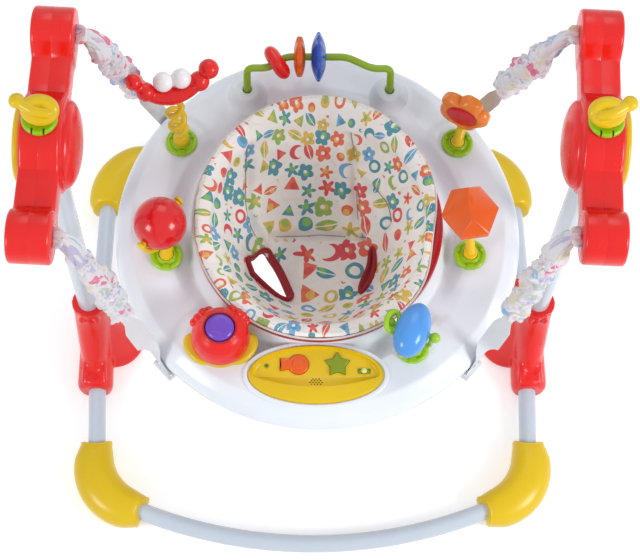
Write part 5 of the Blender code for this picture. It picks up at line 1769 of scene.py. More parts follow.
@dataclass
class Strap:
    """One spring strap: a scrunched sleeve from the beam's drum and webbing down to the tray."""

    end: End
    side: Side
    width: float = 0.0570
    drum_reach: float = 0.150
    top_height: float = 0.785
    inset: float = 0.018
    sag: float = 0.012
    anchor_span: float = 0.2255
    anchor_depth: float = 0.2000
    anchor_height: float = 0.4240
    radius: float = 0.0150
    share: float = 0.54
    webbing_width: float = 0.0165
    webbing_spread: float = 0.0300
    webbing_fold: float = 0.0240
    webbing_thick: float = 0.0016
    tuck: float = 0.020
    lug_height: float = 0.010
    climb: float = 24.0

    def line(self) -> tuple[Vector, Vector, Vector]:
        """The strap's start on the drum, the point where it turns, and its lower end.

        Returns:
            The three points.
        """
        place = Beam(self.side).place()
        sign, y = self.side.value, self.end.value
        face = self.width / 2 + GAP
        start = place @ Vector((-sign * face, y * self.drum_reach, self.top_height))
        turn = place @ Vector((-sign * (face + self.inset), y * self.drum_reach, self.top_height - self.sag))
        low = Vector((sign * self.anchor_span, y * self.anchor_depth, self.anchor_height))
        return start, turn, low

    def sleeve_path(self) -> Ring:
        """The sleeve's centreline.

        Returns:
            The points.
        """
        start, turn, low = self.line()
        level = Vector((turn.x, turn.y, start.z))
        knee = turn.lerp(low, 0.10)
        end = turn.lerp(low, self.share)
        proud = start + (level - start).normalized() * 0.003
        bend = [start]
        for i in range(17):
            t = i / 16
            bend.append(proud.lerp(level, t).lerp(level.lerp(knee, t), t))
        count = 150
        return bend + [knee.lerp(end, i / count) for i in range(1, count + 1)]

    def sleeve(self, seed: int) -> Skin:
        """A gathered sleeve: lopsided puffs with sharp creases that climb round it.

        Args:
            seed: Sets this sleeve's own folds.

        Returns:
            The closed skin, with its place on the cloth at each point.
        """
        path = self.sleeve_path()
        length = sum((b - a).length for a, b in zip(path, path[1:]))
        start = Vector((seed * 7.31, seed * 3.17, seed * 1.7))
        count, total = 84, len(path) - 1
        rings, places = [], []
        for i, (point, side, over, _) in enumerate(path_frames(path, None)):
            share = i / total
            along = share * length
            free = min(1.0, share / 0.10) * min(1.0, (1.0 - share) / 0.06)
            drift = noise.noise(Vector((along / 0.045, 0.0, 5.0)) + start) * 0.0050 * free
            sway = noise.noise(Vector((along / 0.045, 9.0, 5.0)) + start) * 0.0050 * free
            middle = point + side * drift + over * sway
            wide = 1.0 + 0.22 * noise.noise(Vector((along / 0.040, 3.0, 1.0)) + start)
            ends = min(1.0, share / 0.22 + 0.52) * min(1.0, (1.0 - share) / 0.06 + 0.60)
            flat = 1.0 - 0.30 * math.exp(-(share / 0.07) ** 2)
            ring = []
            for a in full_turn(count):
                turn = a + along * self.climb
                spot = Vector((0.80 * math.cos(turn), 0.80 * math.sin(turn), along / 0.030)) + start
                puff = noise.noise(spot)
                fold = abs(noise.noise(spot * 2.1 + start))
                fine = noise.noise(spot * 5.0 + start)
                phase = math.pi * along / 0.0200 + 1.6 * noise.noise(spot * 0.8 + start)
                gather = abs(math.sin(phase)) ** 0.55
                size = self.radius * (0.76 + 0.52 * puff + 0.46 * fold + 0.10 * fine
                                      + 0.28 * gather) * wide * ends
                ring.append(middle + side * size * math.cos(a) + over * size * math.sin(a) * flat)
                places.append((a * self.radius * 1.4 + seed * 0.3, along * 1.5 + puff * 0.010, 0.0))
            rings.append(ring)
        skin = loft(rings)
        skin.places = places
        return skin

    def tab(self) -> Skin:
        """The flat sewn tab that holds the sleeve to the drum.

        Returns:
            The skin.
        """
        start, turn, _ = self.line()
        ahead = (Vector((turn.x, turn.y, start.z)) - start).normalized()
        rings = []
        for along, wide, tall in ((0.0, 0.0150, 0.0040), (0.0004, 0.0158, 0.0046), (0.0080, 0.0150, 0.0052),
                                  (0.0130, 0.0105, 0.0075), (0.0150, 0.0070, 0.0050)):
            centre = start + ahead * along
            rings.append([centre + Vector((0, wide * math.cos(a), tall * math.sin(a)))
                          for a in full_turn(28)])
        skin = loft(rings)
        skin.places = [(p.y, p.z + p.x, 0.0) for p in skin.points]
        return skin

    def webbing(self) -> Skin:
        """The flat strap below the sleeve, turned and spread where it enters its lug.

        Returns:
            The closed skin, with its place across and along the strap at each point.
        """
        _, turn, low = self.line()
        along = (low - turn).normalized()
        top = turn.lerp(low, self.share - self.tuck / (low - turn).length)
        foot = low + along * (self.lug_height * 0.75)
        radial = Vector((self.side.value * self.anchor_span, self.end.value * self.anchor_depth,
                         0)).normalized()
        tangent = Vector((-radial.y, radial.x, 0))
        if tangent.x * self.side.value < 0:
            tangent = -tangent
        shares = (0.0, 0.22, 0.32, 0.50, 0.60, 0.68, 0.76, 1.0)
        flat_on = self.end is End.FRONT
        turns = (0.86, 0.88, 0.9, 0.92, 0.94, 0.96, 1.0, 1.0)
        if flat_on:
            turns = (0.0, 0.0, 0.0, 0.0, 0.34, 0.67, 1.0, 1.0)
        wide = self.webbing_spread if flat_on else self.webbing_fold
        sizes = (self.webbing_width, self.webbing_width) + (wide,) * 5 + (self.webbing_fold,)
        steps = 90
        rings, places = [], []
        length = (foot - top).length
        deep = self.webbing_thick / 2
        across = 14
        for i in range(steps + 1):
            share = i / steps
            bend = float(np.interp(share, shares, turns))
            bend = smooth(bend)
            half = float(np.interp(share, shares, sizes)) / 2
            side = radial * math.cos(math.pi / 2 * bend) + tangent * math.sin(math.pi / 2 * bend)
            side = (side - along * side.dot(along)).normalized()
            face = side.cross(along)
            centre = top.lerp(foot, share)
            row = []
            cup = 0.0009 * math.sin(share * 14.0)
            for k in range(across + 1):
                u = -1.0 + 2.0 * k / across
                edge = deep * (1.0 - 0.45 * max(0.0, abs(u) - 0.80) / 0.20)
                row.append((u * half, edge + cup * (1 - u * u)))
            row += [(x, z - 2 * deep * (1.0 - 0.45 * max(0.0, abs(x / half) - 0.80) / 0.20))
                    for x, z in row[::-1]]
            rings.append([centre + side * x + face * z for x, z in row])
            places += [(x, share * length, 0.0) for x, _ in row]
        skin = loft(rings)
        skin.places = places
        return skin

    def make(self, shop: Workshop, seed: int) -> None:
        """Build the sleeve, its tab and the webbing.

        Args:
            shop: The workshop that makes the pieces.
            seed: Seed of the sleeve's folds.
        """
        label = f"{self.end.label}_{self.side.label}"
        path = self.sleeve_path()
        lift = Vector((0.0, LINE_SHIFT, 0.0))
        sleeve = shop.piece(f"gathers_{label}", self.sleeve(seed), "sleeve_fabric", "", f"sleeve_{label}",
                            sharp=180.0)
        tuple(path[0] + lift)
        tuple(path[-1] + lift)
        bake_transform(sleeve)
        shop.piece(f"tab_{label}", self.tab(), "sleeve_fabric", "frame", sharp=60.0)
        shop.piece(f"strap_{label}", self.webbing(), "webbing", "tray", f"webbing_{label}", sharp=60.0)
        shop.dress("spring_steel", f"spring_{label}")


# Tray and sound panel


class Spot(Enum):
    """Where the toys stand on the deck, in plan."""

    CRAB = (-0.205, 0.140)
    BALL = (-0.223, -0.046)
    FACET = (0.223, -0.044)
    FLOWER = (0.211, 0.140)
    TUMBLER = (-0.1415, -0.1800)
    EGG = (0.1340, -0.1900)

    def on_deck(self, rise: float = 0.0) -> Vector:
        """The spot at a height above the deck."""
        return Vector((*self.value, DECK + rise))


@dataclass
class Tray:
    """The upper tray moulding with its valleys, mounds, rims and bar bosses."""

    radius: float = 0.3015
    rim: float = 0.4460
    wall: float = 0.0028
    opening: float = 0.1795
    collar: float = 0.4862
    inner_slope: float = 0.0200
    inner_band: float = 0.0480
    outer_band: float = 0.0240
    lobe: float = 0.0030
    boss_height: float = 0.0200
    boss_radius: float = 0.0220
    bar_span: float = 0.1080
    bar_shift: float = 0.0015
    bar_y: float = 0.2210
    low_dip: float = 0.0070
    valley_depth: float = 0.0120
    valley_spread: float = 0.0300
    mound_ease: float = 0.0200

    def valleys(self) -> list[tuple[float, float]]:
        """Direction and depth of each valley, midway between two toys.

        Returns:
            Direction and depth of each.
        """
        left, right = (-self.bar_span, self.bar_y), (self.bar_span, self.bar_y)
        pairs = [(Spot.BALL.value, Spot.TUMBLER.value, self.valley_depth),
                 (Spot.EGG.value, Spot.FACET.value, self.valley_depth),
                 (Spot.FLOWER.value, right, self.low_dip), (left, Spot.CRAB.value, self.low_dip)]
        lines = []
        for first, second, depth in pairs:
            middle = Vector(first).normalized() + Vector(second).normalized()
            lines.append((math.atan2(middle.y, middle.x), depth))
        return lines

    def dip(self, radius: float, angle: float) -> float:
        """How far the deck lies below its crest at a place; the toys' mounds stay up.

        Args:
            radius: Distance from the middle of the seat.
            angle: Direction round it.

        Returns:
            The depth below the crest.
        """
        dip = 0.0
        for middle, depth in self.valleys():
            gap = math.remainder(angle - middle, 2 * math.pi) * radius
            dip += depth * math.exp(-0.5 * (gap / self.valley_spread) ** 2)
        here = Vector((radius * math.cos(angle), radius * math.sin(angle)))
        mounds = [(spot.value, 0.0480 if spot in (Spot.TUMBLER, Spot.EGG) else 0.0312) for spot in Spot]
        mounds += [((side.value * self.bar_span, self.bar_y), self.boss_radius * 1.5) for side in Side]
        for place, reach in mounds:
            dip *= smooth(held(((here - Vector(place)).length - reach) / self.mound_ease))
        return dip

    def profile(self, angle: float) -> list[Vector]:
        """The shell's outline in radius and height at a direction, outer skin first.

        Args:
            angle: Direction round the middle of the seat.

        Returns:
            The closed outline.
        """
        deck_in, deck_out = self.opening + self.inner_band, self.radius - self.outer_band
        middle = self.dip((deck_in + deck_out) / 2, angle)
        rim = self.radius - self.lobe * middle / self.valley_depth
        slope = self.opening + self.inner_slope

        def deck(radius: float, drop: float = 0.0) -> tuple[float, float]:
            """A place on the deck's surface."""
            return radius, DECK - self.dip(radius, angle) - drop

        outer = [(self.opening, self.collar - 0.030), (self.opening, self.collar),
                 (self.opening + 0.005, self.collar - 0.0015), (slope - 0.004, self.collar - 0.0235),
                 (slope + 0.006, self.collar - 0.0220), deck(deck_in - 0.005, 0.002)]
        outer += [deck(deck_in + 0.006 + (deck_out - deck_in - 0.006) * i / 7) for i in range(8)]
        outer += [(rim - 0.0065, deck(deck_out)[1] - 0.0115 + middle * 0.35), (rim, self.rim + 0.012),
                  (rim, self.rim)]
        low = DECK - middle - 0.010
        under = [(rim - self.wall, self.rim), (rim - self.wall, self.rim + 0.010), (deck_out - 0.002, low),
                 (deck_in, low), (slope, self.collar - 0.030),
                 (self.opening + self.wall, self.collar - 0.030)]
        line = eased([(r, z, 0.0) for r, z in outer], 0.0085, 4)
        return line + [Vector((r, z, 0.0)) for r, z in under]

    def shell(self) -> Skin:
        """The whole shell, as one profile swept round with its valleys."""
        return loft([[Vector((p.x * math.cos(a), p.x * math.sin(a), p.y)) for p in self.profile(a)]
                     for a in full_turn(300)], closed=True)

    def trim(self) -> Skin:
        """The raised white lip round the panel.

        Returns:
            The skin.
        """
        lip = [Vector((-0.005 + 0.1015 * math.cos(a), -0.2310 + 0.0480 * math.sin(a), DECK + 0.0006))
               for a in full_turn(110)]
        return hoop(lip, 0.0036, 16, UP, 0.55)

    def boss(self, sign: int) -> Skin:
        """The flared boss that one end of the toy bar stands in.

        Args:
            sign: Which end of the bar, -1 or 1 along x.

        Returns:
            The skin.
        """
        r, h = self.boss_radius, self.boss_height
        profile = [(r * 1.48, -0.0040), (r * 1.36, 0.0004), (r * 1.16, h * 0.26), (r * 1.02, h * 0.58),
                   (r * 0.84, h * 0.92), (r * 0.60, h), (0.0074, h), (0.0060, h - 0.0030), (0.0060, 0.0)]
        ring = turned(eased_flat(profile, 0.0040, 5) + [(0.0, 0.0)], 56)
        return ring.at((sign * self.bar_span + self.bar_shift, self.bar_y, DECK))

    def make(self, shop: Workshop) -> None:
        """Build the tray and dress what lies under it.

        Args:
            shop: The workshop that makes the pieces.
        """
        deck = shop.piece("deck", self.shell(), "white_plastic", "tray", "tray_top", sharp=50.0)
        bay = [(p.x, p.y) for p in SoundPanel().oval(0.0012, 0.0)]
        shop.carve(deck, 50.0, prism(bay, DECK - 0.020, DECK + 0.020))
        shop.piece("panel_lip", self.trim(), "white_plastic", "tray", sharp=60.0)
        for side in Side:
            shop.piece(f"bar_boss_{side.label}", self.boss(side.value), "frosted_plastic", "tray", sharp=50.0,
                       slot="white_plastic")
        shop.dress("white_plastic", "tray_base", "battery_door")
        shop.dress("board_laminate", "sound_board")


@dataclass
class SoundPanel:
    """The oval panel with its shelf, grille, lamp, buttons and switch."""

    half_length: float = 0.0970
    half_depth: float = 0.0435
    centre: tuple[float, float] = (-0.0050, -0.2310)
    rise: float = 0.0070
    recess: float = 0.0075
    row: float = -0.2150
    round_x: float = -0.0300
    round_radius: float = 0.0150
    star_x: float = 0.0260
    star_radius: float = 0.0185
    switch: tuple[float, float] = (0.0640, -0.2250)
    travel: float = 0.0050
    proud: float = 0.0035

    def oval(self, inset: float, height: float) -> Ring:
        """A level ring of the panel's outline, drawn in."""
        return circle(self.half_length - inset, 120, height, self.half_depth - inset * 0.9, self.centre)

    def height(self, x: float, y: float) -> float:
        """The panel's top at a place, where 1 is its half length across and its half depth back.

        Args:
            x: Place along, as a share of the half length.
            y: Place back, as a share of the half depth.

        Returns:
            The height.
        """
        top, floor = DECK + self.rise, DECK + self.rise - self.recess
        edge = math.sqrt(x * x + y * y)
        crest = 0.10 - 0.56 * math.sqrt(max(0.0, 1.0 - (x / 0.95) ** 2))
        fold = -0.02 - 0.04 * x * x
        if y < crest or abs(x) > 0.95:
            fall = max(0.0, (edge - abs(crest)) / (1.02 - abs(crest)))
            return top - 0.0030 * fall ** 2
        low = floor + 0.0012 * max(0.0, y)
        if y < fold:
            low += (top - low) * held((fold - y) / max(0.05, fold - crest)) ** 1.3
        wall = held((edge - 0.90) / 0.05)
        return low + (top - low) * wall * wall * (3 - 2 * wall)

    def body(self) -> Skin:
        """The panel's body: a sunk shelf behind, and a crest with a bright face in front.

        Returns:
            The skin.
        """
        top = DECK + self.rise
        rings = [self.oval(0.009, DECK - 0.004), self.oval(0.0045, DECK - 0.010),
                 self.oval(0.0030, DECK - 0.010), self.oval(0.0030, DECK + GAP),
                 self.oval(0.0, DECK + GAP), self.oval(0.0, top - 0.0052), self.oval(0.0006, top - 0.0038)]
        steps = 44
        for i in range(steps):
            share = 0.985 * (1.0 - i / steps)
            ring = []
            for a in full_turn(120):
                x, y = share * math.cos(a), share * math.sin(a)
                ring.append(Vector((self.centre[0] + self.half_length * x,
                                    self.centre[1] + self.half_depth * y,
                                    self.height(x, y) - 0.0012 * max(0.0, share - 0.95) / 0.035)))
            rings.append(ring)
        rings.append([Vector((*self.centre, self.height(0.0, 0.0)))])
        return loft(rings)

    def grille(self) -> Skin:
        """The cutter for the small round holes over the loudspeaker.

        Returns:
            The skin.
        """
        skin = Skin()
        for row, count in ((-0.0062, 3), (-0.0092, 4), (-0.0122, 5), (-0.0152, 4)):
            for i in range(count):
                place = shift(self.centre[0] + (i - (count - 1) / 2) * 0.0044, self.centre[1] + row, 0)
                skin.join(turned([(0, DECK - 0.007), (0.0012, DECK - 0.007), (0.0012, DECK + 0.03),
                                  (0, DECK + 0.03)], 10).moved(place))
        return skin

    def tailed(self, gap: float = 0.0) -> list[tuple[float, float]]:
        """The outline of the round button with its tail.

        Args:
            gap: Clearance added all round.

        Returns:
            The outline in plan.
        """
        size = self.round_radius + gap
        points = []
        for i in range(49):
            a = math.radians(-150 + 300 * i / 48) + math.pi
            points.append((-size * math.cos(a), -size * math.sin(a)))
        tail, wide = -self.round_radius * 1.75 - gap, self.round_radius * 0.62 + gap
        fork = [(tail, wide), (tail, -wide)]
        if gap == 0.0:
            fork.insert(1, (tail + 0.0016, 0.0))
        return [(x + self.round_x, y + self.row) for x, y in points + fork]

    def star(self, gap: float = 0.0) -> list[tuple[float, float]]:
        """The outline of the star button, with blunt points.

        Args:
            gap: Clearance added all round.

        Returns:
            The outline in plan.
        """
        points = []
        for i in range(10):
            a = math.pi / 2 + math.pi * i / 5
            size = self.star_radius * (1.06 if i % 2 == 0 else 0.60) + gap
            points.append(Vector((size * math.cos(a), size * math.sin(a), 0.0)))
        line = eased(points[-1:] + points + points[:1], 0.0022, 4)[1:-1]
        return [(p.x + self.star_x, p.y + self.row) for p in line]

    def slot(self, half_x: float, half_y: float, ease: float) -> list[tuple[float, float]]:
        """A rounded oblong round the switch.

        Args:
            half_x: Half its length.
            half_y: Half its depth.
            ease: Radius of its corners.

        Returns:
            The outline in plan.
        """
        corners = [(half_x, 0.0), (half_x, half_y), (-half_x, half_y), (-half_x, -half_y), (half_x, -half_y),
                   (half_x, 0.0)]
        return [(x + self.switch[0], y + self.switch[1]) for x, y in eased_flat(corners, ease, 4)[:-1]]

    def make(self, shop: Workshop) -> None:
        """Build the panel and its controls.

        Args:
            shop: The workshop that makes the pieces.
        """
        low, high = DECK - 0.012, DECK + self.rise + 0.01
        panel = shop.piece("panel_oval", self.body(), "yellow_plastic", "tray", "panel", sharp=45.0)
        shop.carve(panel, 50.0, prism(self.tailed(0.0006), low, high), prism(self.star(0.0006), low, high),
                   prism(self.slot(self.travel + 0.0045, 0.0040, 0.002), low, high), self.grille())
        top = DECK + self.rise - self.recess + self.proud
        under = DECK - 0.005
        shop.piece("button_round", prism(self.tailed(), under, top, 0.0022), "orange_plastic", "round_button",
                   "round_button", sharp=60.0)
        disc = turned_soft([(0.0088, top - 0.0010), (0.0088, top + 0.0007), (0.0070, top + 0.0010),
                            (0.0, top + 0.0013)], 0.0006, 40).at((self.round_x, self.row, 0))
        shop.piece("button_round_disc", disc, "orange_plastic", "round_button", sharp=60.0)
        shop.piece("button_star", prism(self.star(), under, top, 0.0022), "star_plastic", "star_button",
                   "star_button", sharp=60.0)
        knob = prism(self.slot(0.0040, 0.0034, 0.0012), under, top - 0.0004, 0.0012)
        shop.piece("switch_foot", knob, "star_plastic", "mode_switch", "mode_switch", sharp=60.0)
        plate = prism(self.slot(self.travel + 0.0044, 0.0039, 0.002), under, DECK - 0.0022, 0.0004)
        shop.piece("switch_slide", plate, "lime_plastic", "tray", slot="yellow_plastic")
        cap = turned([*dome(0.0042, 0.0030, top - 0.0008)], 36).at((*self.switch, 0))
        shop.piece("switch_knob", cap, "pale_lime", "mode_switch", sharp=60.0, slot="star_plastic")
        floor = DECK + self.rise - self.recess
        lamp = turned_soft([(0.0, floor - 0.001), (0.0036, floor - 0.001), (0.0036, floor + 0.0010),
                            (0.0028, floor + 0.0014), (0.0, floor + 0.0014)], 0.0005, 28)
        shop.piece("panel_lamp_ring", lamp.at((-0.0755, self.row - 0.002, 0)), "star_plastic", "tray")
        pin = turned_soft([(0.0, floor), (0.0016, floor), (0.0016, floor + 0.0018), (0.0, floor + 0.0022)],
                          0.0004, 20)
        shop.piece("panel_lamp", pin.at((-0.0755, self.row - 0.002, 0)), "dark_trim", "tray",
                   slot="yellow_plastic")


# Seat


@dataclass
class Seat:
    """The turning ring and the padded bucket with its two bound leg holes."""

    ring_radius: float = 0.1835
    band: float = 0.0140
    wall: float = 0.0140
    collar: float = 0.4862
    hem_radius: float = 0.1822
    hem_roll: float = 0.0036
    back_rise: float = 0.0450
    depth: float = 0.1700
    thick: float = 0.0060
    voxel: float = 0.0045
    swell: float = 0.0060
    pressure: float = 4.0
    frames: int = 20

    def ring(self) -> Skin:
        """The red ring, with a step under its outer edge.

        Returns:
            The skin.
        """
        low = self.collar - 0.032
        band = self.collar + GAP
        top = band + self.band
        bore = self.ring_radius - self.wall
        profile = [(bore, low), (0.1783, low), (0.1783, band), (self.ring_radius, band),
                   (self.ring_radius, top - 0.002), (self.ring_radius - 0.003, top), (bore + 0.003, top),
                   (bore, top - 0.002)]
        return turned(eased_flat(profile + profile[:1], 0.0016)[:-1], 160, closed=True)

    def rise(self, angle: float) -> float:
        """How much higher the rim stands towards the back."""
        return self.back_rise * max(0.0, math.sin(angle)) ** 1.5

    def hem(self, angle: float) -> float:
        """Radius of the rolled hem, drawn in at the right and a little at the left.

        Args:
            angle: Direction round the seat.

        Returns:
            The radius.
        """
        def near(middle: float, spread: float) -> float:
            """1 at a direction, falling off on both sides."""
            gap = math.remainder(angle - math.radians(middle), 2 * math.pi)
            return math.exp(-(gap / spread) ** 2)

        return self.hem_radius - 0.0160 * near(-8.0, 0.40) - 0.0020 * near(206.0, 0.35)

    def section(self, angle: float) -> Ring:
        """The bucket's outline in radius and height at a direction, outer skin first.

        Args:
            angle: Direction round the seat.

        Returns:
            The closed outline.
        """
        top = self.collar + GAP + self.band
        bottom = top - self.depth
        throat = self.ring_radius - self.wall - 0.0009
        t, edge, rise = self.thick, self.hem(angle), self.rise(angle)
        out = max(0.0, edge - throat - 0.0014)
        outer = [(0.0, bottom), (0.050, bottom + 0.004), (0.095, bottom + 0.026), (0.125, bottom + 0.062),
                 (0.148, bottom + 0.105), (throat - 0.002, top - self.band - 0.024),
                 (throat - 0.002, top - 0.006), (throat - 0.001 + out * 0.45, top + 0.0012 + rise * 0.35),
                 (throat - 0.001 + out * 0.85, top + 0.0020 + rise * 0.80),
                 (edge + self.hem_roll, top + 0.0045 + rise)]
        inner = [(0.0, bottom + t), (0.050, bottom + 0.004 + t), (0.095 - t, bottom + 0.032),
                 (0.125 - t, bottom + 0.066), (0.148 - t, bottom + 0.107),
                 (throat - t * 1.9, top - 0.020 + rise * 0.3), (throat - t * 1.6, top - 0.001 + rise * 0.6),
                 (edge - 0.0100, top + 0.0080 + rise * 0.95), (edge - 0.0030, top + 0.0104 + rise),
                 (edge + 0.0014, top + 0.0088 + rise)]
        parts = [curve([Vector((r, z, 0.0)) for r, z in points], 6) for points in (outer, inner)]
        return parts[0] + parts[1][::-1]

    def shell(self) -> Skin:
        """The closed bucket before it is stuffed.

        Returns:
            The skin.
        """
        angles = full_turn(120)
        lines = [self.section(a) for a in angles]
        rings = []
        for k, p in enumerate(lines[0]):
            if p.x < 1e-4:
                rings.append([Vector((0, 0, p.y))])
                continue
            rings.append([Vector((line[k].x * math.cos(a), line[k].x * math.sin(a), line[k].y))
                          for a, line in zip(angles, lines)])
        return loft(rings)

    def seams(self) -> list[tuple[Ring, float]]:
        """The sewn lines on the inner skin, each with the depth of its crease.

        Returns:
            Each line with its depth.
        """
        lines = [
            ([(-0.0700, 0.0390, 0.358), (-0.0283, 0.0479, 0.3431), (0.0062, 0.0507, 0.3409),
              (0.0404, 0.0464, 0.3469), (0.0760, 0.0385, 0.3600)], 0.0062),
            ([(-0.1076, 0.1272, 0.5097), (-0.1066, 0.1096, 0.4679), (-0.1070, 0.0863, 0.4292),
              (-0.1057, 0.0617, 0.4024), (-0.0960, 0.0400, 0.3790), (-0.0780, 0.0230, 0.3600)], 0.0044),
            ([(0.0500, 0.1560, 0.4950), (0.0544, 0.1397, 0.4597), (0.0588, 0.1175, 0.4184),
              (0.0613, 0.0906, 0.3852), (0.0634, 0.0658, 0.3649), (0.0711, 0.0385, 0.3574)], 0.0056),
            ([(0.0660, 0.1120, 0.4250), (0.0900, 0.0900, 0.4150), (0.1080, 0.0700, 0.4100),
              (0.1130, 0.0480, 0.4000)], 0.0044)]
        return [(curve([Vector(p) for p in points], 10), depth) for points, depth in lines]

    def leg_rings(self) -> dict[Side, Ring]:
        """The bound edges of the leg holes, on the bucket's inner skin.

        Returns:
            The edge of each hole, by side.
        """
        left = [(-0.1065, -0.0090, 0.3818), (-0.0955, 0.0010, 0.3700), (-0.0850, 0.0150, 0.3608),
                (-0.0755, 0.0175, 0.3550), (-0.0680, 0.0070, 0.3505), (-0.0560, -0.0105, 0.3440),
                (-0.0430, -0.0400, 0.3435), (-0.0385, -0.0570, 0.3490), (-0.0480, -0.0645, 0.3575),
                (-0.0625, -0.0587, 0.3606), (-0.0870, -0.0392, 0.3694), (-0.1010, -0.0268, 0.3797)]
        right = [(0.0868, 0.0235, 0.3632), (0.0897, 0.0142, 0.3650), (0.0906, 0.0005, 0.3650),
                 (0.0870, -0.0250, 0.3650), (0.0790, -0.0430, 0.3655), (0.0690, -0.0560, 0.3645),
                 (0.0672, -0.0480, 0.3600), (0.0722, -0.0310, 0.3575), (0.0805, -0.0115, 0.3590),
                 (0.0838, 0.0080, 0.3600)]
        holes = {}
        for side, points in ((Side.LEFT, left), (Side.RIGHT, right)):
            line = [Vector(p) for p in points]
            holes[side] = curve(line[-2:] + line + line[:2], 5)[10:-11]
        return holes

    def hole_cutter(self, side: Side) -> Skin:
        """A cutter through the bucket along its wall's own direction.

        Args:
            side: Which leg hole.

        Returns:
            The skin.
        """
        line = self.leg_rings()[side]
        middle = sum(line, Vector()) / len(line)
        out = Vector((middle.x, middle.y, 0)).normalized() * 0.62 + Vector((0, 0, -0.78))
        return loft([[p - out * 0.030 for p in line], [p + out * 0.060 for p in line]])

    def stuffed(self, shop: Workshop) -> tuple[bpy.types.Object, list[Ring]]:
        """Remesh the bucket, blow it up a little with cloth and keep the result.

        Args:
            shop: The workshop.

        Returns:
            The padded bucket and the lines of its sewing thread.
        """
        obj = shown("bucket", self.shell().mesh("bucket"))
        for side in Side:
            shop.cut(obj, self.hole_cutter(side))
        shop.calm(obj, self.voxel, 0.4, 2)
        self.blow(shop, obj)
        smooth = obj.modifiers.new("Smooth", "SUBSURF")
        smooth.levels = smooth.render_levels = 1
        shop.settle(obj)
        return obj, self.crease(obj.data)

    @staticmethod
    def _gaps(points: np.ndarray, line: Ring) -> np.ndarray:
        """How far each point lies from a line.

        Args:
            points: The points.
            line: The line.

        Returns:
            Each point's distance.
        """
        gaps = np.full(len(points), 1.0)
        for spot in line:
            gaps = np.minimum(gaps, np.linalg.norm(points - np.array(spot), axis=1))
        return gaps

    def laid_seams(self, points: np.ndarray,
                   normals: np.ndarray) -> list[tuple[np.ndarray, np.ndarray, float]]:
        """Lay the sewn lines on the stuffed skin.

        Args:
            points: The skin's points on the child's side.
            normals: The skin's directions there.

        Returns:
            Each line's places, the skin's direction at each and the depth of its crease.
        """
        laid = []
        for line, depth in self.seams():
            nearest = [int(np.argmin(np.linalg.norm(points - np.array(spot), axis=1))) for spot in line]
            places, ways = points[nearest], normals[nearest]
            for _ in range(6):
                places[1:-1] = (places[:-2] + places[1:-1] + places[2:]) / 3.0
                ways[1:-1] = (ways[:-2] + ways[1:-1] + ways[2:]) / 3.0
            laid.append((places, ways / np.linalg.norm(ways, axis=1)[:, None], depth))
        return laid

    def crease(self, mesh: bpy.types.Mesh) -> list[Ring]:
        """Draw the sewn lines in, let the cloth stand up beside them and add slack folds.

        Args:
            mesh: The stuffed pad.

        Returns:
            The lines on which the sewing thread lies; the thread's darker colour is painted shade in the
            creases.
        """
        points = np.array([v.co for v in mesh.vertices])
        normals = np.array([v.normal for v in mesh.vertices])
        radial = points - np.array((0.0, 0.0, 0.62))
        inside = np.einsum("ij,ij->i", normals, radial) < 0.0
        seams = self.laid_seams(points[inside], normals[inside])
        move = np.zeros(len(points))
        nearest = np.full(len(points), 1.0)
        for places, _, depth in seams:
            gaps = self._gaps(points, [Vector(p) for p in places])
            nearest = np.minimum(nearest, gaps)
            move -= depth * 0.80 * np.exp(-(gaps / 0.0044) ** 2)
            move += depth * 0.75 * np.exp(-((gaps - 0.0150) / 0.0090) ** 2)
        for i in np.nonzero(inside)[0]:
            spot = Vector(points[i])
            slack = noise.noise(Vector((spot.x / 0.030, spot.y / 0.060, spot.z / 0.075)))
            fine = noise.noise(spot / 0.013)
            move[i] += (slack * 0.0030 + fine * 0.0006) * min(1.0, nearest[i] / 0.012)
        move[~inside] = 0.0
        for vertex, place in zip(mesh.vertices, points + normals * move[:, None]):
            vertex.co = place
        mesh.update()
        return [[Vector(p - n * (depth * 0.80 - 0.0009)) for p, n in zip(places, ways)]
                for places, ways, depth in seams]

    def blow(self, shop: Workshop, obj: bpy.types.Object) -> None:
        """Swell the pad between its pinned seams by a cloth simulation, capped in depth.

        Args:
            shop: The workshop that settles the object.
            obj: The bucket.
        """
        rest = np.array([v.co for v in obj.data.vertices])
        pins = obj.vertex_groups.new(name="seams")
        for i, hold in enumerate(self.seam_hold(rest)):
            if hold > 0.01:
                pins.add([i], float(hold), "REPLACE")
        cloth = obj.modifiers.new("Cloth", "CLOTH")
        settings = cloth.settings
        settings.quality = 5
        settings.mass = 0.3
        settings.tension_stiffness = settings.compression_stiffness = 12
        settings.bending_stiffness = 0.4
        settings.use_pressure = True
        settings.uniform_pressure_force = self.pressure
        settings.effector_weights.gravity = 0.0
        settings.vertex_group_mass = pins.name
        cloth.collision_settings.use_collision = False
        cloth.collision_settings.use_self_collision = False
        for frame in range(1, self.frames + 1):
            bpy.context.scene.frame_set(frame)
        shop.settle(obj)
        blown = np.array([v.co for v in obj.data.vertices])
        move = blown - rest
        size = np.linalg.norm(move, axis=1, keepdims=True)
        move *= np.minimum(1.0, self.swell / np.maximum(size, 1e-9))
        for vertex, place in zip(obj.data.vertices, rest + move):
            vertex.co = place
        obj.data.update()
        bpy.context.scene.frame_set(1)

    def seam_hold(self, points: np.ndarray) -> np.ndarray:
        """How firmly the pad is held at each point: 1 on a seam, 0 between seams.

        Args:
            points: The points.

        Returns:
            A value from 0 to 1 for each point.
        """
        top = self.collar + GAP + self.band
        radius = np.hypot(points[:, 0], points[:, 1])
        height = points[:, 2]
        hold = np.where(radius > 0.1560, np.clip(1.0 - (top - 0.030 - height) / 0.02, 0.0, 1.0), 0.0)
        for line in self.leg_rings().values():
            hold = np.maximum(hold, 1.0 - self._gaps(points, line) / 0.014)
        for line, _ in self.seams():
            hold = np.maximum(hold, 0.85 - self._gaps(points, line) / 0.009)
        return np.clip(hold, 0.0, 1.0)

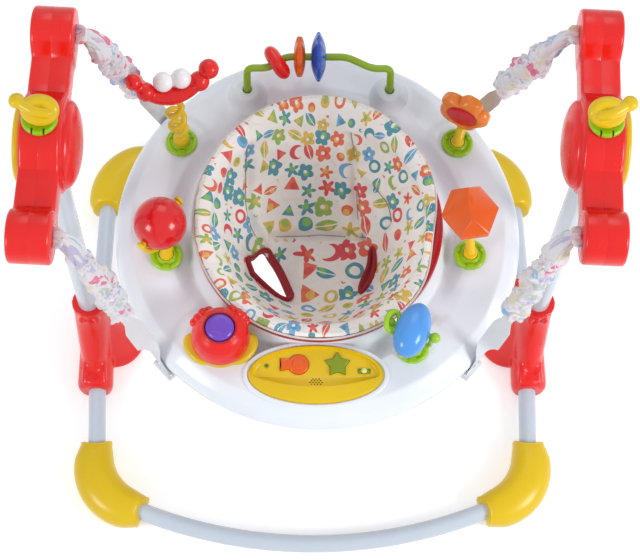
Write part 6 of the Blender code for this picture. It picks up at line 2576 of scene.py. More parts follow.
    def cloth_places(self, mesh: bpy.types.Mesh) -> None:
        """Lay the flat cloth on the bucket, so that the print runs round it without stretch.

        Args:
            mesh: The bucket's mesh.
        """
        places = np.zeros((len(mesh.vertices), 3), dtype=np.float32)
        for i, vertex in enumerate(mesh.vertices):
            p = vertex.co
            radius = math.hypot(p.x, p.y)
            a = math.atan2(p.y, p.x)
            # Down the wall the cloth runs by its height, over the floor by its radius.
            along = (p.z - 0.335) * 1.02 + radius * 0.95
            places[i] = (along * math.cos(a), along * math.sin(a), 0.0)
        keep = mesh.attributes.new("cloth_place", "FLOAT_VECTOR", "POINT")
        keep.data.foreach_set("vector", places.ravel())

    def bindings(self) -> Skin:
        """Red tape round both leg holes, folded down through the pad.

        Returns:
            The skin.
        """
        skin = Skin()
        for line in self.leg_rings().values():
            middle = sum(line, Vector()) / len(line)
            out = (Vector((middle.x, middle.y, 0)).normalized() * 0.62 + Vector((0, 0, -0.78))).normalized()
            for depth, size in ((-0.0018, 0.0030), (0.0022, 0.0034), (0.0068, 0.0036)):
                skin.join(hoop([p + out * depth for p in line], size, 14, out, 1.15))
        return skin

    def round_hem(self, inset: float, lift: float, start: float, end: float, steps: int) -> Ring:
        """Points along the hem between two directions, drawn in and lifted.

        Args:
            inset: How far the points are drawn in.
            lift: How far they are lifted.
            start: First direction.
            end: Last direction.
            steps: Count of steps.

        Returns:
            The points.
        """
        top = self.collar + GAP + self.band
        line = []
        for i in range(steps):
            a = start + (end - start) * i / steps
            size = self.hem(a) - inset
            line.append(Vector((size * math.cos(a), size * math.sin(a), top + lift + self.rise(a))))
        return line

    def piping(self) -> Skin:
        """The sewn edge round the rim."""
        return hoop(self.round_hem(-0.0026, 0.0042, 0.0, 2 * math.pi, 240), 0.0017, 12)

    def stitches(self) -> Skin:
        """A row of short stitches just inside the rim.

        Returns:
            The skin.
        """
        skin = Skin()
        count = 170
        length = 0.60 * 2 * math.pi / count
        for a in full_turn(count):
            skin.join(rod(self.round_hem(0.0048, 0.0106, a, a + length, 3), 0.00050, 6, UP))
        return skin

    def make(self, shop: Workshop) -> None:
        """Build the ring, the pad and its trim.

        Args:
            shop: The workshop that makes the pieces.
        """
        shop.piece("turning_ring", self.ring(), "deep_red_plastic", "seat", "seat_ring", sharp=45.0,
                   slot="red_plastic")
        bucket, threads = self.stuffed(shop)
        mesh = bucket.data
        bpy.data.objects.remove(bucket)
        self.cloth_places(mesh)
        pad = shop.piece("seat_bucket", mesh, "seat_fabric", "seat", "seat_pad", sharp=180.0)
        # Thread rods in the crease bottoms: the sewn seams, with painted crease shade in their darker colour.
        sewn = Skin().join(*[rod(line, 0.00080, 8) for line in threads])
        shop.piece("seam_threads", sewn, "seam_thread", "seat", sharp=180.0, slot="seat_fabric")
        shop.piece("leg_binding", self.bindings(), "red_binding", "seat", sharp=180.0, slot="seat_fabric")
        shop.piece("rim_piping", self.piping(), "cloth_binding", "seat", sharp=180.0, slot="seat_fabric")
        shop.piece("rim_stitching", self.stitches(), "cloth_binding", "seat", sharp=180.0, slot="seat_fabric")


# Toys


@dataclass
class DeckSocket:
    """A toy socket in the deck: a dished ring with a tab at the front and two rests."""

    radius: float = 0.0240
    rise: float = 0.0120
    depth: float = 0.0120
    bore: float = 0.0112

    def skin(self, spot: Vector) -> Skin:
        """The socket at a spot.

        Args:
            spot: Place on the deck.

        Returns:
            The skin.
        """
        r, h = self.radius, self.rise
        profile = [(0.0, -self.depth), (r - 0.002, -self.depth), (r - 0.002, GAP), (r, GAP),
                   (r, h * 0.26), (r * 0.94, h * 0.46), (r * 0.78, h * 0.50), (r * 0.66, h * 0.30),
                   (r * 0.58, h * 0.34), (r * 0.54, h * 0.60), (self.bore, h * 0.66), (self.bore, -0.004),
                   (0.0, -0.004)]
        skin = turned_soft(profile, 0.0016, 64)
        tab = prism([(-0.0060, -r * 0.99), (0.0060, -r * 0.99), (0.0050, -r * 0.66), (-0.0050, -r * 0.66)],
                    0.0006, h * 0.60, 0.0012)
        rest = ball(0.0034, 0.0026, count=14, steps=7)
        return skin.join(tab, rest.at((r * 0.70, r * 0.30, h * 0.42)),
                         rest.at((-r * 0.70, r * 0.30, h * 0.42))).at(spot)

    def make(self, shop: Workshop, name: str, spot: Spot, node: str) -> None:
        """Build the socket of a toy."""
        shop.piece(name, self.skin(spot.on_deck()), "clear_green", "tray", node, slot="green_plastic")

    def plug(self, spot: Vector, top: float = 0.0095) -> Skin:
        """The yellow plug that a toy stands on inside its socket.

        Args:
            spot: Place on the deck.
            top: Height of its top over the deck.

        Returns:
            The skin.
        """
        profile = [(0.0, -0.003), (self.bore - 0.0006, -0.003), (self.bore - 0.0006, top * 0.8),
                   (self.bore * 0.86, top), (0.0, top)]
        return turned_soft(profile, 0.0012, 40).at(spot)


@dataclass
class ToyBar:
    """The bent bar behind the seat with its three spinning beads."""

    radius: float = 0.0055
    span: float = 0.1080
    shift: float = 0.0015
    y: float = 0.2210
    shoulder: float = 0.0600
    crest: float = 0.0685
    shoulder_depth: float = 0.0140
    crest_depth: float = 0.0285
    crest_start: float = -0.0490
    crest_end: float = 0.0430
    left_step: float = 0.0325
    right_step: float = 0.0285
    bend: float = 0.0060
    boss: float = 0.0200

    def corners(self) -> Ring:
        """The corner points of the bar's centreline.

        Returns:
            The points.
        """
        left, right = self.shift - self.span, self.shift + self.span
        elbow = self.boss + self.bend + 0.001
        depth, high = self.shoulder_depth, self.shoulder
        points = [(left, 0.0, -self.boss), (left, 0.0, elbow), (left, depth, high),
                  (left + self.left_step, depth, high), (self.crest_start, self.crest_depth, self.crest),
                  (self.crest_end, self.crest_depth, self.crest), (right - self.right_step, depth, high),
                  (right, depth, high), (right, 0.0, elbow), (right, 0.0, -self.boss)]
        return [Vector(p) + Vector((0.0, self.y, DECK)) for p in points]

    def on_part(self, first: int, share: float) -> tuple[Vector, Vector]:
        """A point on one straight part and that part's direction."""
        start, end = self.corners()[first:first + 2]
        return start.lerp(end, share), (end - start).normalized()

    def red_bead(self) -> Skin:
        """A ribbed red bead.

        Returns:
            The skin.
        """
        rings = []
        for i in range(33):
            t = math.pi * i / 32
            size = 0.0085 + 0.0200 * math.sin(t) ** 0.8
            z = -0.0115 * math.cos(t)
            rings.append(lobed(72, lambda a: size * (1.0 + 0.035 * math.cos(6 * a) * math.sin(t)), z))
        return self.bored(rings)

    def orange_bead(self) -> Skin:
        """A lens-shaped orange gear.

        Returns:
            The skin.
        """
        profile = [(0.0100, -0.0088), (0.0160, -0.0082), (0.0240, -0.0060), (0.0290, -0.0040),
                   (0.0298, -0.0026), (0.0298, 0.0026), (0.0290, 0.0040), (0.0240, 0.0060), (0.0160, 0.0082),
                   (0.0100, 0.0088)]
        return self.bored(self.cogged(eased_flat(profile, 0.0014), 8, 0.045, 0.016, 0.008))

    def blue_bead(self) -> Skin:
        """A tall blue bead like a thick lens.

        Returns:
            The skin.
        """
        profile = [(0.0095, -0.0112), (0.0150, -0.0108), (0.0220, -0.0088), (0.0285, -0.0060),
                   (0.0330, -0.0036), (0.0362, -0.0018), (0.0362, 0.0018), (0.0330, 0.0036), (0.0285, 0.0060),
                   (0.0220, 0.0088), (0.0150, 0.0108), (0.0095, 0.0112)]
        return self.bored(self.cogged(eased_flat(profile, 0.0020), 12, 0.03, 0.014, 0.010))

    @staticmethod
    def cogged(profile: Sequence[Sequence[float]], teeth: int, depth: float, start: float,
               fade: float) -> list[Ring]:
        """Rings with shallow teeth that grow towards the rim.

        Args:
            profile: Radius and height of each ring.
            teeth: Count of teeth.
            depth: Share of the radius by which they stand out.
            start: Radius at which they begin.
            fade: Width over which they grow to their full depth.

        Returns:
            One ring for each point of the profile.
        """
        def size(radius: float, angle: float) -> float:
            """The radius at a direction."""
            return radius * (1.0 + depth * math.cos(teeth * angle) * held((radius - start) / fade))

        return [lobed(96, lambda a, r=r: size(r, a), z) for r, z in profile]

    def bored(self, rings: list[Ring]) -> Skin:
        """Close bead rings round the bore for the bar.

        Args:
            rings: The outer rings, from end to end.

        Returns:
            The skin.
        """
        bore = self.radius + 0.0007
        count = len(rings[0])
        inner = [circle(bore, count, rings[-1][0].z - 0.0004), circle(bore, count, rings[0][0].z + 0.0004)]
        return loft(rings + inner, closed=True)

    def make(self, shop: Workshop) -> None:
        """Build the bar and the beads.

        Args:
            shop: The workshop that makes the pieces.
        """
        path = eased([tuple(p) for p in self.corners()], 0.0105, 7)
        shop.piece("bent_bar", rod(path, self.radius, 24, Vector((0, 1, 0.2))), "lime_plastic", "tray",
                   "toy_bar", sharp=60.0)
        beads = (("bead_red", self.red_bead(), "red_plastic", 3, 0.50),
                 ("bead_orange", self.orange_bead(), "orange_plastic", 4, 0.23),
                 ("bead_blue", self.blue_bead(), "navy_plastic", 4, 0.54))
        for node, skin, finish, first, share in beads:
            point, along = self.on_part(first, share)
            shop.piece(f"{node}_turned", skin.moved(aim(along, point)), finish, node, node, sharp=50.0)


@dataclass
class Rattle:
    """A wobbling red crescent with ball ends and two white balls, on a spiral stem."""

    head: tuple[float, float, float] = (-0.2113, 0.1389, 0.6310)
    ball: float = 0.0120
    spread: float = 0.0540
    curl: float = 0.0345
    coil: float = 0.0108
    wire: float = 0.0050
    turns: float = 2.5

    def on_arc(self, t: float) -> Vector:
        """A point on the crescent's middle line, from -1 to 1.

        Args:
            t: Place along it, from -1 to 1.

        Returns:
            The point.
        """
        across = Vector((0.96, 0.20, 0.0)).normalized()
        rise = Vector((0.0, 0.45, 0.89))
        return Vector(self.head) + across * self.spread * t + rise * self.curl * abs(t) ** 2.4

    def crescent(self) -> Skin:
        """The red crescent and its ball ends.

        Returns:
            The skin.
        """
        arc = [self.on_arc(-1 + 2 * i / 40) for i in range(41)]
        skin = rod(arc, lambda share: self.ball * (1.16 - 0.95 * abs(share - 0.5)), 28, soft=True)
        for t, size in ((-1.0, 0.0124), (-0.70, 0.0142), (0.74, 0.0150), (1.0, 0.0148)):
            skin.join(ball(size).at(self.on_arc(t)))
        return skin

    def white_balls(self) -> Skin:
        """The two plain white balls on the crescent's upper edge.

        Returns:
            The skin.
        """
        skin = Skin()
        rise = Vector((0.0, 0.45, 0.89))
        for t in (-0.22, 0.26):
            skin.join(ball(0.0148, count=40, steps=20).at(self.on_arc(t) + rise * 0.0255))
        return skin

    def stem(self) -> Skin:
        """The spiral of thick yellow rod, with its foot.

        Returns:
            The skin.
        """
        base = Spot.CRAB.on_deck(SOCKET_FLOOR)
        head = Vector(self.head)
        along = (head - base).normalized()
        reach = (head - base).length - self.ball - GAP
        frame = aim(along, base)
        total = int(self.turns * 24)
        low, high = 0.034, reach - 0.008
        helix = [frame @ Vector((0, 0, low - 0.014))]
        for i in range(total + 1):
            a = 2 * math.pi * i / 24
            size = self.coil * min(1.0, (i + 2) / 9, (total - i + 2) / 9)
            helix.append(frame
                         @ Vector((size * math.cos(a), size * math.sin(a), low + (high - low) * i / total)))
        helix += [frame @ Vector((0, 0, reach - 0.003)), frame @ Vector((0, 0, reach))]
        skin = rod(curve(helix, 2), self.wire, 16)
        foot = turned_soft([(0.0, 0.0), (0.0070, 0.0), (0.0070, 0.004), (0.0104, 0.0065), (0.0106, 0.0125),
                            (0.0124, 0.0145), (0.0118, 0.024), (0.0084, 0.031), (0.0, 0.033)], 0.003, 36, 4)
        return skin.join(foot.at(base))

    def make(self, shop: Workshop) -> None:
        """Build the socket, the stem and the rattle.

        Args:
            shop: The workshop that makes the pieces.
        """
        DeckSocket().make(shop, "rattle_socket", Spot.CRAB, "crab_socket")
        shop.piece("rattle_stem", shop.melted(self.stem(), voxel=0.0011, rounds=4), "yellow_plastic", "tray",
                   "crab_spring", sharp=70.0)
        shop.piece("rattle_crescent", shop.melted(self.crescent(), voxel=0.0012, rounds=5), "red_plastic",
                   "crab", "crab_rattle", sharp=70.0)
        shop.piece("rattle_white_balls", self.white_balls(), "white_gloss", "crab", sharp=60.0,
                   slot="white_plastic")


@dataclass
class SpinBall:
    """A pearly red ball on an axle, held in a yellow yoke over its green socket."""

    radius: float = 0.0385
    rise: float = 0.0670
    axle: tuple[float, float, float] = (0.576, 0.817, 0.0)

    def make(self, shop: Workshop) -> None:
        """Build the ball, the yoke and the socket.

        Args:
            shop: The workshop that makes the pieces.
        """
        centre = Spot.BALL.on_deck(self.rise) + Vector((-0.006, 0.022, 0.0))
        axle = Vector(self.axle).normalized()
        foot = Spot.BALL.on_deck(SOCKET_FLOOR)
        toward = foot - centre
        down = (toward - axle * toward.dot(axle)).normalized()
        arm = self.radius + 0.0050
        hoop_path = [centre + axle * arm * math.cos(a) + down * arm * math.sin(a)
                     for a in (math.pi * i / 48 for i in range(49))]
        yoke = rod(hoop_path, 0.0042, 20, soft=True)
        yoke.join(rod(curve([foot, Spot.BALL.on_deck(0.006), centre + down * (arm + 0.001)], 6),
                      lambda share: 0.0106 - 0.0022 * share, 28), DeckSocket().plug(Spot.BALL.on_deck()))
        for sign in (-1, 1):
            pin = [centre + axle * sign * (arm + 0.0040), centre + axle * sign * (self.radius - 0.004)]
            yoke.join(rod(pin, 0.0045, 20))
            cap = turned_soft([(0.0, -0.003), (0.0078, -0.003), (0.0078, 0.0012), (0.0, 0.0022)], 0.0012, 28)
            yoke.join(cap.moved(aim(axle * sign, centre + axle * sign * (arm + 0.0020))))
        shop.piece("ball_yoke", shop.melted(yoke, voxel=0.0009, rounds=3), "yellow_plastic", "tray",
                   "ball_socket", sharp=70.0)
        DeckSocket().make(shop, "ball_dish", Spot.BALL, "ball_socket")
        sphere = ball(self.radius, count=96, steps=48).moved(aim(axle, centre))
        piece = shop.piece("spinning_sphere", sphere, "pearl_red", "ball", "spin_ball", slot="red_plastic",
                           sharp=60.0)
        shop.bore_ends(piece, centre, axle, self.radius, 0.0053)


@dataclass
class Knob:
    """The domed knob with knobbly clusters, its push button and the winged base."""

    radius: float = 0.0420
    hub: float = 0.0100
    hub_top: float = 0.0340
    push: float = 0.0205
    crown: float = 0.0450
    foot: float = 0.0106

    def base(self) -> Skin:
        """The round base with its two wings.

        Returns:
            The skin.
        """
        plug, wide = self.radius * 0.9, self.radius * 0.96
        skin = turned_soft([(0.0, -0.012), (plug, -0.012), (plug, GAP), (wide, GAP), (wide, 0.005),
                            (wide - 0.004, 0.010), (self.hub, 0.010), (self.hub, self.hub_top),
                            (0.0, self.hub_top)],
                           0.0012, 72)
        for sign in (-1, 1):
            wing = turned_soft([(0.0, GAP), (0.0170, GAP), (0.0182, 0.0048), (0.0150, 0.0090),
                                (0.0, 0.0099)], 0.0030, 48, 5)
            turn = Matrix.Rotation(-sign * math.radians(38), 4, "Z") @ Matrix.Diagonal((1.0, 1.55, 1.0, 1.0))
            skin.join(wing.moved(shift(sign * 0.0315, -0.0125, 0) @ turn))
        return skin.at(Spot.TUMBLER.on_deck())

    def body(self) -> Skin:
        """The domed body with clusters of small knobs at its shoulders.

        Returns:
            The skin.
        """
        foot = self.foot
        crown = foot + self.crown
        well, r = self.push + 0.0009, self.radius
        outer = [(r * 0.93, foot), (r * 0.985, foot + 0.002), (r, foot + 0.006), (r * 0.995, foot + 0.014),
                 (r * 0.95, foot + 0.023), (r * 0.87, foot + 0.031), (r * 0.75, foot + 0.038),
                 (r * 0.64, foot + 0.0425), (well + 0.0035, crown), (well + 0.0010, crown + 0.0004),
                 (well, crown - 0.002)]
        inner = [(well, self.hub_top + 0.0006), (self.hub + 0.0006, self.hub_top + 0.0006),
                 (self.hub + 0.0006, foot)]
        skin = turned(eased_flat(outer + inner, 0.0018), 80, closed=True)
        for middle in (math.radians(50), math.radians(134)):
            for step, height, size in ((-0.34, 0.013, 0.0074), (-0.12, 0.0165, 0.0080),
                                       (0.12, 0.0135, 0.0078), (0.34, 0.017, 0.0070), (-0.02, 0.0265, 0.0066),
                                       (0.22, 0.0260, 0.0060)):
                a = middle + step
                reach = r * (0.985 if height < 0.02 else 0.90)
                spot = (reach * math.cos(a), reach * math.sin(a), foot + height)
                skin.join(ball(size, count=20, steps=10).at(spot))
        return skin.at(Spot.TUMBLER.on_deck())

    def button(self) -> Skin:
        """The push button with a shallow star pressed in its crown.

        Returns:
            The skin.
        """
        crown = self.foot + self.crown
        low = self.hub_top + 0.0006 + 0.0020 + 0.0002
        rings: list[Ring] = [[Vector((0, 0, low))]]
        profile = [(self.push, low), (self.push, crown + 0.0012), (self.push * 0.93, crown + 0.0040),
                   (self.push * 0.80, crown + 0.0058), (self.push * 0.55, crown + 0.0066),
                   (self.push * 0.50, crown + 0.0062), (self.push * 0.25, crown + 0.0064)]
        for r, z in eased_flat(profile, 0.0016, 4):
            wave = 0.10 if self.push * 0.3 < r < self.push * 0.62 else 0.0
            rings.append(lobed(80, lambda a: r * (1.0 + wave * math.cos(5 * a)), z))
        rings.append([Vector((0, 0, crown + 0.0066))])
        return loft(rings).at(Spot.TUMBLER.on_deck())

    def make(self, shop: Workshop) -> None:
        """Build the knob.

        Args:
            shop: The workshop that makes the pieces.
        """
        shop.piece("knob_base", self.base(), "yellow_plastic", "tray", "tumbler_base", sharp=50.0)
        shop.piece("knob_dome", self.body(), "red_plastic", "dome", "tumbler_dome", sharp=50.0)
        shop.piece("knob_button", self.button(), "purple_plastic", "dome_button", "tumbler_button",
                   sharp=60.0)
        well = self.push + 0.0024
        top = self.foot + self.crown
        rim = [Spot.TUMBLER.on_deck(top + 0.0002) + Vector((well * math.cos(a), well * math.sin(a), 0))
               for a in full_turn(72)]
        shop.piece("knob_rim", hoop(rim, 0.0017, 12), "deep_red_plastic", "dome", slot="red_plastic")


@dataclass
class Egg:
    """A blue egg that tumbles between the arms of a green fork."""

    length: float = 0.0420
    radius: float = 0.0248
    rise: float = 0.0630
    wire: float = 0.0036
    axle: tuple[float, float, float] = (0.936, -0.352, 0.0)

    def make(self, shop: Workshop) -> None:
        """Build the egg and the fork.

        Args:
            shop: The workshop that makes the pieces.
        """
        centre = Spot.EGG.on_deck(self.rise) + Vector((-0.004, 0.004, 0.0))
        axle = Vector(self.axle).normalized()
        long_axis = Vector((-axle.y, axle.x, 0.0))
        arm = self.radius + self.wire + 0.0006
        low = centre.z - self.length - self.wire - 0.0010
        base = Vector((centre.x, centre.y, low))
        fork = Skin()
        for sign in (-1, 1):
            tip = centre + axle * sign * arm
            bend = base + axle * sign * arm * 0.62
            shoulder = Vector((tip.x, tip.y, low + 0.012))
            path = eased([tuple(p) for p in (base - axle * sign * 0.004, bend, shoulder, tip)], 0.012, 6)
            fork.join(rod(path, self.wire, 20, long_axis, soft=True))
            pin = [centre + axle * sign * (arm + 0.002), centre + axle * sign * (self.radius - 0.004)]
            fork.join(rod(pin, 0.0040, 20))
            fork.join(ball(0.0078).at(centre + axle * sign * (arm + 0.0045)))
        fork.join(rod([Spot.EGG.on_deck(-0.006), Spot.EGG.on_deck(0.002), base - UP * 0.004], 0.0078, 28))
        shop.piece("egg_arms", shop.melted(fork, voxel=0.0009, rounds=3), "clear_green", "tray", "egg_fork",
                   sharp=70.0, slot="green_plastic")
        loop_centre = centre - axle * (arm - 0.008) + UP * 0.001
        loop = [loop_centre + long_axis * 0.0150 * math.cos(a)
                + (UP * 0.55 - axle * 0.83) * 0.0105 * (1 + math.sin(a))
                for a in full_turn(48)]
        shop.piece("egg_loop", hoop(loop, 0.0040, 16, axle), "clear_green", "tray", slot="green_plastic",
                   sharp=70.0)
        DeckSocket().make(shop, "egg_dish", Spot.EGG, "egg_fork")
        rings = []
        for i in range(49):
            t = math.pi * i / 48
            size = self.radius * math.sin(t) * (1.0 + 0.07 * math.cos(t))
            rings.append(circle(size, 80, -self.length * math.cos(t)) if 0 < i < 48 else
                         [Vector((0, 0, -self.length * math.cos(t)))])
        egg = shop.piece("egg_shell", loft(rings).moved(aim(long_axis, centre)), "sky_plastic", "egg", "egg",
                         sharp=60.0)
        shop.bore_ends(egg, centre, axle, self.radius, 0.0047)


@dataclass
class FacetSpinner:
    """A six-sided faceted cup that turns on a leaning yellow stem."""

    radius: float = 0.0420
    length: float = 0.0480
    stem: float = 0.0700
    lean: tuple[float, float, float] = (-0.08, 0.34, 0.94)

    def body(self) -> Skin:
        """The faceted body: six flat sides that rise to a ridge, with slightly eased edges.

        Returns:
            The skin.
        """
        sections = [(0.50, 0.50, 0.0, 0.0), (0.94, 0.96, 0.09, 0.34), (1.0, 1.00, 0.12, 0.52),
                    (0.07, 0.58, 0.30, 1.0)]
        lines = []
        for first, last in zip(sections, sections[1:]):
            for share in (0.03, 0.5, 0.97):
                lines.append([a + (b - a) * share for a, b in zip(first, last)])
        rings = []
        for wide, deep, back, height in [(0.44, 0.44, 0.0, 0.0)] + lines + [(0.04, 0.54, 0.30, 1.0)]:
            ring = []
            for side in range(6):
                # slot: The record's slot, where the finish isn't one; not used.
                for share in (0.035, 0.5, 0.965):
                    a, b = math.pi / 3 * side, math.pi / 3 * (side + 1)
                    edge = Vector((math.cos(b), math.sin(b), 0))
                    spot = Vector((math.cos(a), math.sin(a), 0)).lerp(edge, share)
                    ring.append(Vector((self.radius * (wide * spot.x + 0.05 * height),
                                        self.radius * (deep * spot.y + back),
                                        self.length * height
                                        - 0.34 * self.radius * spot.y * min(1.0, height * 3))))
            rings.append(ring)
        return loft(rings)

    def make(self, shop: Workshop) -> None:
        """Build the spinner, its stem and its socket.

        Args:
            shop: The workshop that makes the pieces.
        """
        foot = Spot.FACET.on_deck(0.004)
        lean = Vector(self.lean).normalized()
        neck = foot + lean * self.stem
        shop.piece("facet_cup", self.body().moved(aim(lean, neck, math.radians(-6))), "orange_plastic",
                   "facet_spinner", "facet_spinner", sharp=12.0)
        stem = rod(curve([Spot.FACET.on_deck(-0.006), foot + UP * 0.004, neck.lerp(foot, 0.5),
                          neck - lean * 0.0006],
                         8), lambda share: 0.0108 - 0.0046 * min(1.0, share * 1.6), 32)
        collar = turned_soft([(0.0, -0.004), (0.0092, -0.004), (0.0092, 0.0), (0.0, 0.0)], 0.0012, 32)
        stem.join(collar.moved(aim(lean, neck - lean * 0.0010)),
                  DeckSocket().plug(Spot.FACET.on_deck(), 0.014))
        shop.piece("facet_stem", stem, "amber_plastic", "tray", "facet_socket", sharp=50.0,
                   slot="yellow_plastic")
        DeckSocket().make(shop, "facet_dish", Spot.FACET, "facet_socket")


@dataclass
class Flower:
    """A thick-petalled spinner with a red half-ball at its heart."""

    radius: float = 0.0400
    thick: float = 0.0200
    rise: float = 0.0620
    face: tuple[float, float, float] = (-0.42, -0.91, 0.03)

    def petals(self) -> Skin:
        """Five puffy petals round a dished middle.

        Returns:
            The skin.
        """
        rings = []
        stations = [(0.26, -0.50), (0.60, -0.54), (0.85, -0.50), (0.97, -0.38), (1.0, -0.16), (0.97, 0.06),
                    (0.90, 0.26), (0.80, 0.42), (0.71, 0.50), (0.64, 0.48), (0.60, 0.40), (0.30, 0.36),
                    (0.20, 0.36)]
        for p in curve([Vector((*s, 0.0)) for s in stations], 4):
            ring = []
            for a in full_turn(120):
                edge = held((p.x - 0.62) / 0.30)
                lobe = 1.0 + (abs(math.cos(2.5 * a)) ** 0.8 - 0.78) * 0.26 * edge
                puff = 1.0 + 0.16 * (abs(math.cos(2.5 * a)) - 0.6) * edge
                size = self.radius * p.x * min(lobe, 1.0 / max(p.x, 0.5)) * 0.985
                ring.append(Vector((size * math.cos(a), size * math.sin(a), self.thick * p.y * puff)))
            rings.append(ring)
        return loft(rings)

    def make(self, shop: Workshop) -> None:
        """Build the flower, its stem and its socket.

        Args:
            shop: The workshop that makes the pieces.
        """
        face = Vector(self.face).normalized()
        centre = Spot.FLOWER.on_deck(self.rise) + Vector((0.005, 0.020, 0.0))
        back = centre - face * (self.thick / 2 + 0.0006)
        heel = back - face * 0.0120 + Vector((0.0, 0.0, -0.004))
        shop.piece("flower_petals", self.petals().moved(aim(face, centre)), "apricot_plastic", "flower",
                   "flower", sharp=60.0, slot="orange_plastic")
        heart = turned([*dome(self.radius * 0.60, self.thick * 0.16, self.thick * 0.37)], 56)
        heart_skin = heart.moved(aim(face, centre))
        shop.piece("flower_heart", heart_skin, "heart_red", "flower", sharp=60.0, slot="red_plastic")
        stem = rod(curve([Spot.FLOWER.on_deck(-0.006), Spot.FLOWER.on_deck(0.008), heel - UP * 0.026,
                          heel], 6),
                   0.0075, 28)
        stem.join(rod([back - face * 0.017, back], 0.0090, 28), DeckSocket().plug(Spot.FLOWER.on_deck()))
        shop.piece("flower_stem", shop.melted(stem, voxel=0.0010, rounds=4), "yellow_plastic", "tray",
                   "flower_socket", sharp=70.0)
        DeckSocket().make(shop, "flower_dish", Spot.FLOWER, "flower_socket")


# Studio


@dataclass
class Studio:
    """A pale floor, soft lamps and the camera at the photograph's angle."""

    eye: tuple[float, float, float] = (-0.05985, -1.0694, 2.8320)
    lens: float = 97.90
    elevation: float = math.radians(67.498)
    yaw: float = math.radians(3.637)
    roll: float = math.radians(3.471)
    daylight: float = 0.62
    target: tuple[float, float, float] = (0.0, 0.0, 0.4)
    floor_half: float = 6.0
    floor_drop: float = 0.0005
    lamps: tuple[tuple[str, tuple[float, float, float], float, float], ...] = (
        ("key", (2.30, -1.30, 1.80), 1.0, 42.0), ("fill", (-2.20, -1.50, 1.70), 0.9, 26.0),
        ("back", (0.2, 1.9, 2.6), 1.4, 10.0))

    def camera(self) -> None:
        """Set up the camera."""
        a, e, r = self.yaw, self.elevation, self.roll
        ahead = Vector((math.sin(a) * math.cos(e), math.cos(a) * math.cos(e), -math.sin(e)))
        right = Vector((math.cos(a), -math.sin(a), 0.0))
        up = right.cross(ahead)
        side = right * math.cos(r) + up * math.sin(r)
        over = up * math.cos(r) - right * math.sin(r)
        data = bpy.data.cameras.new("view")
        data.sensor_width = 36.0
        data.sensor_fit = "HORIZONTAL"
        data.lens = self.lens
        data.clip_end = 50.0
        obj = shown("view", data)
        turn = Matrix((side, over, -ahead)).transposed().to_4x4()
        obj.matrix_world = Matrix.Translation(self.eye) @ turn
        bpy.context.scene.camera = obj

    def lamp(self, name: str, place: Sequence[float], size: float, power: float) -> None:
        """Hang one square soft lamp that faces the tray.

        Args:
            name: The lamp's name.
            place: Where it hangs.
            size: Length of its sides.
            power: Its power in watts.
        """
        data = bpy.data.lights.new(name, "AREA")
        data.shape = "SQUARE"
        data.size = size
        data.energy = power
        shown(name, data).matrix_world = aim(Vector(place) - Vector(self.target), place)

    def floor(self, shop: Workshop) -> None:
        """Lay the floor.

        Args:
            shop: The workshop that makes the pieces.
        """
        half = self.floor_half
        corners = [Vector((x * half, y * half, -self.floor_drop))
                   for x, y in ((-1, -1), (1, -1), (1, 1), (-1, 1))]
        obj = shown("floor", Skin(corners, [(0, 1, 2, 3)]).mesh("floor", outward=False))
        obj.data.materials.append(shop.material("ground"))

    def make(self, shop: Workshop) -> None:
        """Build the whole studio.

        Args:
            shop: The workshop that makes the pieces.
        """
        scene = bpy.context.scene
        scene.view_settings.view_transform = "Standard"
        world = bpy.data.worlds.new("studio")
        scene.world = world
        book = Book("studio", world)
        light = book.node("ShaderNodeBackground", {}, {0: (0.95, 0.97, 1.0, 1.0), 1: self.daylight})
        white = book.node("ShaderNodeBackground", {}, {0: (1.0, 1.0, 1.0, 1.0), 1: 1.0})
        both = book.node("ShaderNodeMixShader", {},
                         {0: book.to_lens(), 1: light.outputs[0], 2: white.outputs[0]})
        book.node("ShaderNodeOutputWorld", {}, {"Surface": both.outputs[0]})
        for lamp in self.lamps:
            self.lamp(*lamp)
        self.floor(shop)
        self.camera()


CORAL = srgb(236, 98, 60)
SCARLET = srgb(222, 44, 62)
ROSE = srgb(214, 72, 96)
TEAL = srgb(44, 148, 168)
LEAF_GREEN = srgb(146, 186, 76)
LIME = srgb(132, 196, 60)
SUN = srgb(228, 190, 66)
POWDER = srgb(100, 172, 218)

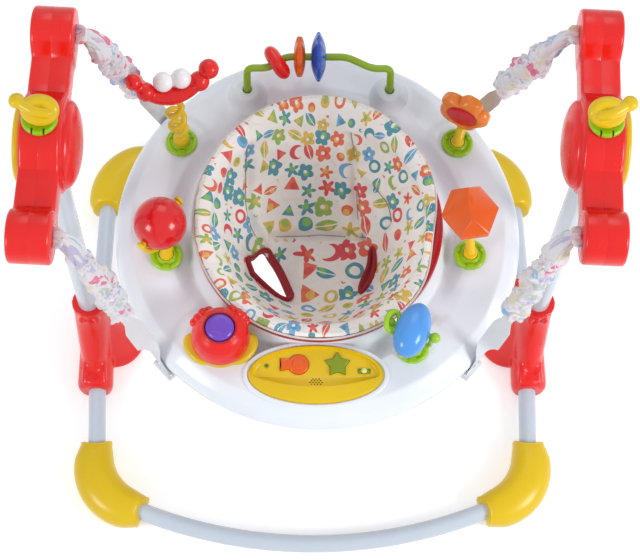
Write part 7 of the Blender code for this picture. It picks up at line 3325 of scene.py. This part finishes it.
FINISHES: dict[str, object] = {
    "tube_paint": TubePaint(srgb(196, 206, 218)),
    "yellow_plastic": MouldedPlastic(srgb(224, 188, 4), 0.30, 0.10),
    "amber_plastic": MouldedPlastic(srgb(240, 194, 20), 0.28, 0.10),
    "red_plastic": MouldedPlastic(srgb(232, 22, 18), 0.25, 0.12),
    "deep_red_plastic": MouldedPlastic(srgb(176, 10, 22), 0.28, 0.10),
    "pearl_red": MouldedPlastic(srgb(206, 14, 22), 0.20, 0.20, 0.16),
    "heart_red": MouldedPlastic(srgb(200, 18, 26), 0.26, 0.12),
    "green_plastic": MouldedPlastic(srgb(146, 198, 14), 0.26, 0.10),
    "clear_green": MouldedPlastic(srgb(156, 202, 30), 0.20, 0.18, 0.10),
    "lime_plastic": MouldedPlastic(srgb(142, 176, 32), 0.26, 0.10),
    "orange_plastic": MouldedPlastic(srgb(228, 92, 12), 0.26, 0.10),
    "apricot_plastic": MouldedPlastic(srgb(226, 124, 40), 0.28, 0.10),
    "navy_plastic": MouldedPlastic(srgb(30, 84, 190), 0.24, 0.14),
    "sky_plastic": MouldedPlastic(srgb(80, 154, 230), 0.22, 0.16),
    "purple_plastic": MouldedPlastic(srgb(116, 70, 192), 0.26, 0.12),
    "pale_lime": MouldedPlastic(srgb(222, 224, 140), 0.24, 0.20),
    "star_plastic": MouldedPlastic(srgb(128, 148, 8), 0.28, 0.10),
    "white_plastic": MouldedPlastic(srgb(232, 237, 244), 0.24, 0.20, 0.02),
    "frosted_plastic": MouldedPlastic(srgb(226, 232, 238), 0.34, 0.10, 0.03),
    "white_gloss": MouldedPlastic(srgb(246, 246, 248), 0.18, 0.40, 0.02),
    "dark_trim": MouldedPlastic(srgb(70, 62, 34), 0.35, 0.20),
    "spring_steel": DrawnWire(),
    "board_laminate": CircuitLaminate(),
    "webbing": StrapWeave(),
    # Seam thread: sewn seams, coloured a darker grey-brown than the cloth as painted shade for the creases
    # they lie in.
    "seam_thread": BindingTape(srgb(176, 162, 152)),
    "red_binding": BindingTape(srgb(172, 20, 36)),
    "cloth_binding": BindingTape(srgb(240, 236, 230)),
    "seat_fabric": PrintedCloth(srgb(245, 242, 237), (
        PrintLayer(0.0215, 0.31, 0.62, (0.403, 0.217), (SCARLET, LEAF_GREEN, ROSE, TEAL, SCARLET, SUN, ROSE)),
        PrintLayer(0.0440, 0.575, 1.00, (0.119, 0.731),
                   (CORAL, TEAL, SCARLET, LEAF_GREEN, CORAL, SUN, POWDER, TEAL),
                   (SUN, LIME, CORAL, SUN, SCARLET, LEAF_GREEN, TEAL, LIME), srgb(245, 242, 237)))),
    "sleeve_fabric": PrintedCloth(srgb(229, 226, 230), (
        PrintLayer(0.0150, 0.36, 0.70, (0.270, 0.410),
                   (srgb(200, 188, 214), srgb(228, 184, 198), srgb(186, 206, 226),
                    srgb(222, 216, 190))),
        PrintLayer(0.0290, 0.50, 0.80, (0.633, 0.158),
                   (srgb(192, 186, 216), srgb(228, 120, 156), srgb(224, 216, 182),
                    srgb(152, 196, 230), srgb(192, 204, 196)))), soil=0.04),
    "ground": Ground(),
}


def main() -> None:
    """Build the dressed jumper piece by piece, then the studio."""
    logging.basicConfig(level=logging.INFO, format="%(name)s: %(message)s")
    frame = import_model()
    shop = Workshop(frame, FINISHES)
    BaseRail(End.FRONT, 0.364, 0.192, 0.0190).make(shop)
    BaseRail(End.REAR, 0.392, 0.236, 0.0130).make(shop)
    for side in Side:
        Upright(side).make(shop)
        Beam(side).make(shop)
        for end in End:
            Strap(end, side).make(shop, 11 + 2 * end.value + 5 * side.value)
    Tray().make(shop)
    SoundPanel().make(shop)
    Seat().make(shop)
    for toy in (ToyBar(), Rattle(), SpinBall(), Knob(), Egg(), FacetSpinner(), Flower()):
        toy.make(shop)
    Studio().make(shop)
    LOG.info("made %d pieces", shop.made)


if __name__ == "__main__":
    main()
